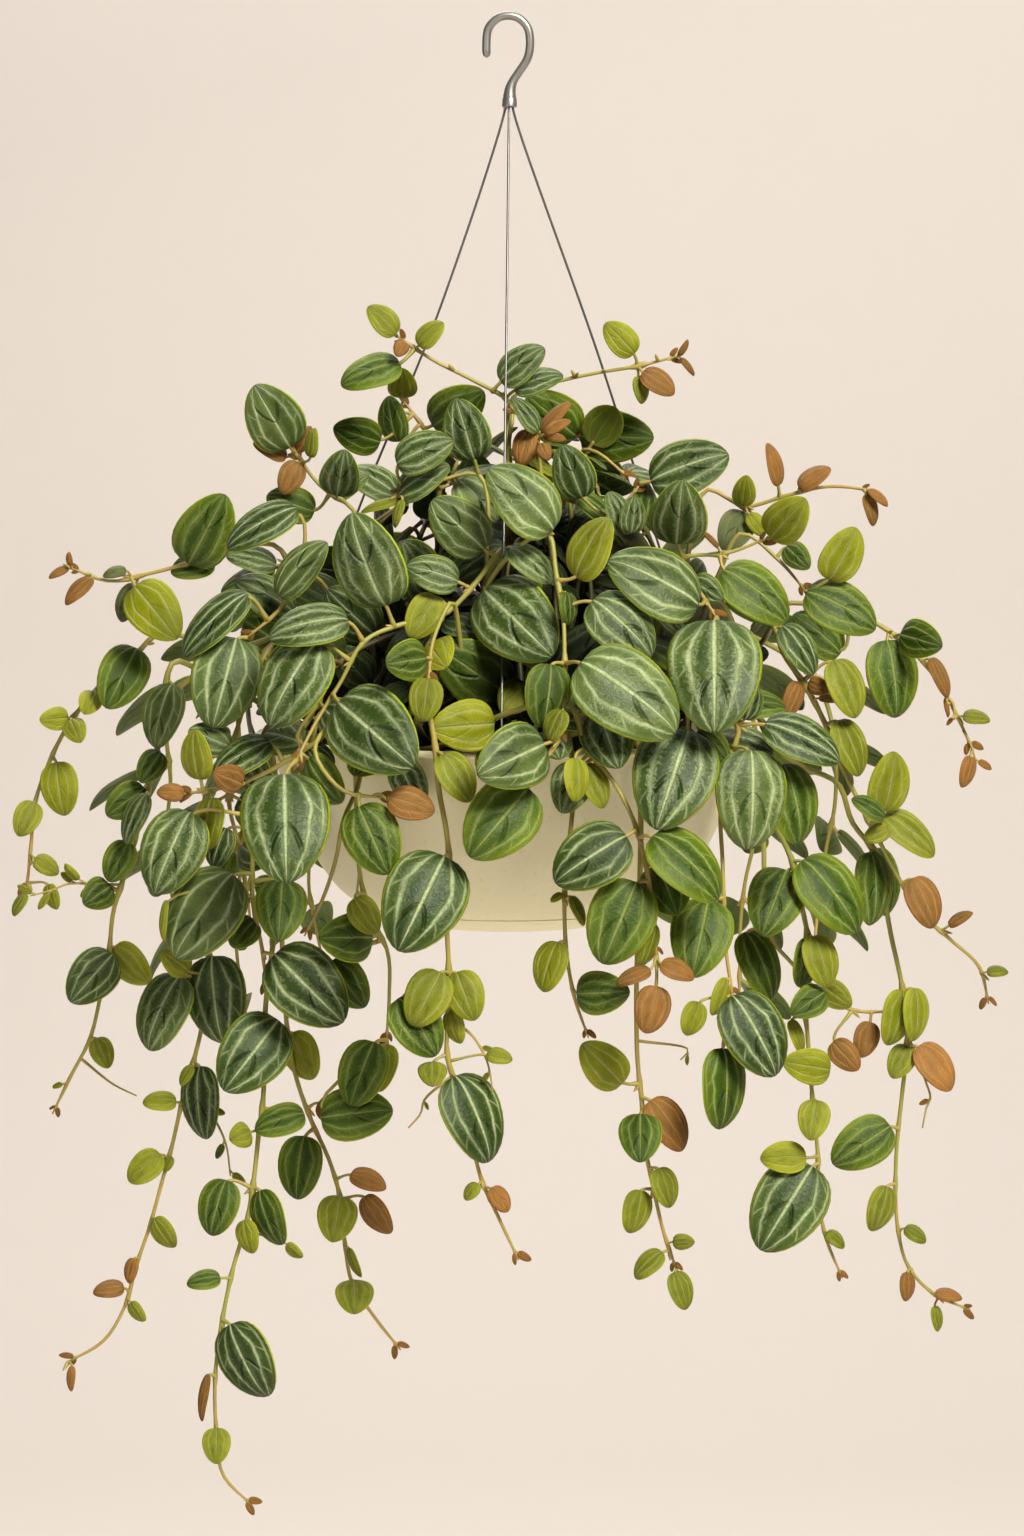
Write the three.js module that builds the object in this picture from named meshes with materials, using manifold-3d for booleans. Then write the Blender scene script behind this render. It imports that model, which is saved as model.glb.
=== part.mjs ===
// Hanging bowl pot on a three-wire hanger, planted with a trailing dischidia.
// Millimetres, +Z up, +Y away from the viewer. Origin: top inside of the hook, the hang point.

import * as THREE from 'three';
import { mergeVertices } from 'three/addons/utils/BufferGeometryUtils.js';
import Module from 'manifold-3d';

const wasm = await Module();
wasm.setup();

// Hook
const ROD_RADIUS = 2.1;
const HOOK_PATH = [
  [-10.7, -17.6], [-10.9, -12.6], [-9.9, -4.2], [-5.6, 0.7], [-0.3, 2.1], [5.0, 0.8],
  [9.4, -3.9], [10.6, -11.0], [9.4, -18.4], [4.6, -26.0], [1.4, -31.4], [0.6, -36.0],
];
const NECK = { x: 0.5, radius: 2.7, top: -31.5 };
const FERRULE = { x: 0.5, radius: 3.7, top: -38, bottom: -42.5 };
const SLOT = { x: 0.2, z: -37, size: 1.2, depth: 0.8 };

// Wires
const WIRE_RADIUS = 0.6;
const WIRE_GAP = 0.3;
const WIRE_SOCKET_TOP = -39.5;
const WIRE_END_DROP = 5.5;
const WIRE_CURL = 2.6;
const WIRE_STEP = 12;
const WIRES = {
  wire_back_left: [
    [-1.6, 0.9, -42.8], [-34.5, 12, -141.6], [-73.6, 25, -236], [-92.4, 31, -286.5], [-115, 43, -349],
  ],
  wire_back_right: [
    [2.1, 0.9, -42.8], [45.8, 25, -166], [76.1, 43.5, -259], [91, 50, -305], [108, 59, -349],
  ],
  wire_front: [
    [0.2, -1.4, -42.8], [-0.6, -31, -120], [-1.6, -62, -200], [-2.5, -93, -276], [-3.3, -123, -349],
  ],
};

// Pot: radius and height of the outer wall from the flange down to the base
const FLANGE = { radius: 126, top: -351, thickness: 2.5, edge: 0.6 };
const POT_OUTER = [
  [119.5, -354.5], [115.5, -368], [103, -401], [94.6, -416], [85, -428.6], [76, -435.6], [66, -440.6],
  [52, -445],
];
const POT_BOTTOM = POT_OUTER[POT_OUTER.length - 1][1];
const POT_WALL = 3;
const POT_FLOOR = -441.5;
const POT_SIDES = 28;
const DRAIN = { count: 4, ring: 30, radius: 3.5 };
const POT_FLOOR_RADIUS = 50;
const WIRE_HOLE_GAP = 0.5;
const SOIL_TOP = -368;
const SOIL_CROWN = 3;
const SOIL_GAP = 0.4;
const SOIL_HOLE = { depth: 14, radius: 3.7, below: 1.2, length: 34 };
const ROOT_SPACING = 9;

// Viewpoint from which the plant was measured: across and down are read in the plane of the hook
const EYE = { x: 1.72, y: -2000, z: -185.35 };
const VIEW_SLOPE = 0.0916;
const VIEW_RISE = 0.9958;
const VIEW_DROP = 184;
const VIEW_CENTRE = { across: 1.75, down: 374.1 };

// Leaf form: the outline narrows by these powers towards its base and its tip
const LEAF_OUTLINE = { base: 0.38, tip: 0.56 };
const LEAF_WIDEST = LEAF_OUTLINE.base / (LEAF_OUTLINE.base + LEAF_OUTLINE.tip);
const LEAF_RATIO = 0.72;
const LEAF_BOW = 0.05;
const LEAF_CREST = 0.085;
const LEAF_CREST_LEAST = 1.5;
const LEAF_STATIONS = [0.16, 0.45, 0.78];
const SMALL_LEAF_STATIONS = [0.22, 0.66];
const SMALL_LEAF_LENGTH = 31;
const LEAF_LEAST_AREA = 366;
const PETIOLE_RADIUS = 1.1;
const PETIOLE_ROOT = 0.5;
const FULLEST_TILT = 1.35;
const FULLEST_ROLL = 1.3;
const TIP_FORWARD = 0.12;

// Stems
const STEM_RADIUS = 1.75;
const STEM_TIP_RADIUS = 0.8;
const STEM_SOLID_FACTOR = 1.2;
const STEM_STEP = 21;
const STEM_CHECK_STEP = 6;
const CROWN_LEVEL = -330;
const HANGING_LEVEL = -345;
const RIM_ZONE = { radius: 108, bottom: -364, top: -340 };
const RIM_CROSSING = [[96, -336], [124, -338], [132.5, -345], [131.5, -358]];

// Room kept between leaves, stems, wires and pot
const LEAF_ROOM = 2.7;
const STEM_ROOM = 1.9;
const POT_ROOM = 2.2;
const DEPTH_SHIFTS = [0, -3, 3, -6, 6, -9, 9, -13, 13, -17, 17, -22, 22, -28, 28];
const SEED = 20731;

// Vines seen from the front. path: [across, down]; depth: y at the start and end of the path;
// leaves: base across, base down, tip across, tip down, seen width, tone, optional depth shift.
// Tones: D dark, M mid green, L lime, C copper, G grey.
const VINES = {
  crown_left: {
    depth: [-28, -30],
    path: [[0, 190], [-13, 183], [-25, 176], [-40, 169], [-47, 165], [-52, 161], [-56, 158]],
    leaves: [
      [-56, 157, -70, 143, 13, 'L'], [-45, 163, -33, 151, 11, 'L'], [-52, 161, -56, 168, 8, 'C'],
      [-54, 172, -84, 182, 17, 'M'], [-4, 181, 17.5, 163.5, 17, 'D'], [3, 185, 27, 177, 13, 'D'],
    ],
  },
  crown_lime: {
    depth: [20, 18],
    path: [[-30, 228], [-40, 215], [-43, 207], [-41, 200], [-48, 197], [-53, 190]],
    leaves: [
      [-53, 189, -53, 175, 15, 'L'], [-55, 211, -60, 188, 15, 'M'], [-64, 211, -87, 204, 19, 'M'],
      [-38, 203, -13, 186, 25, 'M'],
    ],
  },
  crown_mid: {
    depth: [-62, -66],
    path: [[-10, 227], [-18, 228], [-30, 229], [-36, 231], [-47, 235], [-55, 238]],
    leaves: [
      [-17, 220, -26, 190, 23, 'D'], [-56, 222, -28, 210, 20, 'D'], [-55, 238, -30, 222, 16, 'D'],
      [-53, 240, -74, 246, 5, 'L'], [-53, 240, -57, 254, 5, 'L'],
    ],
  },
  left_copper: {
    depth: [-50, -52],
    path: [[-70, 262], [-76, 247], [-84, 240], [-95, 232], [-102, 222], [-107, 216]],
    leaves: [
      [-109, 214, -127, 183, 28, 'D'], [-111, 219, -127.5, 211, 9, 'C'], [-106, 216, -99, 203, 8, 'C'],
      [-105, 221, -113, 237, 13, 'C'], [-99, 219, -97, 204, 7, 'L'], [-97, 246, -121, 238, 18, 'M', 10],
      [-86, 238, -82, 216, 20, 'D'], [-86, 239, -70, 227, 9, 'D'],
    ],
  },
  crown_copper: {
    depth: [-46, -40],
    path: [[18, 240], [16, 227], [14, 213], [11, 205], [5, 200], [1, 193]],
    leaves: [
      [15, 206, 2, 189, 10, 'D'], [16, 206, 31, 191, 7, 'C'], [18, 207, 31, 200, 6, 'C'],
      [17, 208, 29, 210, 5, 'C'], [11, 205, 6, 223, 13, 'C'], [16, 212, 20, 220, 8, 'C'],
    ],
  },
  crown_right: {
    depth: [-12, -14],
    path: [
      [0, 190], [15, 184], [27, 180], [38, 177.5], [48, 176], [57, 175], [65, 173], [75, 169],
      [85, 168],
    ],
    leaves: [
      [63, 167, 48.5, 151.5, 15, 'L'], [67, 176, 83, 187, 12, 'C'], [65, 178, 67, 192, 8, 'L'],
      [85, 168, 90, 160, 3.5, 'C'], [86, 169, 93, 178, 3.5, 'C'],
    ],
  },
  back_right: {
    depth: [20, 20],
    path: [[14, 222], [20, 212], [30, 210], [36, 208]],
    leaves: [
      [34, 208, 10, 188, 26, 'M'], [36, 208, 72, 209, 27, 'M'], [38, 214, 61, 236, 12, 'M'],
    ],
  },
  right_hero: {
    depth: [-60, -62],
    path: [[40, 262], [50, 250], [60, 243], [66, 232]],
    leaves: [
      [71, 231, 110, 217, 27, 'D'], [59, 257, 50, 236, 13, 'D'], [61, 257, 63, 238, 13, 'D'],
      [37, 239, 27, 213, 21, 'D'],
    ],
  },
  right_sprig: {
    depth: [10, -5],
    path: [
      [97, 235], [105, 238], [117, 243], [123, 242], [131, 240], [142, 237], [154, 234],
      [165, 233], [175, 233],
      [181, 235],
    ],
    leaves: [
      [117, 243, 119, 228, 12, 'L'], [135, 233, 130, 211.5, 8, 'C'], [145, 234, 161, 224, 10, 'C'],
      [179, 237, 183, 253, 7, 'C'], [180, 235, 190, 243, 5, 'C'], [118, 246, 108, 265, 18, 'G', 6],
      [120, 247, 128, 258, 9, 'L'],
    ],
  },
  right_ochre: {
    depth: [-70, -72],
    path: [[78, 270], [90, 269], [100, 268], [112, 266], [123, 262], [130, 259]],
    leaves: [
      [84, 262, 87, 231, 28, 'D'], [107, 275, 140, 300, 25, 'M'], [131, 259, 148, 240, 21, 'L'],
      [105, 264, 96, 255, 3, 'C'],
    ],
  },
  right_front: {
    depth: [-96, -112],
    path: [[86, 268], [92, 280], [97, 290], [104, 299]],
    leaves: [
      [95, 293, 50, 270, 31, 'D', -6], [103, 300, 103, 356, 45, 'D', -6], [92, 280, 107, 290, 14, 'D', 6],
      [76, 297, 88, 308, 9, 'D'],
    ],
  },
  right_pink: {
    depth: [-40, -42],
    path: [[118, 256], [126, 262], [134, 269], [142, 280], [149, 286]],
    leaves: [
      [149, 286, 184, 304, 25, 'M'], [160, 280, 174, 254, 20, 'L'], [139, 263, 150, 274, 13, 'M', 4],
    ],
  },
  right_upper_trail: {
    depth: [0, -4],
    path: [
      [142, 290], [165, 296], [184, 301], [195, 309], [205, 319], [212, 327], [218, 338],
      [224, 347], [229, 357],
      [232, 365],
    ],
    leaves: [
      [189, 310, 194, 349, 26, 'M'], [196, 307, 216, 313, 20, 'M'], [166, 317, 143, 297, 20, 'M', 10],
      [211, 319, 220, 339, 8, 'C'], [218, 340, 220, 349, 2.5, 'C'], [227, 348, 241, 350, 7.5, 'L'],
      [231, 368, 227, 384, 8, 'C'],
    ],
  },
  right_trail: {
    depth: [-62, -20],
    path: [
      [135, 303], [136, 313], [143, 327], [153, 339], [161, 359], [171, 383], [184, 407],
      [190, 422], [197, 432],
      [205, 445], [213, 454], [221, 460], [229, 465], [235, 473], [240, 482], [240, 492],
    ],
    leaves: [
      [137, 303, 153, 327, 16, 'D'], [163, 320, 174, 349, 18, 'L'], [145, 331, 138, 349, 10, 'C'],
      [150, 331, 160, 336, 9, 'C'], [155, 339, 168, 340, 5, 'C'], [165, 350, 176, 378, 16, 'L'],
      [187, 396, 193, 366, 20, 'L'], [188, 397, 213, 418, 16, 'L'], [188, 399, 172, 389, 10, 'M'],
      [190, 404, 178, 410, 10, 'L'], [202, 429, 213, 454, 17, 'C'], [220, 453, 232, 446, 6, 'C'],
      [239, 476, 250, 476, 6, 'L'],
    ],
  },
  right_long: {
    depth: [-32, -4],
    path: [
      [163, 380], [168, 390], [175, 408], [182, 414], [186, 425], [189, 447], [196, 479],
      [199, 497], [199, 509],
      [198, 528], [196, 544], [194, 566], [194, 599], [198, 618], [202, 628], [211, 636], [231, 645],
    ],
    leaves: [
      [181, 416, 182, 453, 19, 'M'], [184, 414, 190, 448, 16, 'M', 6], [203, 484, 203, 511, 13, 'L'],
      [197, 485, 190, 513, 16, 'L'], [205, 513, 222, 535, 17, 'C'], [200, 513, 192, 529, 14, 'L'],
      [191, 553, 162, 572, 25, 'M'], [189, 583, 182, 606, 14, 'L'], [198, 604, 209, 611, 8, 'L'],
      [199, 626, 199, 641, 8, 'C'], [213, 637, 227, 639, 7, 'C'], [213, 643, 215, 656, 6, 'L'],
    ],
  },
  right_mid_trail: {
    depth: [-70, -66],
    path: [
      [133, 402], [141, 418], [146, 440], [150, 462], [147, 482], [149, 502], [152, 540],
      [155, 572], [156, 603],
      [160, 612], [167, 629],
    ],
    leaves: [
      [147, 420, 175, 456, 28, 'M'], [139, 425, 127, 457, 28, 'M'], [151, 459, 146, 484, 14, 'M'],
      [152, 458, 160, 484, 17, 'L'], [158, 486, 142, 497, 16, 'M'], [141, 500, 147, 517, 7, 'L'],
      [161, 525, 138, 521, 18, 'L'], [154, 540, 151, 560, 16, 'L'], [149, 569, 126, 569, 16, 'L'],
      [152, 573, 126, 615, 36, 'D'], [159, 606, 168, 614, 7, 'L'],
    ],
  },
  right_diagonal: {
    depth: [-40, -18],
    path: [[131, 459], [137, 466], [149, 480], [162, 491], [176, 496], [191, 496]],
    leaves: [
      [118, 456, 132, 490, 20, 'M'], [128, 459, 132, 488, 9, 'L', 6], [157, 483, 171, 493, 14, 'L'],
      [162, 511, 175, 525, 14, 'C'], [181, 501, 176, 519, 13, 'C'],
    ],
  },
  right_front_trail: {
    depth: [-112, -126],
    path: [
      [112, 340], [115, 350], [112, 364], [107, 382], [106, 400], [107, 420], [107, 435],
      [109, 455], [109, 480],
      [112, 488],
    ],
    leaves: [
      [121, 365, 120, 415, 34, 'D', -6], [128, 352, 166, 370, 21, 'D'], [137, 372, 146, 412, 24, 'M', 6],
      [90, 355, 74, 404, 40, 'D', -12], [95, 355, 110, 371, 13, 'M'], [118, 350, 124, 333, 12, 'D'],
      [100, 440, 92, 478, 30, 'M'], [109, 479, 102, 498, 9, 'L'], [112, 488, 134, 528, 30, 'D'],
      [107, 514, 106, 555, 21, 'M'], [95, 491, 89, 508, 12, 'L'],
    ],
  },
  front_right: {
    depth: [-142, -150],
    path: [[30, 342], [36, 358], [45, 373], [54, 383], [61, 397], [65, 407], [70, 430], [72, 443], [74, 468]],
    leaves: [
      [59, 408, 23, 431, 30, 'D', -6], [72, 408, 106, 439, 26, 'M', -6], [64, 431, 47, 472, 32, 'M'],
      [33, 369, 34, 391, 12, 'L'], [38, 372, 48, 394, 13, 'L'], [35, 372, 27, 396, 20, 'D', 6],
      [45, 345, 55, 374, 26, 'D', 12], [75, 422, 84, 447, 25, 'M', 10], [73, 452, 66, 474, 8, 'L'],
      [71, 475, 54, 482, 8, 'C'], [76, 472, 93, 479, 10, 'C'], [74, 483, 69, 507, 17, 'C'],
    ],
  },
  front_long: {
    depth: [-118, -100],
    path: [
      [66, 380], [66, 420], [65, 450], [64, 482], [64, 502], [65, 528], [67, 544], [68, 561],
      [72, 582], [77, 604],
      [81, 619], [84, 625],
    ],
    leaves: [
      [57, 532, 37, 512, 21, 'L'], [71, 540, 88, 565, 18, 'C'], [66, 547, 66, 571, 21, 'M'],
      [75, 574, 81, 594, 13, 'L'], [66, 585, 61, 607, 14, 'L'], [82, 611, 93, 611, 8, 'L'],
      [77, 616, 63, 629, 11, 'L'], [83, 626, 89, 645, 12, 'L'],
    ],
  },
  front_thin: {
    depth: [-137, -134],
    path: [[33, 388], [29, 420], [28, 450], [29, 466], [32, 485], [36, 498], [40, 509]],
    leaves: [
      [31, 438, 38, 453, 6, 'L'], [27, 437, 21, 441, 4, 'L'], [25, 461, 17, 486, 16, 'L'],
      [34, 487, 60, 486, 21, 'M'],
    ],
  },
  front_centre: {
    depth: [-112, -156],
    path: [[19, 256], [24, 278], [27, 295], [28, 311], [28, 328], [28, 345], [25, 360]],
    leaves: [
      [22.5, 255, -9, 224, 29, 'D'], [34, 279, 50, 249, 20, 'L'], [42, 290, 72, 318, 27, 'D'],
      [36, 321, 84, 356, 39, 'D', -6], [21, 322, 17, 354, 22, 'M'], [27, 345, 20, 361, 11, 'L'],
      [18, 362, -14, 377, 31, 'D'], [10, 384, -19, 418, 33, 'M'], [29, 286, 30, 303, 9, 'M'],
      [1, 264, 22, 281, 14, 'D'],
    ],
  },
  front_left: {
    depth: [-96, -140],
    path: [
      [-4, 265], [-16, 281], [-30, 296], [-46, 301], [-62, 304], [-70, 308], [-82, 328],
      [-94, 347], [-100, 359],
      [-106, 370],
    ],
    leaves: [
      [-12, 265, -38, 240, 26, 'D'], [-25, 281, -51, 273, 18, 'D'], [-12, 285, 22, 318, 38, 'D', -6],
      [-61, 293, -79, 247, 33, 'D'], [-36, 288, -49, 309, 18, 'L'], [-80, 300, -120, 308, 20, 'D'],
      [-95, 311, -120, 353, 32, 'D'], [-85, 341, -48, 373, 39, 'D', -8], [-100, 369, -84, 392, 18, 'M'],
      [-112, 377, -111, 431, 42, 'D', -8],
    ],
  },
  left_copper_branch: {
    depth: [-116, -100],
    path: [[-110, 370], [-118, 375], [-130, 380], [-143, 384], [-152, 386], [-162, 387]],
    leaves: [
      [-154, 380, -157, 355, 15, 'L'], [-148, 389, -151, 415, 15, 'L'], [-133, 382, -147, 376, 14, 'C'],
      [-162, 387, -176, 386, 9, 'C'], [-119, 361, -148, 378, 17, 'D', 6], [-139, 364, -160, 355, 16, 'D', 8],
    ],
  },
  front_copper_branch: {
    depth: [-150, -152],
    path: [[-101, 362], [-96, 368], [-88, 380], [-80, 387], [-70, 389], [-60, 389]],
    leaves: [
      [-75, 393, -60, 427, 27, 'M'], [-60, 389, -37, 396, 16, 'C'],
    ],
  },
  centre_small: {
    depth: [-122, -144],
    path: [[-27, 290], [-35, 302], [-38, 312], [-39, 320], [-40, 329]],
    leaves: [
      [-41, 319, -61, 322, 20, 'M'], [-40, 329, -43, 351, 16, 'L'], [0, 338, -34, 314, 32, 'M', 4],
      [-7, 352, -38, 354, 25, 'L'],
    ],
  },
  front_trail: {
    depth: [-150, -138],
    path: [
      [-39, 346], [-37, 360], [-36, 377], [-33, 395], [-30, 412], [-29, 420], [-31, 458],
      [-30, 472], [-30, 496],
      [-31, 515], [-28, 526], [-20, 555], [-16, 571], [-12, 584], [-6, 596], [-2, 606], [5, 620],
    ],
    leaves: [
      [-32, 418, -55, 465, 39, 'D', -6], [-33, 367, -19, 391, 17, 'L'], [-34, 476, -48, 503, 22, 'L'],
      [-26, 476, -17, 500, 19, 'L'], [-55, 489, -36, 518, 24, 'M'], [-29, 495, -24, 512, 10, 'L'],
      [-38, 521, -38, 533, 14, 'L'], [-11, 517, 2, 520, 8, 'L'], [-27, 528, -9, 571, 28, 'D'],
      [-9, 584, 0, 596, 10, 'C'], [-15, 582, -22, 590, 7, 'L'],
    ],
  },
  left_sprig: {
    depth: [-30, -24],
    path: [
      [-118, 262], [-142, 266], [-150, 269], [-161, 272], [-177, 276], [-188, 280], [-206, 280], [-214, 277],
      [-219, 274],
    ],
    leaves: [
      [-160, 272, -142, 238, 29, 'M'], [-147, 271, -169, 276, 14, 'M'], [-187, 283, -166, 309, 26, 'L'],
      [-186, 282, -194, 301, 12, 'G'], [-191, 275, -203, 278, 6, 'G'], [-208, 279, -222, 292, 8, 'C'],
      [-220, 274, -230, 279, 4.5, 'C'], [-219, 273, -220, 266, 3.5, 'C'], [-116, 273, -141, 267, 13, 'D'],
      [-117, 274, -144, 286, 10, 'M'],
    ],
  },
  left_upper: {
    depth: [-82, -88],
    path: [[-98, 274], [-105, 282], [-112, 290], [-116, 297], [-121, 304], [-131, 309]],
    leaves: [
      [-115, 288, -91, 261, 18, 'D'], [-106, 244, -141, 264, 18, 'D'], [-131, 287, -163, 318, 18, 'D'],
      [-136, 309, -148, 354, 34, 'D'],
    ],
  },
  left_outer: {
    depth: [-12, -8],
    path: [
      [-170, 306], [-186, 314], [-190, 322], [-200, 330], [-208, 337], [-219, 351], [-226, 363], [-230, 372],
      [-236, 388], [-238, 402], [-239, 416], [-241, 435],
    ],
    leaves: [
      [-186, 314, -201, 344, 25, 'M'], [-207, 336, -212, 347, 12, 'L'], [-220, 349, -234, 350, 12, 'L'],
      [-219, 350, -214, 361, 12, 'L'], [-226, 371, -222, 398, 19, 'L'], [-237, 391, -245, 408, 14, 'L'],
      [-237, 419, -225, 427, 10, 'L'], [-241, 437, -248, 448, 6, 'L'], [-230, 432, -226, 445, 8, 'L'],
    ],
  },
  left_long: {
    depth: [-44, -36],
    path: [
      [-170, 322], [-172, 335], [-173, 350], [-178, 375], [-184, 400], [-192, 428], [-198, 448], [-199, 462],
      [-204, 488], [-207, 502], [-211, 514], [-217, 526], [-225, 535], [-228, 547],
    ],
    leaves: [
      [-168, 332, -177, 364, 20, 'D'], [-174, 366, -184, 381, 14, 'M'], [-182, 384, -201, 398, 17, 'M'],
      [-181, 387, -192, 412, 12, 'D'], [-190, 411, -200, 431, 16, 'M'], [-199, 433, -212, 442, 17, 'M'],
      [-215, 430, -222, 422, 5, 'L'], [-198, 467, -219, 491, 24, 'D'], [-197, 463, -180, 482, 17, 'L'],
      [-206, 509, -200, 524, 12, 'L'], [-223, 532, -228, 534, 3, 'L'],
    ],
  },
  left_front_trail: {
    depth: [-112, -106],
    path: [[-128, 400], [-128, 418], [-128, 435], [-127, 450], [-124, 460], [-121, 485]],
    leaves: [
      [-138, 427, -167, 469, 35, 'D'], [-159, 396, -177, 437, 31, 'D'], [-113, 430, -115, 460, 25, 'M'],
      [-117, 467, -83, 501, 35, 'D'], [-127, 450, -138, 463, 15, 'M'], [-171, 440, -173, 461, 4, 'L'],
      [-141, 404, -148, 424, 14, 'D', 10],
    ],
  },
  lower_left: {
    depth: [-72, -68],
    path: [
      [-148, 450], [-150, 470], [-152, 495], [-156, 516], [-161, 532], [-168, 562], [-173, 580], [-179, 602],
      [-185, 619], [-189, 634], [-193, 646], [-201, 659], [-213, 668], [-220, 671],
    ],
    leaves: [
      [-148, 468, -143, 512, 30, 'D'], [-164, 478, -181, 515, 25, 'D'], [-160, 476, -173, 466, 13, 'L'],
      [-154, 523, -152, 560, 19, 'D'], [-158, 523, -164, 533, 6, 'L'], [-166, 541, -183, 541, 10, 'L'],
      [-174, 567, -190, 581, 15, 'L'], [-169, 568, -172, 576, 6, 'L'], [-177, 599, -167, 614, 11, 'L'],
      [-187, 619, -190, 632, 7, 'C'], [-192, 634, -208, 636, 9, 'C'], [-189, 641, -182, 651, 7, 'L'],
      [-218, 673, -219, 686, 4.5, 'C'],
    ],
  },
  lowest_left: {
    depth: [-96, -92],
    path: [
      [-122, 500], [-122, 530], [-125, 558], [-130, 597], [-139, 629], [-145, 662], [-147, 675], [-146, 701],
      [-145, 722], [-139, 733], [-128, 743],
    ],
    leaves: [
      [-115, 500, -142, 535, 33, 'D'], [-102, 547, -127, 555, 16, 'M'], [-129, 556, -139, 560, 13, 'L'],
      [-141, 580, -149, 608, 20, 'M'], [-124, 585, -114, 613, 16, 'M'], [-132, 600, -128, 617, 11, 'L'],
      [-144, 629, -161, 632, 10, 'M'], [-139, 652, -121, 689, 26, 'D'], [-150, 677, -154, 701, 5, 'C'],
      [-146, 704, -146, 722, 14, 'L'], [-111, 612, -103, 619, 6, 'L'],
    ],
  },
  lower_pink: {
    depth: [-60, -54],
    path: [
      [-109, 518], [-103, 538], [-96, 557], [-91, 568], [-86, 576], [-84, 590], [-82, 610],
      [-78, 632], [-66, 650],
      [-54, 665],
    ],
    leaves: [
      [-95, 541, -76, 553, 15, 'C'], [-102, 558, -106, 590, 22, 'M'], [-79, 577, -61, 584, 11, 'C'],
      [-72, 588, -59, 607, 13, 'C'], [-84, 588, -88, 611, 20, 'L'], [-80, 614, -74, 629, 5, 'L'],
      [-77, 630, -77, 647, 19, 'L'], [-108, 506, -98, 530, 18, 'L', 8],
    ],
  },
  lower_centre_left: {
    depth: [-104, -94],
    path: [[-72, 442], [-66, 452], [-62, 459], [-60, 470], [-60, 500], [-61, 510]],
    leaves: [
      [-77, 439, -66, 457, 15, 'L'], [-68, 459, -94, 459, 24, 'M'], [-88, 470, -72, 494, 20, 'M'],
      [-67, 511, -79, 543, 24, 'M'], [-94, 549, -58, 545, 26, 'M'], [-60, 512, -66, 536, 15, 'L'],
    ],
  },
  left_stub: {
    depth: [-124, -112],
    path: [[-82, 398], [-84, 412], [-88, 425], [-92, 437], [-97, 450], [-102, 458]],
    leaves: [],
  },
};

// Vines on the sides and back, which the front view hides: a rule places their leaves in pairs.
// angle: direction from the pot's axis, in degrees from +X; end: height of the tip; reach: how far out
const REAR_VINES = {
  rear_right: { angle: 22, end: -478, reach: 178, arch: -300 },
  rear_right_inner: { angle: 40, end: -505, reach: 168, arch: -272 },
  rear_right_back: { angle: 59, end: -470, reach: 158, arch: -292 },
  rear_middle_right: { angle: 77, end: -440, reach: 152, arch: -268 },
  rear_middle: { angle: 94, end: -432, reach: 160, arch: -290 },
  rear_middle_left: { angle: 111, end: -446, reach: 152, arch: -264 },
  rear_left_back: { angle: 128, end: -486, reach: 162, arch: -292 },
  rear_left_inner: { angle: 145, end: -530, reach: 168, arch: -274 },
  rear_left: { angle: 163, end: -462, reach: 180, arch: -304 },
  rear_crown: { angle: 84, end: -330, reach: 104, arch: -232 },
};
const REAR_FIRST_PAIR = 70;
const REAR_PAIR_STEP = 43;
const REAR_LEAF_LENGTH = { first: 44, last: 24 };
const REAR_PETIOLE = 5.5;

// Seeded random numbers
function randomNumbers(seed) {
  let state = seed >>> 0;
  return () => {
    state = (state + 0x6d2b79f5) >>> 0;
    let mixed = Math.imul(state ^ (state >>> 15), 1 | state);
    mixed = (mixed + Math.imul(mixed ^ (mixed >>> 7), 61 | mixed)) ^ mixed;
    return ((mixed ^ (mixed >>> 14)) >>> 0) / 4294967296;
  };
}

// A point read in the front view, carried to its depth in the room
function place(across, down, depth) {
  const side = across - VIEW_CENTRE.across;
  const rise = VIEW_CENTRE.down - down;
  const scale = (depth - EYE.y) / (-EYE.y + VIEW_SLOPE * rise);
  return new THREE.Vector3(EYE.x + scale * side, depth, EYE.z + scale * (VIEW_RISE * rise - VIEW_DROP));
}

// The same point as the front view shows it
function seen(point) {
  const scaleOf = (rise) => (point.y - EYE.y) / (-EYE.y + VIEW_SLOPE * rise);
  let rise = 0;
  for (let step = 0; step < 4; step += 1) {
    rise = ((point.z - EYE.z) / scaleOf(rise) + VIEW_DROP) / VIEW_RISE;
  }
  return [VIEW_CENTRE.across + (point.x - EYE.x) / scaleOf(rise), VIEW_CENTRE.down - rise];
}

// Solids

function toSolid(geometry) {
  const plain = geometry.index ? geometry.clone() : geometry;
  for (const name of Object.keys(plain.attributes)) {
    if (name !== 'position') plain.deleteAttribute(name);
  }
  const merged = mergeVertices(plain, 1e-4);
  return new wasm.Manifold(new wasm.Mesh({
    numProp: 3,
    vertProperties: new Float32Array(merged.attributes.position.array),
    triVerts: new Uint32Array(merged.index.array),
  }));
}

function toGeometry(solid) {
  const { vertProperties, triVerts } = solid.getMesh();
  const geometry = new THREE.BufferGeometry();
  geometry.setAttribute('position', new THREE.BufferAttribute(new Float32Array(vertProperties), 3));
  geometry.setIndex(Array.from(triVerts));
  geometry.computeVertexNormals();
  return geometry;
}

function largestBody(solid) {
  const bodies = solid.decompose();
  bodies.sort((a, b) => b.volume() - a.volume());
  return bodies[0];
}

function overlap(first, second) {
  return first.intersect(second).volume();
}

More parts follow.
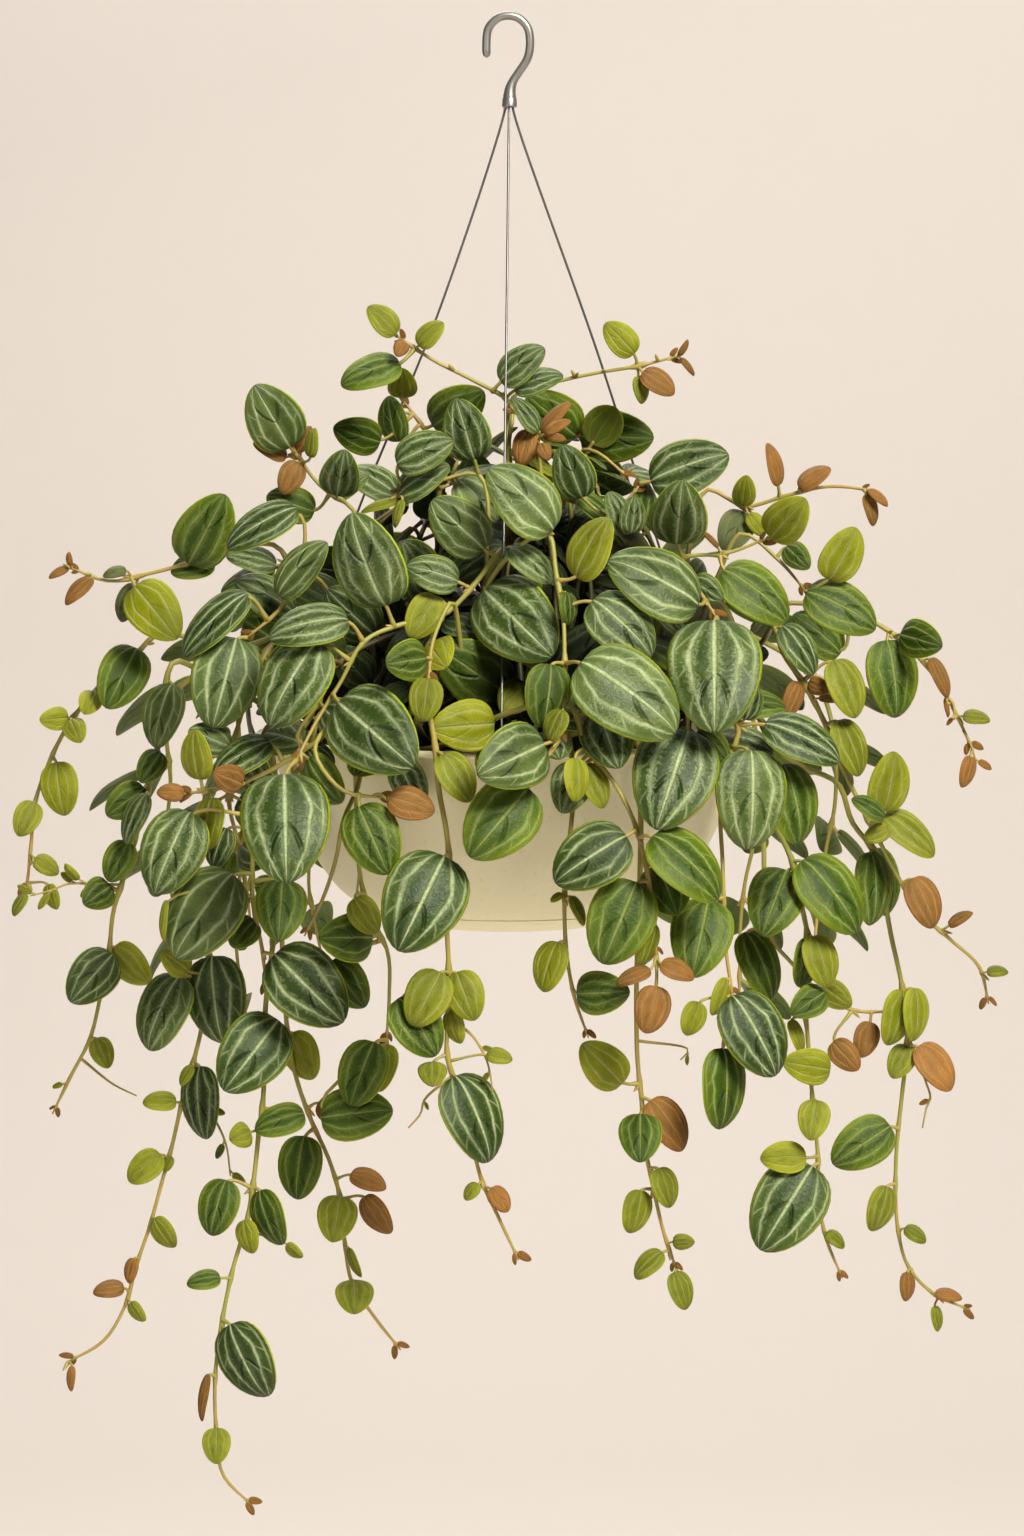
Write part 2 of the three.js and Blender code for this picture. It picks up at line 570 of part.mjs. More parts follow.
// A closed skin through rings of points, with a flat cap or a single tip point at each end
function skin(rings) {
  const points = rings.flat();
  const starts = [];
  let count = 0;
  for (const ring of rings) {
    starts.push(count);
    count += ring.length;
  }
  const faces = [];
  for (let k = 0; k + 1 < rings.length; k += 1) {
    const near = rings[k].length;
    const far = rings[k + 1].length;
    const sides = Math.max(near, far);
    for (let i = 0; i < sides; i += 1) {
      const j = (i + 1) % sides;
      const a = starts[k] + (i % near);
      const b = starts[k] + (j % near);
      const c = starts[k + 1] + (j % far);
      const d = starts[k + 1] + (i % far);
      if (near > 1) faces.push(a, b, far > 1 ? c : d);
      if (far > 1) faces.push(a, c, d);
    }
  }
  const first = starts[0];
  const last = starts[rings.length - 1];
  for (let i = 1; i + 1 < rings[0].length; i += 1) faces.push(first, first + i + 1, first + i);
  for (let i = 1; i + 1 < rings[rings.length - 1].length; i += 1) faces.push(last, last + i, last + i + 1);
  const coordinates = new Float32Array(points.flatMap((p) => [p.x, p.y, p.z]));
  const geometry = new THREE.BufferGeometry();
  geometry.setAttribute('position', new THREE.BufferAttribute(coordinates, 3));
  geometry.setIndex(faces);
  const solid = toSolid(geometry);
  return solid.volume() >= 0 ? solid : toSolid(flipped(geometry));
}

function flipped(geometry) {
  const index = Array.from(geometry.index.array);
  for (let i = 0; i < index.length; i += 3) {
    [index[i + 1], index[i + 2]] = [index[i + 2], index[i + 1]];
  }
  geometry.setIndex(index);
  return geometry;
}

// A rod of round section along a path
function rod(points, radius, sides, steps) {
  const section = new THREE.Shape();
  for (let i = 0; i < sides; i += 1) {
    const turn = (i / sides) * Math.PI * 2;
    const put = i === 0 ? 'moveTo' : 'lineTo';
    section[put](radius * Math.cos(turn), radius * Math.sin(turn));
  }
  section.closePath();
  const path = new THREE.CatmullRomCurve3(points.map((p) => new THREE.Vector3(...p)));
  return toSolid(new THREE.ExtrudeGeometry(section, { steps, extrudePath: path, bevelEnabled: false }));
}

// A tube through given points, with its own radius at each
function tube(points, radii, sides) {
  let sideways = new THREE.Vector3(1, 0, 0);
  return skin(points.map((point, i) => {
    const before = points[Math.max(i - 1, 0)];
    const after = points[Math.min(i + 1, points.length - 1)];
    const along = after.clone().sub(before).normalize();
    sideways = sideways.clone().addScaledVector(along, -sideways.dot(along)).normalize();
    const up = along.clone().cross(sideways);
    return [...Array(sides).keys()].map((k) => {
      const turn = (k / sides) * Math.PI * 2 + Math.PI / 2;
      return point.clone()
        .addScaledVector(sideways, radii[i] * Math.cos(turn))
        .addScaledVector(up, radii[i] * Math.sin(turn));
    });
  }));
}

function cylinder(x, y, bottom, top, radius, sides) {
  const geometry = new THREE.CylinderGeometry(radius, radius, top - bottom, sides);
  geometry.rotateX(Math.PI / 2);
  geometry.translate(x, y, (top + bottom) / 2);
  return toSolid(geometry);
}

// Hook with its neck and ferrule, and blind holes for the wires
function hookSolid() {
  let solid = rod(HOOK_PATH.map(([x, z]) => [x, 0, z]), ROD_RADIUS, 8, 24);
  const end = new THREE.SphereGeometry(ROD_RADIUS, 8, 5);
  end.translate(HOOK_PATH[0][0], 0, HOOK_PATH[0][1]);
  solid = solid.add(toSolid(end));
  solid = solid.add(cylinder(NECK.x, 0, FERRULE.top - 0.5, NECK.top, NECK.radius, 8));
  solid = solid.add(cylinder(FERRULE.x, 0, FERRULE.bottom, FERRULE.top, FERRULE.radius, 10));
  const slot = new THREE.BoxGeometry(SLOT.size, SLOT.depth * 2, SLOT.size);
  slot.translate(SLOT.x, -NECK.radius, SLOT.z);
  solid = solid.subtract(toSolid(slot));
  for (const [[x, y]] of Object.values(WIRES)) {
    const socketTop = WIRE_SOCKET_TOP + WIRE_GAP;
    solid = solid.subtract(cylinder(x, y, FERRULE.bottom - 1, socketTop, WIRE_RADIUS + WIRE_GAP, 6));
  }
  return largestBody(solid);
}

// Wire from its socket in the ferrule down through the flange, with a curled end under it
function wirePoints(route) {
  const [x, y] = route[0];
  const [endX, endY, endZ] = route[route.length - 1];
  const reach = Math.hypot(endX, endY);
  const out = (amount, z) => [endX * (1 + amount / reach), endY * (1 + amount / reach), z];
  return [
    [x, y, WIRE_SOCKET_TOP], ...route,
    out(0, endZ - WIRE_END_DROP), out(WIRE_CURL * 0.3, endZ - WIRE_END_DROP - 1.6),
    out(WIRE_CURL * 0.8, endZ - WIRE_END_DROP - 1.2), out(WIRE_CURL, endZ - WIRE_END_DROP + 0.6),
  ].map((point) => new THREE.Vector3(...point));
}

function wireSolid(route) {
  const points = wirePoints(route);
  return tube(points, points.map(() => WIRE_RADIUS), 6);
}

// Bowl with a flat flange, wire holes and drain holes
function potSolid() {
  const inner = POT_OUTER.slice(0, 5).map(([radius, z]) => [radius - POT_WALL, Math.max(z, POT_FLOOR)]);
  const profile = [
    [0, POT_BOTTOM],
    ...[...POT_OUTER].reverse(),
    [FLANGE.radius - FLANGE.edge, FLANGE.top - FLANGE.thickness],
    [FLANGE.radius, FLANGE.top - FLANGE.thickness / 2],
    [FLANGE.radius - FLANGE.edge, FLANGE.top],
    [inner[0][0] + FLANGE.edge, FLANGE.top],
    ...inner,
    [POT_FLOOR_RADIUS, POT_FLOOR],
    [0, POT_FLOOR],
  ].map(([radius, z]) => new THREE.Vector2(radius, z));
  const lathe = new THREE.LatheGeometry(profile, POT_SIDES);
  lathe.rotateX(Math.PI / 2);
  let solid = toSolid(lathe);
  if (solid.volume() < 0) solid = toSolid(flipped(lathe));
  for (const route of Object.values(WIRES)) {
    const [x, y] = route[route.length - 1];
    solid = solid.subtract(cylinder(x, y, FLANGE.top - 12, FLANGE.top + 3, WIRE_RADIUS + WIRE_HOLE_GAP, 8));
  }
  for (let i = 0; i < DRAIN.count; i += 1) {
    const turn = ((i + 0.5) / DRAIN.count) * Math.PI * 2;
    const [x, y] = [DRAIN.ring * Math.cos(turn), DRAIN.ring * Math.sin(turn)];
    solid = solid.subtract(cylinder(x, y, POT_BOTTOM - 2, POT_FLOOR + 2, DRAIN.radius, 12));
  }
  return largestBody(solid);
}

// Soil filling the bowl, with a plain hole for each stem
function soilSolid(holes) {
  const wall = POT_OUTER.slice(1, 5).map(([radius, z]) => [radius - POT_WALL - SOIL_GAP, z]);
  const profile = [
    [0, POT_FLOOR + SOIL_GAP], [POT_FLOOR_RADIUS - SOIL_GAP, POT_FLOOR + SOIL_GAP],
    ...[...wall].reverse(),
    [0, SOIL_TOP + SOIL_CROWN],
  ].map(([radius, z]) => new THREE.Vector2(radius, z));
  const lathe = new THREE.LatheGeometry(profile, POT_SIDES);
  lathe.rotateX(Math.PI / 2);
  let solid = toSolid(lathe);
  if (solid.volume() < 0) solid = toSolid(flipped(lathe));
  for (const hole of holes) solid = solid.subtract(hole);
  return largestBody(solid);
}

// Radius of the pot's outside at a height, for clearance
function potRadius(z) {
  if (z > FLANGE.top - FLANGE.thickness - 1) return FLANGE.radius;
  for (let i = 0; i + 1 < POT_OUTER.length; i += 1) {
    const [upperRadius, upper] = POT_OUTER[i];
    const [lowerRadius, lower] = POT_OUTER[i + 1];
    const share = (z - lower) / (upper - lower);
    if (share >= 0 && share <= 1) return lowerRadius + share * (upperRadius - lowerRadius);
  }
  return POT_OUTER[0][0];
}

function nearPot(point, room) {
  if (point.z > FLANGE.top + room || point.z < POT_BOTTOM - room) return false;
  return Math.hypot(point.x, point.y) < potRadius(point.z) + room;
}

// Leaves

// Half width of a blade at a share of its length, as a share of the greatest
function halfWidth(u) {
  const outline = (share) => share ** LEAF_OUTLINE.base * (1 - share) ** LEAF_OUTLINE.tip;
  return outline(THREE.MathUtils.clamp(u, 0, 1)) / outline(LEAF_WIDEST);
}

// A leaf in the room: base, tip, facing direction and width give its own axes
function leafFrame(base, tip, facing, width) {
  const axis = tip.clone().sub(base);
  const length = axis.length();
  axis.normalize();
  const normal = facing.clone().addScaledVector(axis, -facing.dot(axis)).normalize();
  const side = axis.clone().cross(normal);
  const crest = Math.max(LEAF_CREST_LEAST, LEAF_CREST * width);
  return { base, tip, axis, normal, side, length, width, crest };
}

function leafPoint(leaf, u, across, lift) {
  const bow = LEAF_BOW * leaf.length * 4 * u * (1 - u);
  return leaf.base.clone()
    .addScaledVector(leaf.axis, u * leaf.length)
    .addScaledVector(leaf.side, across * leaf.width / 2)
    .addScaledVector(leaf.normal, bow + lift);
}

// Leaf read in the front view, turned and tilted so that it shows its seen length and width
function seenLeaf(entry, rootDepth, shift) {
  const [x0, d0, x1, d1, seenWidth] = entry;
  const seenLength = Math.hypot(x1 - x0, d1 - d0);
  const length = Math.min(Math.max(seenLength, seenWidth / LEAF_RATIO), seenLength * FULLEST_TILT);
  const width = seenWidth >= LEAF_RATIO * seenLength
    ? seenWidth
    : Math.min(LEAF_RATIO * length, seenWidth * FULLEST_ROLL);
  const tilt = Math.sqrt(Math.max(length ** 2 - seenLength ** 2, 0));
  const depth = rootDepth - 4 + shift;
  const base = place(x0, d0, depth);
  const tip = place(x1, d1, depth - tilt - TIP_FORWARD * seenLength);
  const towards = new THREE.Vector3(EYE.x, EYE.y, EYE.z).sub(base).normalize();
  const axis = tip.clone().sub(base).normalize();
  const flat = towards.clone().addScaledVector(axis, -towards.dot(axis)).normalize();
  const side = axis.clone().cross(flat);
  const roll = Math.acos(Math.min(seenWidth / width, 1));
  const outward = side.x * Math.sign(base.x) * Math.min(Math.abs(base.x) / 100, 1) + side.z * 0.8;
  const hand = outward >= 0 ? 1 : -1;
  const facing = flat.multiplyScalar(Math.cos(roll)).addScaledVector(side, Math.sin(roll) * hand);
  return leafFrame(base, tip, facing, width);
}

// Three points round a petiole, square to its direction and turned with the blade
function petioleRing(leaf, centre, direction, radius) {
  const upward = leaf.normal.clone().addScaledVector(direction, -leaf.normal.dot(direction)).normalize();
  let sideways = direction.clone().cross(upward);
  if (Math.abs(leaf.normal.dot(direction)) > Math.abs(leaf.side.dot(direction))) {
    sideways = leaf.side.clone().addScaledVector(direction, -leaf.side.dot(direction)).normalize();
    upward.copy(sideways).cross(direction);
  }
  return [
    centre.clone().addScaledVector(sideways, -radius).addScaledVector(upward, -radius * 0.5),
    centre.clone().addScaledVector(upward, radius),
    centre.clone().addScaledVector(sideways, radius).addScaledVector(upward, -radius * 0.5),
  ];
}

// Leaf blade and petiole as one closed solid, its root at the middle of the stem
function leafSolid(leaf, root) {
  const stations = leaf.length < SMALL_LEAF_LENGTH ? SMALL_LEAF_STATIONS : LEAF_STATIONS;
  const stalk = leaf.base.clone().sub(root).normalize();
  const bend = stalk.clone().add(leaf.axis);
  const rings = [
    petioleRing(leaf, root, stalk, PETIOLE_ROOT),
    petioleRing(leaf, leaf.base, bend.length() > 0.3 ? bend.normalize() : leaf.axis, PETIOLE_RADIUS),
  ];
  for (const u of stations) {
    const half = halfWidth(u);
    rings.push([
      leafPoint(leaf, u, -half, 0),
      leafPoint(leaf, u, 0, leaf.crest),
      leafPoint(leaf, u, half, 0),
    ]);
  }
  rings.push([leafPoint(leaf, 1, 0, 0)]);
  return skin(rings);
}

// Clearance between leaves, judged on a net of points over each blade

const NET_U = [0.02, 0.2, 0.4, 0.6, 0.8, 0.98];
const NET_V = [-0.97, -0.5, 0, 0.5, 0.97];

function leafNet(leaf) {
  const points = [];
  for (const u of NET_U) {
    for (const v of NET_V) {
      points.push(leafPoint(leaf, u, v * halfWidth(u), 0.5 * leaf.crest * (1 - Math.abs(v))));
    }
  }
  const edges = [];
  for (let i = 0; i < NET_U.length; i += 1) {
    for (let j = 0; j < NET_V.length; j += 1) {
      if (j + 1 < NET_V.length) edges.push([i * NET_V.length + j, i * NET_V.length + j + 1]);
      if (i + 1 < NET_U.length) edges.push([i * NET_V.length + j, (i + 1) * NET_V.length + j]);
    }
  }
  return { points, edges };
}

// Place of a point over a blade: along, across and height above its surface
function over(leaf, point) {
  const from = point.clone().sub(leaf.base);
  const u = from.dot(leaf.axis) / leaf.length;
  const v = from.dot(leaf.side) / (leaf.width / 2);
  const half = Math.max(halfWidth(u), 0.2);
  const bow = LEAF_BOW * leaf.length * 4 * u * (1 - u);
  const surface = bow + 0.5 * leaf.crest * Math.max(1 - Math.abs(v) / half, 0);
  return { u, v, n: from.dot(leaf.normal) - surface };
}

function onBlade(leaf, u, v, margin) {
  const along = margin / leaf.length;
  if (u < -along || u > 1 + along) return false;
  const half = halfWidth(Math.min(Math.max(u, 0.02), 0.98));
  return Math.abs(v) < half + margin / (leaf.width / 2);
}

function meets(leaf, net, room) {
  const spots = net.points.map((point) => over(leaf, point));
  if (spots.some(({ u, v, n }) => Math.abs(n) < room && onBlade(leaf, u, v, 1.2))) return true;
  return net.edges.some(([a, b]) => {
    const [p, q] = [spots[a], spots[b]];
    if (p.n * q.n >= 0) return false;
    const s = p.n / (p.n - q.n);
    return onBlade(leaf, p.u + s * (q.u - p.u), p.v + s * (q.v - p.v), 0.8);
  });
}

function leafIsClear(leaf, vineName, placedLeaves, stems) {
  const net = leafNet(leaf);
  if (net.points.some((point) => nearPot(point, POT_ROOM))) return false;
  const middle = leafPoint(leaf, 0.5, 0, 0);
  for (const other of placedLeaves) {
    if (other.middle.distanceTo(middle) > (other.leaf.length + leaf.length) * 0.62 + 3) continue;
    if (meets(other.leaf, net, LEAF_ROOM) || meets(leaf, other.net, LEAF_ROOM)) return false;
  }
  for (const stem of stems) {
    if (stem.name === vineName) continue;
    const near = stem.points.some((point) => point.distanceTo(middle) < leaf.length * 0.75 + STEM_STEP);
    if (near && meets(leaf, stem.net, stem.radius + STEM_ROOM)) return false;
  }
  return true;
}

// Stems

function polar(radius, direction, z) {
  return new THREE.Vector3(radius * Math.cos(direction), radius * Math.sin(direction), z);
}

// Stem points in the room, from its hole in the soil over the rim to the first seen point and on
function stemRoute(vine, rootTurn, rootRadius, shift) {
  const spots = vine.path.map(([across, down], i) => {
    const share = i / (vine.path.length - 1);
    return place(across, down, vine.depth[0] + shift + share * (vine.depth[1] - vine.depth[0]));
  });
  const first = spots[0];
  const angle = Math.atan2(first.y, first.x);
  const reach = Math.hypot(first.x, first.y);
  const turned = angle + rootTurn;
  const start = [
    polar(rootRadius, turned, SOIL_TOP - SOIL_HOLE.depth * 0.6),
    polar(rootRadius, turned, SOIL_TOP + 6),
  ];
  if (first.z > CROWN_LEVEL) {
    const lift = (share) => SOIL_TOP + share * (first.z - SOIL_TOP);
    const across = (share) => rootRadius + (reach - rootRadius) * share;
    start.push(polar(across(0.35), angle + rootTurn * 0.5, lift(0.45)));
    start.push(polar(across(0.75), angle + rootTurn * 0.2, lift(0.86)));
  } else {
    for (const [radius, z] of RIM_CROSSING) {
      if (z > first.z + 8) start.push(polar(radius, angle + rootTurn * (radius < 100 ? 0.4 : 0), z));
    }
  }
  return [...start, ...spots];
}

function sampled(points, step) {
  const curve = new THREE.CatmullRomCurve3(points, false, 'centripetal');
  const count = Math.max(4, Math.round(curve.getLength() / step));
  return curve.getSpacedPoints(count);
}

function stemRecord(name, route, radius = STEM_RADIUS, step = STEM_STEP) {
  const points = sampled(route, step);
  const edges = [...points.keys()].slice(1).map((i) => [i - 1, i]);
  return { name, points, radius, net: { points, edges } };
}

function gapBetween(first, second) {
  let least = Infinity;
  const segment = new THREE.Line3();
  const near = new THREE.Vector3();
  for (const [stem, other] of [[first, second], [second, first]]) {
    for (const point of stem.points) {
      for (let i = 0; i + 1 < other.points.length; i += 1) {
        segment.set(other.points[i], other.points[i + 1]);
        segment.closestPointToPoint(point, true, near);
        least = Math.min(least, near.distanceTo(point));
      }
    }
  }
  return least;
}

function stemIsClear(stem, stems) {
  const dense = { ...stem, points: sampled(stem.points, STEM_CHECK_STEP) };
  const besideRim = dense.points.filter((point) => (
    point.z > RIM_ZONE.bottom && point.z < RIM_ZONE.top && Math.hypot(point.x, point.y) > RIM_ZONE.radius));
  if (besideRim.some((point) => nearPot(point, STEM_RADIUS + 0.5))) return false;
  return stems.every((other) => {
    const apart = other.radius === WIRE_RADIUS || other.points[0].distanceTo(stem.points[0]) > ROOT_SPACING;
    return apart && gapBetween(dense, other) > STEM_RADIUS * 2.5 + 0.6;
  });
}

function stemSolid(points) {
  const radii = points.map((point, i) => {
    const share = i / (points.length - 1);
    return STEM_SOLID_FACTOR * (STEM_RADIUS + (STEM_TIP_RADIUS - STEM_RADIUS) * share);
  });
  return tube(points, radii, 3);
}

function nearestOnStem(points, across, down) {
  let best = null;
  let least = Infinity;
  for (let i = 2; i + 1 < points.length; i += 1) {
    for (let step = 0; step <= 6; step += 1) {
      const point = points[i].clone().lerp(points[i + 1], step / 6);
      const [x, d] = seen(point);
      const gap = Math.hypot(x - across, d - down);
      if (gap < least) {
        least = gap;
        best = point;
      }
    }
  }
  return best;
}

// Stems first, each shifted until it is clear of the wires and of the stems before it

const ROOT_TURNS = [0, 0.12, -0.12, 0.26, -0.26, 0.42, -0.42, 0.6, -0.6, 0.8, -0.8, 1, -1, 1.3, -1.3];
const ROOT_RADII = [78, 62, 92, 46, 32, 101, 70, 54, 85, 38];
const STEM_SHIFTS = [0, -4, 4, -8, 8];

function settleStem(name, routeFor, stems) {
  for (const shift of STEM_SHIFTS) {
    for (const rootRadius of ROOT_RADII) {
      for (const rootTurn of ROOT_TURNS) {
        const stem = stemRecord(name, routeFor(rootTurn, rootRadius, shift));
        if (stemIsClear(stem, stems)) return stem;
      }
    }
  }
  throw new Error(`no clear route for ${name}`);
}

function rearRoute(vine, rootTurn, rootRadius, shift) {
  const angle = THREE.MathUtils.degToRad(vine.angle);
  const at = (radius, z, turn = 0) => polar(radius, angle + turn, z);
  const start = [
    at(rootRadius, SOIL_TOP - SOIL_HOLE.depth * 0.6, rootTurn),
    at(rootRadius, SOIL_TOP + 6, rootTurn),
    at((rootRadius + vine.reach) * 0.4, vine.arch - 24, rootTurn * 0.6),
    at(vine.reach * 0.62, vine.arch, rootTurn * 0.3),
    at(vine.reach * 0.84 + shift, vine.arch - 14),
  ];
  if (vine.end > HANGING_LEVEL) return [...start, at(vine.reach + shift, vine.end)];
  const drop = vine.end - HANGING_LEVEL;
  return [
    ...start,
    at(vine.reach + shift, -338, 0.03),
    at(vine.reach + 3 + shift, HANGING_LEVEL + drop * 0.3, -0.02),
    at(vine.reach + 1 + shift, HANGING_LEVEL + drop * 0.66, 0.05),
    at(vine.reach - 6 + shift, vine.end, 0.02),
  ];
}

// Opposite leaf pairs along a rear vine, from above the rim to the tip, each pair turned a quarter
function rearLeaves(stem, draw) {
  const leaves = [];
  const lengths = stem.points.slice(1).map((point, i) => point.distanceTo(stem.points[i]));
  const total = lengths.reduce((sum, length) => sum + length, 0);
  const pairs = Math.floor((total - REAR_FIRST_PAIR) / REAR_PAIR_STEP);
  for (let k = 0; k <= pairs; k += 1) {
    const share = (REAR_FIRST_PAIR + k * REAR_PAIR_STEP) / total;
    const spot = share * (stem.points.length - 1);
    const i = Math.min(Math.floor(spot), stem.points.length - 2);
    const root = stem.points[i].clone().lerp(stem.points[i + 1], spot - i);
    const along = stem.points[i + 1].clone().sub(stem.points[i]).normalize();
    const out = new THREE.Vector3(root.x, root.y, 0).normalize();
    const sideways = along.clone().cross(out).normalize();
    const usual = THREE.MathUtils.lerp(REAR_LEAF_LENGTH.first, REAR_LEAF_LENGTH.last, share);
    const length = usual * (0.85 + 0.35 * draw());
    const twist = (k % 2) * 0.9 + 0.5 * draw();
    for (const hand of [1, -1]) {
      const spread = sideways.clone().multiplyScalar(hand * Math.cos(twist * 0.6));
      spread.addScaledVector(out, 0.35 + 0.5 * Math.abs(Math.sin(twist)) * (hand > 0 ? 1 : 0.4));
      spread.addScaledVector(along, 0.35 + 0.4 * draw());
      spread.z -= 0.25;
      spread.normalize();
      const facing = out.clone().add(new THREE.Vector3(0, 0, 0.45 + 0.3 * draw()));
      leaves.push({ root, spread, facing, out, length, width: length * (0.66 + 0.1 * draw()) });
    }
  }
  return leaves;
}

function rearLeaf({ root, spread, facing, out, length, width }, shift) {
  const base = root.clone().addScaledVector(spread, REAR_PETIOLE).addScaledVector(out, Math.abs(shift) * 0.5);
  const tilted = spread.clone().addScaledVector(out, shift * 0.04).normalize();
  return leafFrame(base, base.clone().addScaledVector(tilted, length), facing, width);
}

function settlePlant() {
  const stems = Object.entries(WIRES)
    .map(([name, route]) => stemRecord(name, wirePoints(route), WIRE_RADIUS, WIRE_STEP));
  const vines = [];
  for (const [table, route] of [[VINES, stemRoute], [REAR_VINES, rearRoute]]) {
    for (const [name, vine] of Object.entries(table)) {
      const stem = settleStem(name, (turn, radius, shift) => route(vine, turn, radius, shift), stems);
      stems.push(stem);
      vines.push(stem);
    }
  }
  return { vines, placed: settleLeaves(vines, stems) };
}

// Leaves next, the largest first, each moved in depth until it is clear of what is already there
function settleLeaves(vines, stems) {
  const draw = randomNumbers(SEED);
  const wanted = [];
  for (const stem of vines) {
    if (stem.name in VINES) {
      for (const entry of VINES[stem.name].leaves) {
        const root = nearestOnStem(stem.points, entry[0], entry[1]);
        const own = entry[6] ?? 0;
        const size = Math.hypot(entry[2] - entry[0], entry[3] - entry[1]) * entry[4];
        const make = (shift) => seenLeaf(entry, root.y, own + shift);
        wanted.push({ vine: stem.name, root, size, tone: entry[5], make });
      }
    } else {
      for (const plan of rearLeaves(stem, draw)) {
        const make = (shift) => rearLeaf(plan, shift);
        const size = plan.length * plan.width * 0.8;
        wanted.push({ vine: stem.name, root: plan.root, size, tone: 'M', make });
      }
    }
  }
  wanted.sort((a, b) => b.size - a.size);
  const placed = [];
  for (const { vine, root, size, tone, make } of wanted) {
    for (const shift of DEPTH_SHIFTS) {
      const leaf = make(shift);
      if (leafIsClear(leaf, vine, placed, stems)) {
        const middle = leafPoint(leaf, 0.5, 0, 0);
        placed.push({ vine, root, size, tone, leaf, net: leafNet(leaf), middle });
        break;
      }
    }
  }
  return placed;
}

// Materials

function material(color, roughness, metalness) {
  return new THREE.MeshStandardMaterial({ color, roughness, metalness });
}

const VINE_COLOURS = { D: 0x4c6b2c, M: 0x6f8f3e, L: 0x9fb04a, C: 0xb08a4a, G: 0x8d8f6c };

function mesh(name, solid, look) {
  const piece = new THREE.Mesh(toGeometry(solid), look);
  piece.name = name;
  return piece;
}

// Assembly

// Square hole in the soil along the first length of a stem
function soilHole(stem) {
  const [bottom, top] = stem.points;
  const along = top.clone().sub(bottom).normalize();
  return skin([-SOIL_HOLE.below, SOIL_HOLE.length].map((reach) => {
    const centre = bottom.clone().addScaledVector(along, reach);
    return [0, 1, 2, 3].map((corner) => {
      const turn = (corner / 4) * Math.PI * 2;
      return centre.clone().add(polar(SOIL_HOLE.radius, turn, 0));
    });
  }));
}

function barrier(solid, vine) {
  return { solid, vine, box: solid.boundingBox() };
}

function collide(first, second) {
  const apart = [0, 1, 2].some((i) => (
    first.box.min[i] > second.box.max[i] || second.box.min[i] > first.box.max[i]));
  return !apart && overlap(first.solid, second.solid) > 0;
}

const object = new THREE.Group();
object.name = 'potted_watermelon_dischidia';

const hook = hookSolid();
const wires = Object.entries(WIRES).map(([name, route]) => ({ name, solid: wireSolid(route) }));
const pot = potSolid();
const { vines, placed } = settlePlant();
const soil = soilSolid(vines.map(soilHole));
object.add(mesh('hook', hook, material(0xb9b4ab, 0.35, 1)));
for (const { name, solid } of wires) object.add(mesh(name, solid, material(0xc4c4c0, 0.3, 1)));
object.add(mesh('pot', pot, material(0xe9e2d2, 0.6, 0)));
object.add(mesh('soil', soil, material(0x3b2a1f, 0.95, 0)));

// Each vine's leaves are fused to its stem; a leaf that would enter another piece is left out
const plants = vines.map((stem) => ({ name: stem.name, solid: stemSolid(stem.points) }));
const barriers = [hook, ...wires.map(({ solid }) => solid), pot, soil].map((solid) => barrier(solid, ''));
for (const { name, solid } of plants) barriers.push(barrier(solid, name));
for (const { vine, root, size, leaf } of placed) {
  if (size < LEAF_LEAST_AREA) continue;
  const found = barrier(leafSolid(leaf, root), vine);
  if (barriers.some((other) => other.vine !== vine && collide(found, other))) continue;
  const owner = plants.find((item) => item.name === vine);
  owner.solid = owner.solid.add(found.solid);
  barriers.push(found);
}

for (const { name, solid } of plants) {
  const own = placed.filter((item) => item.vine === name);
  const tone = own.length > 0 ? own[0].tone : 'L';
  object.add(mesh(`vine_${name}`, largestBody(solid), material(VINE_COLOURS[tone], 0.5, 0)));
}

export default object;
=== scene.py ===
# Hanging bowl pot on a three-wire hanger, with a trailing dischidia: the fine surface and the studio.
# All is in millimetres, apart from the studio and the materials, which are in metres as in Blender.
# The origin is the inner top of the hook, Z points up and the front looks towards -Y.

import bpy
import math
from functools import partial
import numpy as np
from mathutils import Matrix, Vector


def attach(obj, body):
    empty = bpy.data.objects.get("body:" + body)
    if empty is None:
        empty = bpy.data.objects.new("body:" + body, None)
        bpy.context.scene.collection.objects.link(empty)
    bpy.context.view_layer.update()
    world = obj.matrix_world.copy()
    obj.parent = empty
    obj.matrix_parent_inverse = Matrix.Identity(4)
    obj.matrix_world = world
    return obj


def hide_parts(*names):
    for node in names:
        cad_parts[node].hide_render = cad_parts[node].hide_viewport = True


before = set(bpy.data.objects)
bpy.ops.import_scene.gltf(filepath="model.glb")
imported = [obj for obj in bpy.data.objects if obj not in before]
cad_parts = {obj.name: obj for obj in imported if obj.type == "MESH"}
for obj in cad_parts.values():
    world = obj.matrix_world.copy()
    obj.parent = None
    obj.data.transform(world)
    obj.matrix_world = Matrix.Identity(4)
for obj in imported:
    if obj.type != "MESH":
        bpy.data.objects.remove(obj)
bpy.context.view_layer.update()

MM = 0.001
TINY = 1e-9

# Hook
ROD_RADIUS = 2.1
HOOK_PATH = [
    [-10.7, -17.6], [-10.9, -12.6], [-9.9, -4.2], [-5.6, 0.7], [-0.3, 2.1], [5.0, 0.8],
    [9.4, -3.9], [10.6, -11.0], [9.4, -18.4], [4.6, -26.0], [2.0, -30.2], [0.8, -34.0], [0.5, -38.7],
]
FERRULE = {"x": 0.5, "radius": 3.7, "top": -38, "bottom": -42.5, "edge": 0.4}

# Wires
WIRE_RADIUS = 0.6
WIRE_SOCKET_TOP = -39.5
WIRE_STEP = 12
WIRE_END_DROP = 5.5
WIRE_CURL = 2.6
